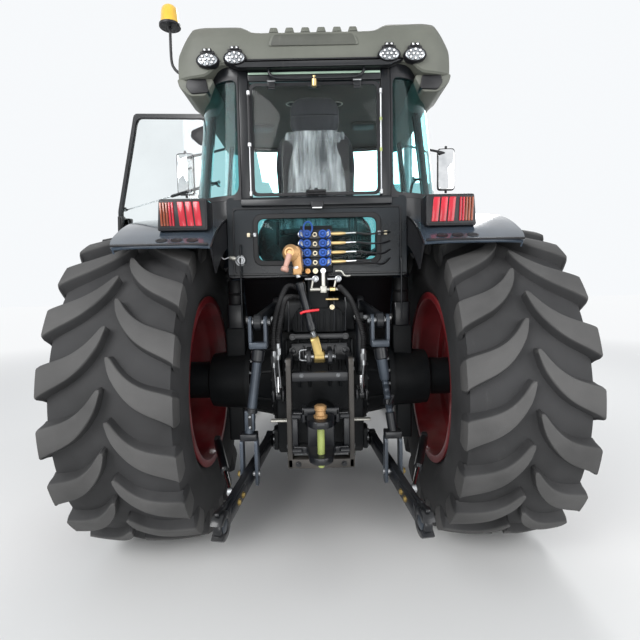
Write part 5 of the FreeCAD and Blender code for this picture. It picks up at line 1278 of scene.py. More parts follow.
def cab_pieces():
    """Cab frame, fixed glass and headliner, with the seat, the controls, the rear window and its struts."""
    make("cab_frame_smooth", cab_frame_form(), "chassis", "frame", "cab_frame")
    make("cab_glass_smooth", cab_glass_form(), "chassis", "glass", "cab_glass")
    make("cab_headliner", headliner_form(), "chassis", "trim")
    seat_pieces()
    make("dashboard_smooth", dashboard_form(), "chassis", "trim", "dashboard")
    make("window_strut_pair", strut_form(), "chassis", "steel", "window_struts")
    make("rear_window_smooth", rear_window_form(), "chassis", "glass", "rear_window")
    make("mirror_pair", both_sides(mirror_form()), "chassis", "trim", "mirrors")


def door_pieces():
    """Doors, door glass and stays. The left door stands open."""
    def swung(form):
        return form.moved(lambda p: about(p, HINGE, HINGE_LINE, DOOR_OPEN))

    for name, form in (("door", door_form()), ("door_glass", door_glass_form())):
        slot = "glass" if "glass" in name else "frame"
        make(f"{name}_smooth_left", swung(form), "door_left", slot, f"{name}_left")
        make(f"{name}_smooth_right", form.mirrored(), "door_right", slot, f"{name}_right")
    for side, swing in (("left", DOOR_OPEN), ("right", 0)):
        barrel, stick = stay_forms(swing)
        if side == "right":
            barrel, stick = barrel.mirrored(), stick.mirrored()
        make(f"stay_barrel_smooth_{side}", barrel, f"stay_barrel_{side}", "steel", f"door_stay_barrel_{side}")
        make(f"stay_rod_smooth_{side}", stick, f"stay_rod_{side}", "steel", f"door_stay_rod_{side}")


# Rear linkage

def lift_arms_form():
    """The rocker shaft with both lift arms: tapered levers with round bosses, and the cylinders' pins."""
    form = Form()
    y, z = at("hitch_lift")[1:]
    tip = at("lift_rod_right")
    form.add(bar((-276, y, z), (276, y, z), 34, 32), "chassis black")
    for s in (-1, 1):
        form.add(bar((s * 232, y, z), (s * 276, y, z), 69, 40, 6), "chassis black")
        form.add(bar((s * 270, y, z), (s * 282, y, z), 40, 32, 3), "cast black")
        side = unit(np.array([1.0, 0.05 * s, 0.0]))
        arm = lever((s * 252, y, z), (s * tip[0], tip[1], tip[2]), 52, 38, 34, side, 8)
        form.add(arm, "chassis black")
        form.add(bar((s * (tip[0] - 20), tip[1], tip[2]), (s * (tip[0] + 20), tip[1], tip[2]), 41, 32, 5), "chassis black")
        pin_y, pin_z = at("cylinder_barrels")[1:]
        form.add(bar((s * 216, pin_y, pin_z), (s * 274, pin_y, pin_z), 15, 24, 2), "zinc")
    return form


def lift_rod_form(s):
    """A lift rod: fork, collar, tube or threaded rod, slotted foot and pins. The right one carries a crank box."""
    form = Form()
    x, y, z = at("lift_rod_right") * (s, 1, 1)
    low = at("lower_link_right")
    share = (-690.0 - low[1]) / (-1130.0 - low[1])
    foot = np.array([s * (low[0] + (432 - low[0]) * share), -690.0, low[2] + (565 - low[2]) * share])
    top = np.array([x, y, z])
    for d in (-39, 39):
        ring = rounded([(y - 34, z - 112), (y - 30, z + 20), (y, z + 36), (y + 30, z + 20), (y + 34, z - 112)], 22, 5)
        form.add(slab(ring, x + d - 9, x + d + 9, "x", 4), "blue steel")
    form.add(block(x - 48, x + 48, y - 34, y + 34, z - 136, z - 100, 8, 12), "blue steel")
    form.add(bar((x - 52, y, z), (x + 52, y, z), 14, 24, 2), "zinc")
    bolt(form, (x - s * 52, y, z), (-s, 0, 0), 16, 12)
    start, end = top - (0, 0, 134), foot + (0, 0, 212)
    run = end - start
    blue = "blue steel" if s < 0 else "chassis black"
    form.add(turned([(0, 26), (10, 34), (62, 34), (72, 27)], start, run, 28), "chassis black")
    if s < 0:
        form.add(bar(start + run * 0.1, start + run * 0.72, 24, 28, 3), "blue steel")
        form.add(bar(start + run * 0.70, start + run * 0.76, 31, 28, 4), "chassis black")
        form.add(block(*[v for pair in zip((start + run * 0.9)[:2] - (26, 20), (start + run * 0.9)[:2] + (26, 20))
                         for v in pair], (start + run * 0.74)[2] - 100, (start + run * 0.74)[2] + 8, 5, 8), "blue steel")
        spot = start + run * 0.845
        form.add(slab(rounded([(spot[0] - 9, spot[2] - 46), (spot[0] + 9, spot[2] - 46), (spot[0] + 9, spot[2] + 46),
                               (spot[0] - 9, spot[2] + 46)], 9, 5), spot[1] - 26, spot[1] - 18, "y", 2), "soft black rubber")
        for dz in (-30, 24):
            form.add(bar(spot + (0, -29, dz), spot + (0, -20, dz), 6, 14, 1), "zinc")
    else:
        form.add(turned([(0, 33), (34, 33), (60, 28), (150, 25), (160, 20)], start + run * 0.04, run, 28), "blue steel")
        thread = np.linspace(0, 1, 90)
        path = start + run * (0.35 + 0.5 * thread[:, None])
        form.add(tube(path, 17 + 1.6 * np.sin(thread * 260), 18), "blue steel")
        form.add(bar(start + run * 0.62, start + run * 0.68, 27, 6, 3), "chassis black")
        form.add(bar(start + run * 0.68 + (0, -20, 0), start + run * 0.55 + (20, -66, 0), 8, 14, 1), "chassis black")
    form.add(bar(start + run * 0.78, end, 24, 24, 3), blue)
    for d in (-37, 37):
        fx, fy, fz = foot + (d, 0, 0)
        outer = rounded([(fy - 34, fz - 60), (fy + 34, fz - 60), (fy + 34, fz + 188), (fy - 34, fz + 188)], 26, 5)
        inner = np.array([foot[1:] + p for p in ((-1, -1), (1, -1), (1, 1), (-1, 1))]) + \
            np.array([(-17, -20), (17, -20), (17, 20), (-17, 20)])
        inner = rounded(inner, 17, 5)
        form.add(ring_band(outer, inner, fx - 8, fx + 8, "x", 2), "blue steel", loop=True, ends=False)
    form.add(block(foot[0] - 44, foot[0] + 44, foot[1] - 34, foot[1] + 34, foot[2] + 180, foot[2] + 216, 5, 9),
             "chassis black")
    return form


def lower_link_form(s):
    """A lower link: a deep bar with a ball eye, the lift rod's pin, stabiliser lugs and a claw with its catch."""
    form = Form()
    p = at("lower_link_right") * (s, 1, 1)
    end = np.array([s * 432.0, -1130.0, p[2] - 75])
    run = end - p
    along = unit(run)
    side = unit(np.cross(along, np.cross(np.array([1.0, 0, 0]), along)))
    form.add(lever(p, end, 40, 46, 36, side, 6), "chassis black")
    for k, w in ((0.24, 32), (0.78, 34)):
        form.add(lever(p + run * (k - 0.10), p + run * (k + 0.10), w, w, 46, side, 7), "chassis black")
    front, back = p + (s * 322, 0, 0), p + run * 0.70 + (s * 44, 0, 4)
    form.add(bar(front + (back - front) * 0.06, front + (back - front) * 0.66, 23, 28, 5), "chassis black")
    form.add(bar(front + (back - front) * 0.64, back, 12, 18, 2), "chrome")
    form.add(turned([(-16, 20), (-12, 25), (12, 25), (16, 20)], front, (1, 0, 0), 28), "chassis black")
    form.add(bar(p + run * 0.70, back + (s * 18, 0, 0), 11, 20, 3), "chassis black")
    form.add(turned([(-14, 15), (-10, 19), (10, 19), (14, 15)], back, (1, 0, 0), 24), "zinc")
    form.add(turned([(-22, 40), (-18, 48), (18, 48), (22, 40)], p, side, 36), "chassis black")
    form.add(turned([(-24, 22), (-20, 34), (20, 34), (24, 22)], p, side, 28), "zinc")
    claw = np.radians(np.linspace(35, 330, 26))
    outer = np.stack([62 * np.cos(claw), 62 * np.sin(claw)], -1)
    inner = np.stack([30 * np.cos(claw[::-1]), 30 * np.sin(claw[::-1])], -1)
    hook = np.concatenate([outer, inner])
    form.add(placed(slab(hook, -26, 26, "z", 4), end, along, side), "chassis black")
    form.add(turned([(-25, 20), (-22, 29), (22, 29), (25, 20)], end, side, 32), "blue steel")
    form.add(lever(end + along * -60 + (0, 0, 52), end + along * 30 + (0, 0, 66), 12, 8, 20, side, 3), "chassis black")
    form.add(lever(end + along * -150 + (0, 0, 40), end + along * -40 + (0, 0, 58), 9, 12, 12, side, 3), "chassis black")
    for k in range(2):
        spot = p + run * (0.72 + 0.07 * k)
        bolt(form, spot + side * 23, side, 12, 10, "yellow zinc")
        bolt(form, spot - side * 23, -side, 12, 10, "yellow zinc")
    share = (-690.0 - p[1]) / run[1]
    foot = p + run * share
    form.add(bar(foot - (52, 0, 0), foot + (52, 0, 0), 14, 24, 2), "zinc")
    bolt(form, foot + (s * 52, 0, 0), (s, 0, 0), 15, 12, "yellow zinc")
    return form


def linkage():
    """Lift arms, lift rods, lower links, cylinders and the top link."""
    make("lift_arm_pair", lift_arms_form(), "lift_arms", "casting", "lift_arms")
    for side, s in (("left", -1), ("right", 1)):
        make(f"lift_rod_smooth_{side}", lift_rod_form(s), f"lift_rod_{side}", "frame", f"lift_rod_{side}")
        make(f"lower_link_smooth_{side}", lower_link_form(s), f"lower_link_{side}", "frame", f"lower_link_{side}")
    head = at("cylinder_barrels") * (0, 1, 1)
    foot = np.array([0.0, -440.0, REAR_RADIUS * 1000 - 6])
    run = unit(head - foot)
    barrels, rods = Form(), Form()
    for x in (-235, 235):
        a = head + (x, 0, 0)
        barrels.add(turned([(25, 24), (29, 27), (318, 27), (325, 22)], a, -run, 32), "chassis black")
        barrels.add(turned([(300, 29), (304, 30.5), (321, 30.5), (325, 26)], a, -run, 32), "cast black")
        barrels.add(turned([(-15, 29), (-12, 32), (12, 32), (15, 29)], a, (1, 0, 0), 32), "chassis black")
        barrels.add(bar(a - run * 60 + (0, -24, 0), a - run * 60 + (0, -44, 0), 9, 16), "zinc")
        b = foot + (x, 0, 0)
        rods.add(bar(b + run * 12, b + run * 280, 15.8, 32), "chrome")
        rods.add(turned([(-15, 23), (-12, 26), (12, 26), (15, 23)], b, (1, 0, 0), 32), "chassis black")
    make("cylinder_barrels_smooth", barrels, "lift_cylinder_barrels", "frame", "lift_cylinder_barrels")
    make("cylinder_rods_smooth", rods, "lift_cylinder_rods", "steel", "lift_cylinder_rods")
    make("top_link_smooth", top_link_form(), "top_link", "frame", "top_link")


def top_link_form():
    """The top link standing in its rest: a clevis, a turnbuckle tube with a red handle, and a hook end."""
    form = Form()
    low = at("top_link") * (0, 1, 1)
    run = np.array([-132.0, 22.0, 540.0])
    along = unit(run)
    form.add(bar(low + (-30, 0, 0), low + (30, 0, 0), 34, 32, 5), "yellow zinc")
    form.add(lever(low, low + along * 90, 32, 24, 48, (1, 0, 0), 5), "yellow zinc")
    thread = np.linspace(0, 1, 50)[:, None]
    form.add(tube(low + run * (0.16 + 0.12 * thread), 15 + 1.4 * np.sin(thread[:, 0] * 120), 16), "zinc")
    form.add(turned([(0, 20), (6, 26), (40, 26), (52, 22), (230, 22), (242, 27), (268, 27), (274, 20)],
                    low + run * 0.26, along, 28), "chassis black")
    grip = low + run * 0.45
    form.add(hose([grip + (-38, -28, -4), grip + (-20, -34, 4), grip + (20, -36, 10), grip + (62, -30, 14)], 7), "handle red")
    form.add(turned([(0, 14), (40, 14), (44, 24), (60, 24)], low + run * 0.80, along, 24), "zinc")
    end = low + run * 0.95
    face_side = unit(np.array([-0.25, -1.0, 0.1]))
    form.add(turned([(-26, 36), (-20, 44), (14, 46), (22, 38), (28, 30)], end + (-16, 0, 52), face_side, 36), "tan cast")
    form.add(turned([(26, 30), (32, 32), (38, 26), (38, 18), (30, 14)], end + (-16, 0, 52), face_side, 30), "tan cast")
    form.add(lever(end + (10, 0, 60), end + (22, 0, -34), 30, 24, 40, face_side, 7), "tan cast")
    form.add(block(end[0] - 10, end[0] + 40, end[1] - 26, end[1] + 24, end[2] - 66, end[2] - 30, 6, 10), "tan cast")
    form.add(turned([(0, 14), (8, 16), (70, 13), (74, 20), (92, 22), (98, 16)], end + (-24, -36, 44),
                    (-0.32, -0.15, -1), 20), "pink pin")
    return form


# The ladder, clevis and what is fixed behind the transmission

def ladder_form():
    """The pick-up ladder: two plates with rows of holes drawn as dark rimmed discs of painted shade, cross members with
    bolts and ties forward.
    """
    form = Form()
    y0, low, high = -660.0, span("hitch_ladder")[0][2], span("hitch_ladder")[1][2]
    for s in (-1, 1):
        ring = rounded([(y0, low), (y0 + 60, low), (y0 + 60, high), (y0 + 14, high), (y0, high - 30)], 8, 3)
        form.add(slab(ring, s * 163 - 13, s * 163 + 13, "x", 2.5), "ladder steel")
        for k in range(7):
            # each hole is a dark disc on both faces of the plate: painted shade in the hole
            z = low + 70 + 74 * k
            form.add(turned([(0, 14), (1.2, 14), (1.2, 9)], (s * 149, y0 + 38, z), (-s, 0, 0), 20), "cast black")
            form.add(turned([(0, 14), (1.2, 14), (1.2, 9)], (s * 177, y0 + 38, z), (s, 0, 0), 20), "cast black")
        for z in (low + 20, high - 90):
            ring = rounded([(y0 + 58, z), (-360, z), (-360, z + 90), (y0 + 58, z + 90)], 8, 3)
            form.add(slab(ring, s * 163 - 13, s * 163 + 13, "x", 2.5), "chassis black")
            for dz in (22, 68):
                bolt(form, (s * 176, y0 + 92, z + dz), (s, 0, 0), 12, 10)
    form.add(block(-176, 176, y0, y0 + 60, low, low + 50, 4, 6), "ladder steel")
    form.add(block(-150, 150, y0 + 22, y0 + 62, 1068, 1116, 4, 6), "chassis black")
    for x in (-96, 96):
        bolt(form, (x, y0 + 22, 1100), (0, -1, 0), 8, 8)
    for x in (-120, 120):
        bolt(form, (x, y0, low + 25), (0, -1, 0), 11, 9, "chassis black")
    return form


def clevis_form():
    """The tow clevis: two jaws with rounded lips, a web, the pin with its ring handle and side locking pins."""
    form = Form()
    y0 = -660.0
    low, high = span("tow_clevis")[0][2] + 40, span("tow_clevis")[0][2] + 220
    for z, half, tip in ((high, 74, 196), (low, 70, 190)):
        ring = rounded([(-149, y0 + 48), (149, y0 + 48), (149, y0 - 18), (half, y0 - 30), (half - 12, y0 - tip + 40),
                        (half - 44, y0 - tip), (-half + 44, y0 - tip), (-half + 12, y0 - tip + 40), (-half, y0 - 30),
                        (-149, y0 - 18)], 16, 4)
        form.add(slab(ring, z, z + 36, "z", 5), "chassis black")
    form.add(block(-70, 70, y0 - 20, y0 + 40, low, high + 36, 5, 9), "chassis black")
    for s in (-1, 1):
        form.add(block(s * 118, s * 149, y0 - 16, y0 + 46, low + 34, high + 2, 4, 6), "chassis black")
        for z in (low + 18, high + 18):
            form.add(bar((s * 100, y0 - 30, z), (s * 148, y0 - 30, z), 13, 20, 2), "chassis black")
    pin_y = y0 - 120
    form.add(turned([(0, 12), (10, 18), (60, 18), (232, 18), (238, 14)], (0, pin_y, low - 34), (0, 0, 1), 24), "marker green")
    form.add(turned([(0, 30), (6, 34), (16, 34), (20, 26), (40, 24), (44, 30), (62, 30), (68, 22)],
                    (0, pin_y, high + 34), (0, 0, 1), 28), "tan cast")
    for s in (-1, 1):
        form.add(block(s * 74, s * 96, y0 - 62, y0 + 30, high - 6, high + 66, 6, 9), "chassis black")
    form.add(block(-96, 96, y0 - 62, y0 - 40, high + 30, high + 70, 6, 9), "chassis black")
    return form


def brackets_form():
    """Brackets for the top link, the lift cylinders' feet and the lower links' pivots."""
    form = Form()
    ty, tz = at("top_link")[1:]
    for s in (-1, 1):
        ring = rounded([(ty - 40, tz - 30), (ty - 20, tz - 45), (-382, tz - 45), (-382, tz + 40), (ty - 20, tz + 40),
                        (ty - 40, tz + 20)], 16, 4)
        form.add(slab(ring, s * 58 - 12, s * 58 + 12, "x", 3), "chassis black")
        fz = REAR_RADIUS * 1000 - 6
        for x in (208, 262):
            ring = rounded([(-470, fz - 35), (-360, fz - 35), (-360, fz + 35), (-470, fz + 35)], 20, 5)
            form.add(slab(ring, s * x - 6, s * x + 6, "x", 2), "chassis black")
        form.add(block(s * 202, s * 268, -376, -360, fz - 35, fz + 35, 3), "chassis black")
        py, pz = at("lower_link_right")[1:]
        ring = rounded([(py - 60, pz - 55), (py + 60, pz - 55), (py + 60, pz + 75), (py - 60, pz + 75)], 24, 5)
        form.add(slab(ring, s * 267.5 - 12.5, s * 267.5 + 12.5, "x", 4), "cast black")
        form.add(bar((s * 270, py, pz), (s * 344, py, pz), 18.5, 28, 3), "zinc")
        for dy, dz in ((-38, 55), (38, 55), (-38, -35), (38, -35)):
            bolt(form, (s * 280, py + dy, pz + dz), (s, 0, 0), 12, 9)
    form.add(block(-70, 70, -400, -382, tz - 45, tz + 40, 4, 6), "chassis black")
    form.add(bar((-80, ty, tz), (80, ty, tz), 12.5, 24, 2), "zinc")
    bolt(form, (80, ty, tz), (1, 0, 0), 14, 10)
    return form


def valve_form():
    """The remote valves: a block with two rows of four couplers under blue caps, elbows, pipes and cable ends."""
    form = Form()
    face = -420.0
    form.add(block(-95, 85, face, -300, 1640, 1900, 6, 10), "cast black")
    form.add(block(-60, 60, -390, -290, 1302, 1645, 6, 10), "cast black")
    for k in range(4):
        z = 1850 - 51 * k
        form.add(block(-92, 82, face - 10, face + 2, z - 25, z + 25, 4, 5), "chassis black")
        for x in (-56, 30):
            form.add(turned([(0, 20), (5, 22.5), (32, 22.5), (36, 19), (36, 13), (24, 11)], (x, face - 8, z), (0, -1, 0), 28),
                     "blue cap")
            form.add(turned([(0, 9), (40, 9), (43, 6)], (x, face - 8, z), (0, -1, 0), 20), "blue cap")
            way = -1 if x < 0 else 1
            form.add(hose([(x + 18 * way, face - 34, z + 6), (x + 34 * way, face - 46, z + 18), (x + 40 * way, face - 40, z - 6),
                           (x + 20 * way, face - 20, z - 22)], 4), "blue cap")
            form.add(turned([(0, 17), (9, 17), (11, 13)], (x + 34 * way, face - 8, z), (0, -1, 0), 8), "zinc")
        form.add(turned([(0, 13), (14, 13), (16, 9)], (-13, face - 8, z - 2), (0, -1, 0), 20), "cream port")
        form.add(turned([(15, 7), (18, 7)], (-13, face - 8, z - 2), (0, -1, 0), 14), "trim black")
    a = np.linspace(0, 2 * np.pi, 33)
    big = np.stack([-50 + 24 * np.cos(a), face - 30 + 8 * np.sin(a), 1884 + 34 * np.sin(a)], -1)
    form.add(tube(big, 4.5, 10), "blue cap", ends=False)
    for x, finish in ((-56, "orange port"), (-13, "cream port"), (30, "lamp white")):
        form.add(turned([(0, 15), (16, 15), (18, 11), (18, 6), (10, 5)], (x, face - 8, 1648), (0, -1, 0), 20), finish)
    for k, z in enumerate((1850, 1799, 1748, 1697)):
        form.add(turned([(0, 7), (8, 10), (60, 10), (84, 6)], (74, face - 22, z), (1, 0, 0.02), 16), "brass")
        form.add(bar((150, face - 22, z + 2), (215, face - 20, z + 4), 4.5, 10, 1), "chrome")
        form.add(hose([(215, face - 20, z + 4), (290, face - 10, z - 4), (370, face + 40, z + 10 - 8 * k),
                       (430, -262, z + 24)], 5), "trim black")
    form.add(bar((30, -434, 1650), (30, -446, 1560), 11, 16, 2), "pale steel pipe")
    form.add(bar((-46, -450, 1545), (30, -450, 1545), 9, 16, 2), "pale steel pipe")
    form.add(block(12, 48, -466, -432, 1526, 1564, 4, 7), "pale steel pipe")
    form.add(bar((40, -450, 1545), (128, -450, 1545), 8, 16, 2), "pale steel pipe")
    form.add(bar((64, -450, 1545), (96, -450, 1545), 14, 6, 2), "brass")
    for x, z in ((-34, 1604), (92, 1602)):
        form.add(bar((x - 40, -446, z), (x + 16, -446, z), 7, 14, 2), "zinc")
        form.add(turned([(0, 18), (18, 18), (20, 13), (12, 10)], (x + 20, -436, z), (0, -1, 0), 24), "zinc")
        form.add(bar((x + 8, -446, z), (x - 4, -446, z - 56), 6, 12, 2), "pale steel pipe")
    form.add(hose([(98, -440, 1646), (130, -440, 1644), (150, -436, 1620), (180, -430, 1618)], 5), "pale steel pipe")
    form.add(bar((40, -452, 1490), (112, -452, 1490), 6.5, 14, 2), "brass")
    form.add(turned([(0, 14), (16, 14), (18, 10), (10, 8)], (76, -446, 1446), (0, -1, 0), 20), "cream port")
    for x in (-172, -98, 86, 150):
        form.add(tube(smooth([(x, -424, 1500), (x + 4, -430, 1440), (x, -424, 1310)]), 5.5, 10), "chassis black")
    for x, mid, end in ((-168, -236, (-245, -560, 1222)), (-150, -206, (-222, -556, 1262)), (124, 214, (236, -560, 1226))):
        start = (x + 60 if x < 0 else x, -450, 1556 if x < -160 else 1545 if x > 0 else 1500)
        top = hose([start, (x, -470, start[2] + 8), (x + (mid - x) * 0.55, -520, 1490), (mid, -548, 1380), (end[0], -560, 1300),
                    end], 15, 0.13)
        form.add(top, "soft black rubber")
        nut(form, end, (end[0], end[1], end[2] - 90), 17)
        form.add(bar((end[0], end[1] + 4, end[2] - 86), (end[0] * 0.97, -520, end[2] - 250), 6, 14), "zinc")
    cover = rounded([(-150, 1300), (150, 1300), (160, 1360), (120, 1440), (-120, 1440), (-160, 1360)], 26, 5)
    form.add(slab(cover, -402, -330, "y", 8), "cast black")
    for k in range(9):
        form.add(block(-128 + 32 * k - 5, -128 + 32 * k + 5, -410, -396, 1316, 1424, 3), "cast black")
    form.add(block(-168, 168, -420, -372, 1262, 1296, 5, 8), "chassis black")
    form.add(block(-164, 164, -404, -384, 1140, 1240, 6, 10), "chassis black")
    for s in (-1, 1):
        bolt(form, (s * 148, -404, 1196), (0, -1, 0), 18, 14, "chassis black")
        form.add(block(s * 84, s * 96, -440, -400, 1130, 1226, 4), "chassis black")
        form.add(block(s * 180, s * 288, -428, -392, 789, 801, 3, 8), "pale steel pipe")
    form.add(tube(smooth([(-44, -452, 1210), (-104, -456, 1206), (-110, -456, 1180), (-104, -456, 1152), (-44, -452, 1148)], 6),
                  6, 12), "zinc")
    for x in (-150, 150):
        bolt(form, (x, -420, 1279), (0, -1, 0), 13, 10, "chassis black")
    return form


def hitch():
    """Ladder, clevis, brackets and valves."""
    make("ladder_smooth", ladder_form(), "chassis", "frame", "hitch_ladder")
    make("clevis_smooth", clevis_form(), "chassis", "frame", "tow_clevis")
    make("brackets_smooth", brackets_form(), "chassis", "frame", "hitch_brackets")
    make("valves_smooth", valve_form(), "chassis", "casting", "valve_block")


# Front body

def bonnet_arch(y, inset):
    """The bonnet's outline at a distance y as (x, z), open below.

    Straight sides, two quarter ellipses 96 wide and 84 high, and between them a crown that rises 10 by a parabola."""
    half = 440 - 70 * (y - 1410) / 2060 - inset
    top = 2118 - 220 * (y - 1410) / 2010 - inset
    a = np.linspace(0, np.pi / 2, 9)
    corner = np.stack([-(half - 96) - 96 * np.cos(a), top - 94 + 84 * np.sin(a)], -1)
    x = np.linspace(-(half - 96), half - 96, 13)[1:-1]
    crown = np.stack([x, top - 10 * (x / (half - 96)) ** 2], -1)
    low = np.array([[-half, 1400], [-half, 1404 + inset]])
    return np.concatenate([low, corner, crown, (corner * (-1, 1))[::-1], (low * (-1, 1))[::-1]])


def oblong(x, z, wide, high, power=6.0, count=96):
    """A closed outline (x, z) about a point: a superellipse of a half width, a half height and a power."""
    a = np.linspace(0, 2 * np.pi, count, endpoint=False) + np.pi / 4
    rho = (np.abs(np.cos(a)) ** power + np.abs(np.sin(a)) ** power) ** (1 / power)
    return np.stack([x + wide * np.cos(a) / rho, z + high * np.sin(a) / rho], -1)


def nose_face(outer, inner, start, rows=14):
    """The nose between two outlines: they blend by 1 - cos t while the depth grows by sin t to the sloping face."""
    t = np.linspace(0, np.pi / 2, rows)[:, None, None]
    plan = outer + (inner - outer) * (1 - np.cos(t))
    face = 3554 - 0.09 * (plan[..., 1:] - 1460)
    y = start + (face - start) * np.sin(t)
    skin = np.concatenate([plan[..., :1], y, plan[..., 1:]], -1)
    lip = skin[-1][None] + np.array([(0, -4, 0), (0, -40, 0)])[:, None]
    return np.concatenate([skin, lip])


def bonnet_form():
    """The bonnet: a crowned shell, a rounded nose, a slatted grille, lamps, louvres, seams and hinge ears."""
    form = Form()
    stations = np.concatenate([[1410, 1416], np.linspace(1460, 3400, 24), [3412]])
    shell = [np.concatenate([bonnet_arch(y, 4 if y == 1410 else 0), bonnet_arch(y, 12)[::-1]]) for y in stations]
    shell = np.stack(shell)
    depth = np.broadcast_to(stations[:, None, None], shell.shape[:2] + (1,))
    form.add(np.concatenate([shell[..., :1], depth, shell[..., 1:]], -1), "bonnet red")
    outer, inner = oblong(0, 1648, 371, 243, 9.0, 160), oblong(0, 1630, 216, 122, 14.0, 160)
    form.add(nose_face(outer, inner, 3418), "bonnet red", ends=False)
    form.add(ring_band(outer * (0.985, 0.985) + (0, 24), outer * (0.9, 0.9) + (0, 165), 3408, 3420, "y", 2), "trim black",
             loop=True, ends=False)
    form.add(slab(oblong(0, 1630, 222, 128, 12.0), 3478, 3488, "y", 3), "trim black")
    for k in range(7):
        z = 1510 + 240 * (k + 0.5) / 7
        form.add(beam((-214, 3522 - k, z), (214, 3522 - k, z), 11, 26, 4, (0, 1, 0.25)), "chassis black")
    for x in np.linspace(-204, 204, 35):
        form.add(block(x - 1.5, x + 1.5, 3494, 3500, 1512, 1748, 1), "soft black rubber")
    form.add(block(-15, 15, 3488, 3540, 1510, 1750, 5), "chassis black")
    for s in (-1, 1):
        ring = oblong(s * 262, 1706, 38, 52, 5.0)
        form.add(ring_band(ring, oblong(s * 262, 1706, 31, 45, 5.0), 3490, 3546, "y", 3), "trim black", loop=True, ends=False)
        lens = np.stack([oblong(s * 262, 1706, 31 * k, 45 * k, 5.0) for k in (1, 1, 0.92, 0.6, 0.2)])
        level = np.broadcast_to(np.array([3500, 3534, 3541, 3546, 3548.0])[:, None, None], lens.shape[:2] + (1,))
        form.add(np.concatenate([lens[..., :1], level, lens[..., 1:]], -1), "clear lens")
        form.add(block(s * 250, s * 274, 3494, 3500, 1690, 1722, 3), "reflector")
        form.add(block(s * 188, s * 212, 1412, 1470, 2040, 2090, 5), "chassis black")
        form.add(turned([(0, 18), (12, 18)], (s * 200 - 6, 1425, 2060), (1, 0, 0), 24), "chassis black")
    side = Form()
    side.add(slab(rounded([(2680, 1505), (3182, 1505), (3182, 1745), (2680, 1760)], 40, 6), 432, 441.5, "x", 3), "trim black")
    for k in range(9):
        y = 2710 + 54 * k
        side.add(slab(rounded([(y - 6, 1528), (y + 28, 1528), (y + 28, 1732), (y - 6, 1732)], 8, 4), 436, 446, "x", 3), "bonnet red")
        side.add(slab(rounded([(y, 1538), (y + 17, 1538), (y + 17, 1722), (y, 1722)], 6, 4), 440, 447, "x", 1.5), "soft black rubber")
    side.add(slab(rounded([(1424, 1404), (3396, 1404), (3396, 1430), (1424, 1430)], 6, 3), 434, 443, "x", 3), "trim black")
    for y in (1436, 2500):
        side.add(slab([(y, 1404), (y + 5, 1404), (y + 5, 1960), (y, 1960)], 436, 441, "x", 1), "soft black rubber")
    side.add(slab(rounded([(1900, 1500), (1990, 1500), (1990, 1540), (1900, 1540)], 12, 4), 438, 449, "x", 3), "chassis black")
    side.add(slab(rounded([(1500, 1640), (2440, 1640), (2400, 1668), (1500, 1668)], 10, 4), 438, 444, "x", 2), "trim black")
    form.take(both_sides(side.moved(lambda p: p - np.stack([70 * (p[:, 1] - 1410) / 2060, 0 * p[:, 1], 0 * p[:, 1]], -1))))
    return form


def exhaust_form():
    """The exhaust: a bent feed, a silencer with rings and slots, and a curved tail."""
    form = Form()
    feed = smooth([(238, 1540, 1320), (500, 1540, 1320), (770, 1540, 1320), (842, 1526, 1320), (868, 1482, 1320),
                   (870, 1424, 1324), (870, 1372, 1346), (870, 1347, 1404), (870, 1345, 1500), (870, 1345, 1712)], 6)
    form.add(tube(feed, 40, 28), "zinc")
    form.add(turned([(0, 66), (12, 66), (12, 41)], (236, 1540, 1320), (1, 0, 0), 32), "cast black")
    form.add(turned([(0, 42), (14, 68), (34, 86), (44, 90), (606, 90), (616, 86), (636, 68), (650, 42)], (870, 1345, 1700),
                    (0, 0, 1), 48), "chassis black")
    for z in (1750, 2270):
        form.add(turned([(0, 92), (3, 96), (21, 96), (24, 92)], (870, 1345, z), (0, 0, 1), 48), "zinc", ends=False)
        form.add(block(952, 974, 1333, 1357, z + 3, z + 21, 3), "zinc")
    for k in range(88):
        a = 2 * np.pi * (k % 8) / 8 + (k // 8 % 2) * np.pi / 8
        x, y, z = 870 + 88.5 * math.cos(a), 1345 + 88.5 * math.sin(a), 1812 + 38 * (k // 8)
        form.add(bar((x, y, z - 13), (x, y, z + 13), 4.5, 10, 2), "soft black rubber")
    tail = smooth([(870, 1345, 2345), (870, 1345, 2500), (870, 1345, 2760), (870, 1345, 2920), (870, 1350, 2974),
                   (870, 1372, 3010), (870, 1404, 3032)], 6)
    form.add(tube(tail, 40, 28), "zinc")
    # a black disc closes the tail's mouth: the soot in it, and painted shade inside the pipe
    form.add(turned([(0, 36), (3, 35)], (870, 1401, 3030.5), (0, 0.83, 0.56), 28), "soft black rubber")
    form.add(turned([(0, 44), (22, 44)], (870, 1345, 2352), (0, 0, 1), 32), "zinc")
    return form


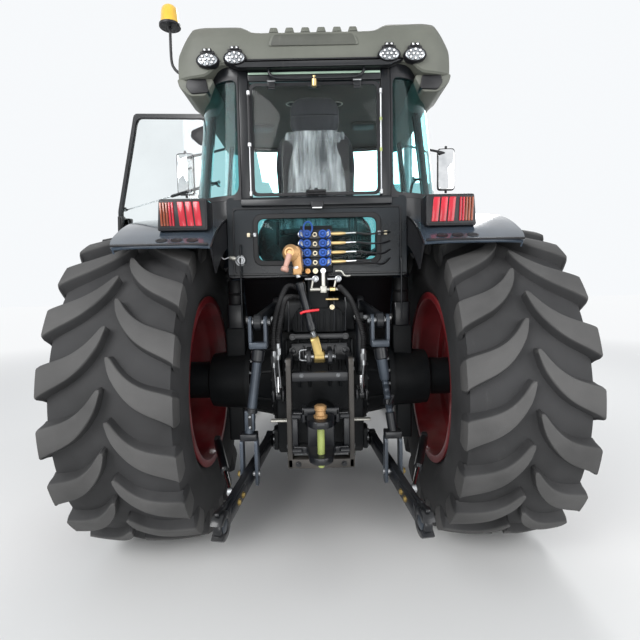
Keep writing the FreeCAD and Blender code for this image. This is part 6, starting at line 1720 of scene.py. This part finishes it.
def side_steps(form):
    """Ladder of the left side: two stringers, four open treads and two grips."""
    for x0, x1, y1, z0, z1 in ((-1130, -1110, 1350, 420, 1180), (-880, -860, 1400, 420, 1230)):
        form.add(slab(rounded([(1010, z0), (y1 - 90, z0), (y1, z0 + 90), (y1, z1), (1080, z1), (1010, z1 - 200)], 26, 5),
                      x0, x1, "x", 4), "chassis black")
    for z in (440, 690, 940, 1154):
        form.add(ring_band(rounded([(-1110, 1030), (-880, 1030), (-880, 1330), (-1110, 1330)], 10, 4),
                           rounded([(-1102, 1038), (-888, 1038), (-888, 1322), (-1102, 1322)], 8, 4), z, z + 26, "z", 2),
                 "chassis black", loop=True, ends=False)
        for k in range(6):
            y = 1058 + 49 * k
            form.add(block(-1104, -886, y - 3, y + 3, z + 3, z + 23, 1.5), "zinc")
            for x in range(-1086, -890, 28):
                form.add(block(x - 6, x + 6, y - 4, y + 4, z + 20, z + 26, 1.5), "zinc")
    for x in (-1098, -940):
        form.add(bar((x, 1320, 1160), (x, 1320, 1480), 11, 20, 5), "trim black")
    for z in (1320, 1472):
        form.add(bar((-1098, 1320, z), (-940, 1320, z), 10.5, 20), "trim black")
    form.add(block(-260, -205, 1390, 1470, 720, 820, 5), "chassis black")


def tank_form():
    """The left tank: a moulded body with drawn bands, a filler and its steps."""
    form = Form()
    ring = rounded([(-880, 1380), (-260, 1380), (-260, 1930), (-880, 1930)], 60, 8)
    middle = ring.mean(0)
    rows = [(0.90, 562), (0.97, 574), (0.995, 610), (0.995, 690), (0.98, 697), (0.98, 712), (0.995, 719), (1.0, 860),
            (1.0, 1010), (0.985, 1018), (0.985, 1034), (1.0, 1042), (0.995, 1170), (0.97, 1214), (0.90, 1229)]
    scale, level = np.array(rows).T
    plan = middle + (ring - middle) * scale[:, None, None]
    form.add(np.concatenate([plan, np.broadcast_to(level[:, None, None], plan.shape[:2] + (1,))], -1), "trim black")
    for y in (1510, 1800):
        form.add(ring_band([(-884, 568), (-262, 568), (-262, 1226), (-884, 1226)],
                           [(-876, 576), (-270, 576), (-270, 1218), (-876, 1218)], y - 22, y + 22, "y", 2), "zinc",
                 loop=True, ends=False)
    form.add(turned([(0, 52), (10, 52), (14, 46), (22, 46), (26, 42)], (-872, 1655, 1120), (-1, 0, 0), 40), "soft black rubber")
    form.add(block(-904, -896, 1643, 1667, 1084, 1156, 3), "soft black rubber")
    side_steps(form)
    return form


def locker_form():
    """The right locker with its lid, its latch and the steps of that side."""
    form = Form()
    form.add(slab(rounded([(1380, 640), (1780, 640), (1780, 1180), (1730, 1230), (1380, 1230)], 22, 6), 262, 868, "x", 12),
             "trim black")
    form.add(slab(rounded([(1400, 664), (1760, 664), (1760, 1174), (1722, 1210), (1400, 1210)], 18, 6), 862, 880, "x", 6),
             "chassis black")
    form.add(block(876, 884, 1560, 1620, 1150, 1180, 4), "zinc")
    for z in (760, 1090):
        form.add(bar((876, 1402, z - 26), (876, 1402, z + 26), 8, 16), "zinc")
    for k in range(5):
        form.add(block(880, 884, 1450, 1710, 700 + 22 * k, 708 + 22 * k, 2), "soft black rubber")
    steps = Form()
    side_steps(steps)
    return form.take(steps.mirrored())


def engine_form():
    """The engine as one block with its sump and rounded edges."""
    form = Form()
    form.add(block(-235, 235, 1480, 2350, 762, 1560, 14, 20), "cast black")
    form.add(block(-150, 150, 1482, 2270, 660, 764, 14, 24), "cast black")
    return form


def front_frame_form():
    """The front frame: two rails, cross members, the saddle and the weight carrier."""
    form = Form()
    for s in (-1, 1):
        form.add(block(s * 130, s * 190, 2350, 3420, 890, 1010, 6, 8), "chassis black")
        for y in (2440, 2560, 2740, 3060, 3240):
            for z in (924, 976):
                bolt(form, (s * 190, y, z), (s, 0, 0), 15, 11, "chassis black")
        form.add(turned([(0, 30), (10, 34), (28, 34), (34, 24)], (s * 150, 3462, 800), (0, 1, 0), 24), "chassis black")
    for y in (2350, 2870, 3360):
        form.add(block(-131, 131, y, y + 60, 910, 1008, 6), "chassis black")
    form.add(block(-188, 188, 2750, 3050, 905, 930, 6), "chassis black")
    form.add(slab(rounded([(-230, 780), (-190, 760), (190, 760), (230, 780), (230, 1060), (170, 1120), (-170, 1120),
                           (-230, 1060)], 18, 4), 3420, 3464, "y", 7), "chassis black")
    return form


def weights_form():
    """Nine slab weights with cast rims and grips."""
    form = Form()
    profile = rounded([(3466, 640), (3750, 690), (3820, 800), (3820, 1040), (3760, 1120), (3466, 1140)], 26, 6)
    middle = np.array([3640.0, 900.0])
    for k in range(9):
        x = 58.0 * (k - 4)
        form.add(slab(profile, x - 26, x + 26, "x", 7), "cast black")
        form.add(slab(rounded([(3690, 1070), (3770, 1000), (3796, 1026), (3716, 1100)], 12, 4), x - 27, x + 27, "x", 2),
                 "soft black rubber")
    for s in (-1, 1):
        form.add(ring_band(middle + (profile - middle) * 0.9, middle + (profile - middle) * 0.84, s * 258 - 2, s * 258 + 2, "x",
                           1.5), "cast black", loop=True, ends=False)
    return form


def front_axle_form():
    """The driven front axle: a beam with its differential, saddle, swivel bosses, shaft and steering cylinder."""
    form = Form()
    half = [(0, 140), (60, 136), (110, 118), (150, 98), (210, 84), (330, 74), (560, 70), (600, 72), (645, 72), (660, 66),
            (700, 56), (748, 50)]
    rows = [(-h, r) for h, r in half[:0:-1]] + half
    form.add(turned(rows, (0, 2900, 732), (1, 0, 0), 56), "cast black")
    form.add(turned([(0, 118), (4, 124), (18, 124), (22, 116), (36, 84), (40, 70)], (0, 2998, 732), (0, 1, 0), 48), "cast black")
    bolts(form, (0, 3016, 732), (0, 1, 0), 106, 12, 9, 7, "cast black")
    form.add(block(-90, 90, 2780, 3020, 812, 905, 8, 12), "cast black")
    for s in (-1, 1):
        form.add(turned([(0, 48), (8, 58), (162, 58), (170, 48)], (s * 750, 2900, 647), (0, 0, 1), 40), "cast black")
        form.add(turned([(0, 84), (14, 84)], (s * 596, 2900, 732), (s, 0, 0), 40), "cast black")
        bolts(form, (s * 596, 2900, 732), (-s, 0, 0), 76, 10, 7, 6, "cast black")
        form.add(bar((s * 40, 3034, 804), (s * 250, 3034, 804), 26, 24, 4), "chassis black")
        form.add(bar((s * 250, 3034, 804), (s * 300, 3034, 804), 12, 18), "chrome")
    form.add(bar((0, 1490, 561), (0, 2778, 660), 29, 28), "chassis black")
    for y in (1520, 2740):
        z = 561 + 99 * (y - 1490) / 1288
        form.add(bar((0, y - 26, z - 2), (0, y + 26, z + 2), 34, 24), "zinc")
    return form


def knuckle_form():
    """The left swivel housing with its hub drive, steering arm, fender stalk and kingpin."""
    form = Form()
    web = rounded([(-702, 824), (-702, 880), (-846, 880), (-888, 846), (-888, 618), (-846, 584), (-702, 584), (-702, 640),
                   (-806, 644), (-828, 676), (-828, 788), (-806, 820)], 12, 4)
    form.add(slab(web, 2838, 2962, "y", 12), "cast black")
    form.add(block(-888, -832, 2812, 2988, 622, 842, 12, 20), "cast black")
    form.add(turned([(0, 96), (20, 110), (42, 116), (60, 116), (66, 108), (92, 104), (110, 114), (196, 114), (214, 110),
                     (230, 92), (238, 60), (240, 40)], (-829, 2900, 732), (-1, 0, 0), 56), "cast black")
    bolts(form, (-1040, 2900, 732), (-1, 0, 0), 78, 10, 8, 7, "zinc")
    arm = rounded([(-888, 2842), (-888, 2722), (-792, 2638), (-718, 2656), (-718, 2698), (-826, 2792), (-826, 2842)], 14, 4)
    form.add(slab(arm, 708, 741, "z", 6), "cast black")
    form.add(bar((-750, 2675, 732), (-750, 2675, 794), 12, 20), "zinc")
    form.add(slab(rounded([(2856, 834), (2944, 834), (2934, 1500), (2866, 1500)], 14, 4), -713, -701, "x", 4), "chassis black")
    form.add(block(-809, -701, 2856, 2944, 1499, 1518, 5, 10), "chassis black")
    for z, way in ((881, 1), (583, -1)):
        form.add(turned([(0, 44), (4, 44), (7, 38)], (-750, 2900, z - 2 * way), (0, 0, way), 32), "cast black")
    form.add(bar((-750, 2900, 582), (-750, 2900, 882), 28, 28), "zinc")
    return form


def tie_rod_form():
    """The tie rod with its two threaded ends and eyes."""
    form = Form()
    form.add(bar((-640, 2675, 770), (640, 2675, 770), 15, 24), "chassis black")
    for s in (-1, 1):
        form.add(bar((s * 640, 2675, 770), (s * 722, 2675, 770), 11, 20), "zinc")
        form.add(bar((s * 640, 2675, 770), (s * 662, 2675, 770), 15, 6), "zinc")
        form.add(turned([(0, 24), (5, 30), (31, 30), (36, 24)], (s * 750, 2675, 752), (0, 0, 1), 32), "cast black")
    return form


def front_fender_form():
    """The left front fender: a crowned section with a turned-down outer lip, carried round the wheel."""
    outer = [(-1235, 761), (-1235, 782), (-1227, 789), (-1190, 791), (-1000, 792), (-810, 791), (-773, 789), (-766, 784)]
    inner = [(-769, 783), (-812, 786.5), (-1000, 787), (-1188, 786.5), (-1223, 784), (-1229, 778), (-1229, 761)]
    x, reach = np.array(outer + inner).T
    a = np.radians(np.linspace(22, -88, 56))[:, None]
    shrink = np.ones(56)[:, None]
    grid = np.stack([x * shrink, 2900 + reach * np.sin(a), 732 + reach * np.cos(a)], -1)
    form = Form().add(grid, "trim black")
    for degrees in (-4, 4):
        t = math.radians(degrees)
        for x in (-790, -740):
            form.add(block(x - 8, x + 8, 2900 + 780 * math.sin(t) - 8, 2900 + 780 * math.sin(t) + 8, 1519, 1524, 2), "zinc")
    return form


# Rear body below the cab

def transmission_form():
    """The transmission: a ribbed housing with covers, the gearbox, the lift case and the bulkhead."""
    form = Form()
    case = rounded([(-360, 620), (-300, 560), (470, 560), (470, 1240), (390, 1300), (-320, 1300), (-360, 1260)], 22, 5)
    form.add(slab(case, -255, 255, "x", 14), "cast black")
    form.add(slab(rounded([(466, 602), (1480, 702), (1480, 1218), (466, 1248)], 16, 4), -205, 205, "x", 12), "cast black")
    for x in (-190, -120, -60, 60, 120, 190):
        form.add(block(x - 9, x + 9, -382, -352, 980, 1258, 6), "cast black")
    form.add(slab(rounded([(-235, 562), (235, 562), (235, 1280), (-235, 1280)], 20, 5), 465, 500, "y", 4), "cast black")
    for s in (-1, 1):
        for z in range(600, 1260, 80):
            bolt(form, (s * 222, 500, z), (0, 1, 0), 9, 8, "cast black")
        for y in (640, 900, 1160):
            form.add(block(s * 203, s * 212, y, y + 30, 690, 1180, 6), "cast black")
    form.add(slab(rounded([(-320, 1295), (-300, 1480), (0, 1500), (120, 1295)], 26, 5), -210.0, 210.0, "x", 12),
             "cast black")
    form.add(turned([(0, 105), (12, 105), (60, 96), (78, 92), (90, 80)], (0, -340, 800), (0, -1, 0), 48), "cast black")
    bolts(form, (0, -428, 800), (0, -1, 0), 64, 8, 8, 6, "chassis black")
    form.add(block(-70, 70, 1360, 1478, 500, 760, 12, 16), "cast black")
    form.add(block(-250, 250, 1346, 1384, 1180, 2048, 5, 8), "chassis black")
    for s in (-1, 1):
        form.add(block(s * 176, s * 194, 1380, 1437, 2020, 2072, 4), "chassis black")
        form.add(bar((s * 176, 1425, 2060), (s * 236, 1425, 2060), 8, 18), "zinc")
    return form


def rear_axle_form():
    """The rear axle tubes: a turned casting with a bolted flange, ribs, the cab mount and a lower bracket."""
    form = Form()
    rows = [(255, 240), (257, 262), (290, 262), (293, 238), (330, 220), (400, 198), (434, 190), (437, 218), (467, 218),
            (470, 188), (560, 184), (640, 180), (694, 174), (706, 150), (712, 120), (1035.5, 120)]
    form.add(turned(rows, (0, 0, 956), (-1, 0, 0), 64), "cast black")
    bolts(form, (-437, 0, 956), (1, 0, 0), 203, 16, 11, 15, "bolt grey")
    bolts(form, (-291, 0, 956), (-1, 0, 0), 250, 18, 8, 8, "chassis black")
    for k in range(8):
        a = 2 * np.pi * (k + 0.5) / 8
        y, z = math.cos(a), math.sin(a)
        form.add(beam((-292, 226 * y, 956 + 226 * z), (-436, 196 * y, 956 + 196 * z), 14, 20, 3, (0, y, z)), "cast black")
    form.add(block(-600, -475, -75, 75, 1090, 1300, 6, 12), "cast black")
    form.add(block(-588, -487, -62, 62, 1298, 1452, 6, 16), "chassis black")
    form.add(turned([(0, 46), (8, 50), (60, 50), (70, 42), (80, 50), (150, 50), (158, 46)], (-537, 0, 1451), (0, 0, 1), 32),
             "soft black rubber")
    for y in (-50, 50):
        for x in (-580, -495):
            bolt(form, (x, y, 1300), (0, 0, 1), 9, 8, "chassis black")
    form.add(block(-600, -500, -60, 60, 560, 800, 8, 14), "cast black")
    return form


def shaft_form():
    """The driven shaft with six splines."""
    a = np.linspace(0, 2 * np.pi, 72, endpoint=False)
    reach = 20.6 + 1.6 * np.tanh(6 * np.cos(6 * a))
    section = np.stack([reach * np.cos(a), reach * np.sin(a)], -1)
    path = [(0, -555, 800), (0, -551, 800), (0, -432, 800), (0, -430, 800)]
    return Form().add(carried(path, section, np.array([0.88, 1, 1, 0.98]), (1, 0, 0)), "zinc")


def front_pieces():
    """Bonnet, exhaust, tank, locker, front frame, weights, axle and fenders."""
    make("bonnet_smooth", bonnet_form(), "bonnet", "bonnet", "bonnet")
    make("exhaust_smooth", exhaust_form(), "chassis", "steel", "exhaust")
    make("tank_smooth", tank_form(), "chassis", "frame", "tank_left")
    make("locker_smooth", locker_form(), "chassis", "frame", "locker_right")
    make("engine_smooth", engine_form(), "chassis", "casting", "engine_block")
    make("front_frame_smooth", front_frame_form(), "chassis", "frame", "front_frame")
    make("weights_smooth", weights_form(), "chassis", "casting", "front_weights")
    make("front_axle_smooth", front_axle_form(), "chassis", "casting", "front_axle")
    make("tie_rod_smooth", tie_rod_form(), "tie_rod", "steel", "tie_rod")
    for side, turn in (("left", Form), ("right", None)):
        knuckle, fender = knuckle_form(), front_fender_form()
        if turn is None:
            knuckle, fender = knuckle.mirrored(), fender.mirrored()
        make(f"knuckle_smooth_{side}", knuckle, f"knuckle_{side}", "casting", f"knuckle_{side}")
        make(f"front_fender_smooth_{side}", fender, f"knuckle_{side}", "fender", f"front_fender_{side}")


def driveline_pieces():
    """Transmission, rear axle and driven shaft."""
    make("transmission_smooth", transmission_form(), "chassis", "casting", "transmission")
    make("rear_axle_smooth", both_sides(rear_axle_form()), "chassis", "casting", "rear_axle")
    make("shaft_smooth", shaft_form(), "chassis", "steel", "pto_shaft")


# Finishes of the frame's own nodes

NODE_FINISH = (("tyre", "rubber"), ("_rim_", "rim red"), ("cab_glass", "cab glass"), ("door_glass", "door glass"),
               ("rear_window", "clear glass"), ("front_fender", "trim black"), ("fenders", "fender grey"),
               ("tail_lamps", "trim black"), ("roof_lamps", "trim black"), ("roof", "roof grey"),
               ("seat", "seat fabric"), ("dashboard", "trim black"), ("mirrors", "trim black"),
               ("beacon", "beacon amber"), ("bonnet", "bonnet red"), ("exhaust", "zinc"), ("pto_shaft", "zinc"),
               ("cylinder_rods", "chrome"), ("stay_rod", "chrome"), ("window_struts", "chrome"),
               ("lift_rod", "blue steel"), ("hitch_ladder", "ladder steel"), ("transmission", "cast black"),
               ("rear_axle", "cast black"), ("front_axle", "cast black"), ("engine_block", "cast black"),
               ("front_weights", "cast black"), ("knuckle", "cast black"))


def dress_nodes():
    """Gives every node of the frame its finish."""
    for name, node in frame["nodes"].items():
        finish = next((f for word, f in NODE_FINISH if word in name), "chassis black")
        node.data.materials.clear()
        node.data.materials.append(FINISHES[finish])


# Stage

def backdrop_share(tree):
    """How far a point of the floor has turned into backdrop: its distance from the middle, for seen rays alone."""
    place = add(tree, "ShaderNodeTexCoord").outputs["Object"]
    away = add(tree, "ShaderNodeVectorMath", {0: place}, operation="LENGTH").outputs["Value"]
    ramp = add(tree, "ShaderNodeMapRange", {0: away, 1: 3.0, 2: 11.0}).outputs[0]
    rays = add(tree, "ShaderNodeLightPath").outputs
    seen = scalar(tree, "MAXIMUM", rays["Is Camera Ray"], scalar(tree, "MAXIMUM", rays["Is Glossy Ray"],
                                                                  rays["Is Transmission Ray"]))
    return scalar(tree, "MULTIPLY", ramp, seen)


def stage(settings):
    """Pale floor, soft lamps, world and the camera of the photograph."""
    floor = bpy.data.meshes.new("floor")
    size = 40.0
    floor.from_pydata([(-size, -size, 0), (size, -size, 0), (size, size, 0), (-size, size, 0)], [], [(0, 1, 2, 3)])
    ground = bpy.data.materials.new("pale floor")
    ground.use_nodes = True
    shader = ground.node_tree.nodes["Principled BSDF"]
    shader.inputs["Roughness"].default_value = 0.85
    far = backdrop_share(ground.node_tree)
    ground.node_tree.links.new(blend(ground.node_tree, far, (0.72, 0.72, 0.71, 1), (0, 0, 0, 1)), shader.inputs["Base Color"])
    shader.inputs["Emission Color"].default_value = (0.86, 0.87, 0.88, 1)
    ground.node_tree.links.new(far, shader.inputs["Emission Strength"])
    floor.materials.append(ground)
    plane = bpy.data.objects.new("floor", floor)
    bpy.context.scene.collection.objects.link(plane)

    world = bpy.data.worlds.new("studio")
    world.use_nodes = True
    tree = world.node_tree
    back = tree.nodes["Background"]
    rays = add(tree, "ShaderNodeLightPath").outputs
    seen = scalar(tree, "MAXIMUM", rays["Is Camera Ray"],
                  scalar(tree, "MAXIMUM", rays["Is Glossy Ray"], rays["Is Transmission Ray"]))
    tree.links.new(blend(tree, seen, (0.78, 0.82, 0.88, 1), (0.93, 0.95, 0.97, 1)), back.inputs["Color"])
    level = add(tree, "ShaderNodeMapRange", {0: seen, 3: settings.world_level, 4: 1.0}).outputs[0]
    tree.links.new(level, back.inputs["Strength"])
    bpy.context.scene.world = world

    for name, place, target, size, power in (
            ("key", (-4.5, -6.0, 5.0), (0, 0, 1.2), 4.0, 520.0), ("fill", (5.0, -5.0, 3.0), (0, 0, 1.0), 5.0, 260.0),
            ("back", (1.5, 6.5, 6.0), (0, 0, 1.8), 5.0, 500.0), ("low", (0, -5.5, 0.9), (0, 0, 0.9), 2.5, 70.0)):
        lamp = bpy.data.lights.new(name, "AREA")
        lamp.energy, lamp.size = power * settings.lamp_level, size
        holder = bpy.data.objects.new(name, lamp)
        spot = Vector(place) + Vector(ORIGIN)
        aim = Vector(target) + Vector(ORIGIN) - spot
        holder.matrix_world = Matrix.Translation(spot) @ aim.to_track_quat("-Z", "Y").to_matrix().to_4x4()
        bpy.context.scene.collection.objects.link(holder)

    lens = bpy.data.cameras.new("camera")
    lens.sensor_width, lens.lens = 36.0, settings.lens
    lens.clip_end = 200.0
    lens.shift_x = settings.shift
    camera = bpy.data.objects.new("camera", lens)
    pitch, roll = settings.pitch, settings.roll
    turn = Matrix.Rotation(math.pi / 2 - pitch, 4, "X") @ Matrix.Rotation(roll, 4, "Z")
    eye = Vector(ORIGIN) + Vector(tuple(settings.eye))
    camera.matrix_world = Matrix.Translation(eye) @ turn
    bpy.context.scene.collection.objects.link(camera)
    bpy.context.scene.camera = camera
    bpy.context.scene.view_settings.view_transform = "Standard"


# Settings, operators and panel

class TractorColours(bpy.types.PropertyGroup):
    """Colours that a user would change."""
    rim_colour: FloatVectorProperty(name="Rims and bonnet", description="Paint of the rims and the bonnet",
                                    default=(0.19, 0.016, 0.02), subtype="COLOR", size=3, min=0.0, max=1.0)
    rubber_colour: FloatVectorProperty(name="Tyre rubber", description="Clean rubber between the lugs",
                                       default=(0.019, 0.019, 0.020), subtype="COLOR", size=3, min=0.0, max=1.0)
    roof_colour: FloatVectorProperty(name="Roof", description="Moulded roof",
                                     default=(0.115, 0.12, 0.10), subtype="COLOR", size=3, min=0.0, max=1.0)


class TractorStage(bpy.types.PropertyGroup):
    """Camera and light."""
    eye: FloatVectorProperty(name="Camera place", description="From the ground below the rear axle",
                             default=(0.0, -2.955, 1.570), subtype="TRANSLATION", unit="LENGTH", size=3)
    pitch: FloatProperty(name="Pitch", description="Camera's tilt downwards", default=math.radians(4.45),
                         subtype="ANGLE")
    roll: FloatProperty(name="Roll", description="Camera's turn about its axis", default=math.radians(-1.1),
                        subtype="ANGLE")
    lens: FloatProperty(name="Lens", description="Focal length", default=25.31, unit="CAMERA")
    shift: FloatProperty(name="Shift", description="Sideways shift of the frame", default=0.002)
    world_level: FloatProperty(name="World", description="Light from the sky", default=0.55, min=0.0)
    lamp_level: FloatProperty(name="Lamps", description="Share of the lamps' power", default=1.0, min=0.0)


class TRACTOR_OT_finishes(bpy.types.Operator):
    """Make the finishes and give them to the frame's nodes"""
    bl_idname = "tractor.finishes"
    bl_label = "Finishes"

    def execute(self, context):
        finishes(context.scene.tractor_colours)
        dress_nodes()
        return {"FINISHED"}


class TRACTOR_OT_wheels(bpy.types.Operator):
    """Build the tyres and rims"""
    bl_idname = "tractor.wheels"
    bl_label = "Wheels"

    def execute(self, context):
        wheels()
        return {"FINISHED"}


class TRACTOR_OT_rear_body(bpy.types.Operator):
    """Build the rear fenders, the tail lamps and the roof"""
    bl_idname = "tractor.rear_body"
    bl_label = "Fenders and roof"

    def execute(self, context):
        fenders_and_lamps()
        roof_pieces()
        return {"FINISHED"}


class TRACTOR_OT_cab(bpy.types.Operator):
    """Build the cab's frame, glass, seat, controls, rear window and mirrors"""
    bl_idname = "tractor.cab"
    bl_label = "Cab"

    def execute(self, context):
        cab_pieces()
        return {"FINISHED"}


class TRACTOR_OT_doors(bpy.types.Operator):
    """Build the doors, their glass and their stays"""
    bl_idname = "tractor.doors"
    bl_label = "Doors"

    def execute(self, context):
        door_pieces()
        return {"FINISHED"}


class TRACTOR_OT_driveline(bpy.types.Operator):
    """Build the transmission, the rear axle and the driven shaft"""
    bl_idname = "tractor.driveline"
    bl_label = "Driveline"

    def execute(self, context):
        driveline_pieces()
        return {"FINISHED"}


class TRACTOR_OT_front(bpy.types.Operator):
    """Build the bonnet, the exhaust, the tank, the locker, the front axle and the weights"""
    bl_idname = "tractor.front"
    bl_label = "Front"

    def execute(self, context):
        front_pieces()
        return {"FINISHED"}


class TRACTOR_OT_linkage(bpy.types.Operator):
    """Build the three-point linkage, the ladder and the valves"""
    bl_idname = "tractor.linkage"
    bl_label = "Linkage"

    def execute(self, context):
        linkage()
        hitch()
        return {"FINISHED"}


class TRACTOR_OT_stage(bpy.types.Operator):
    """Build the floor, lamps and camera"""
    bl_idname = "tractor.stage"
    bl_label = "Stage"

    def execute(self, context):
        stage(context.scene.tractor_stage)
        return {"FINISHED"}


class TRACTOR_PT_panel(bpy.types.Panel):
    """Lists the steps that build the tractor"""
    bl_label = "Tractor"
    bl_space_type = "VIEW_3D"
    bl_region_type = "UI"
    bl_category = "Tractor"

    def draw(self, context):
        for group in (context.scene.tractor_colours, context.scene.tractor_stage):
            for name in group.__annotations__:
                self.layout.prop(group, name)
        for step in STEPS:
            self.layout.operator(step.bl_idname)


STEPS = (TRACTOR_OT_finishes, TRACTOR_OT_wheels, TRACTOR_OT_rear_body, TRACTOR_OT_cab, TRACTOR_OT_doors,
         TRACTOR_OT_driveline, TRACTOR_OT_linkage, TRACTOR_OT_front, TRACTOR_OT_stage)
CLASSES = (TractorColours, TractorStage, *STEPS, TRACTOR_PT_panel)


def register():
    """Makes the classes and settings known to Blender."""
    for kind in CLASSES:
        bpy.utils.register_class(kind)
    bpy.types.Scene.tractor_colours = PointerProperty(type=TractorColours)
    bpy.types.Scene.tractor_stage = PointerProperty(type=TractorStage)


def unregister():
    """Takes them away again."""
    del bpy.types.Scene.tractor_stage
    del bpy.types.Scene.tractor_colours
    for kind in reversed(CLASSES):
        bpy.utils.unregister_class(kind)


def main():
    """Builds the tractor step by step."""
    register()
    for step in STEPS:
        group, name = step.bl_idname.split(".")
        getattr(getattr(bpy.ops, group), name)()


if __name__ == "__main__":
    main()
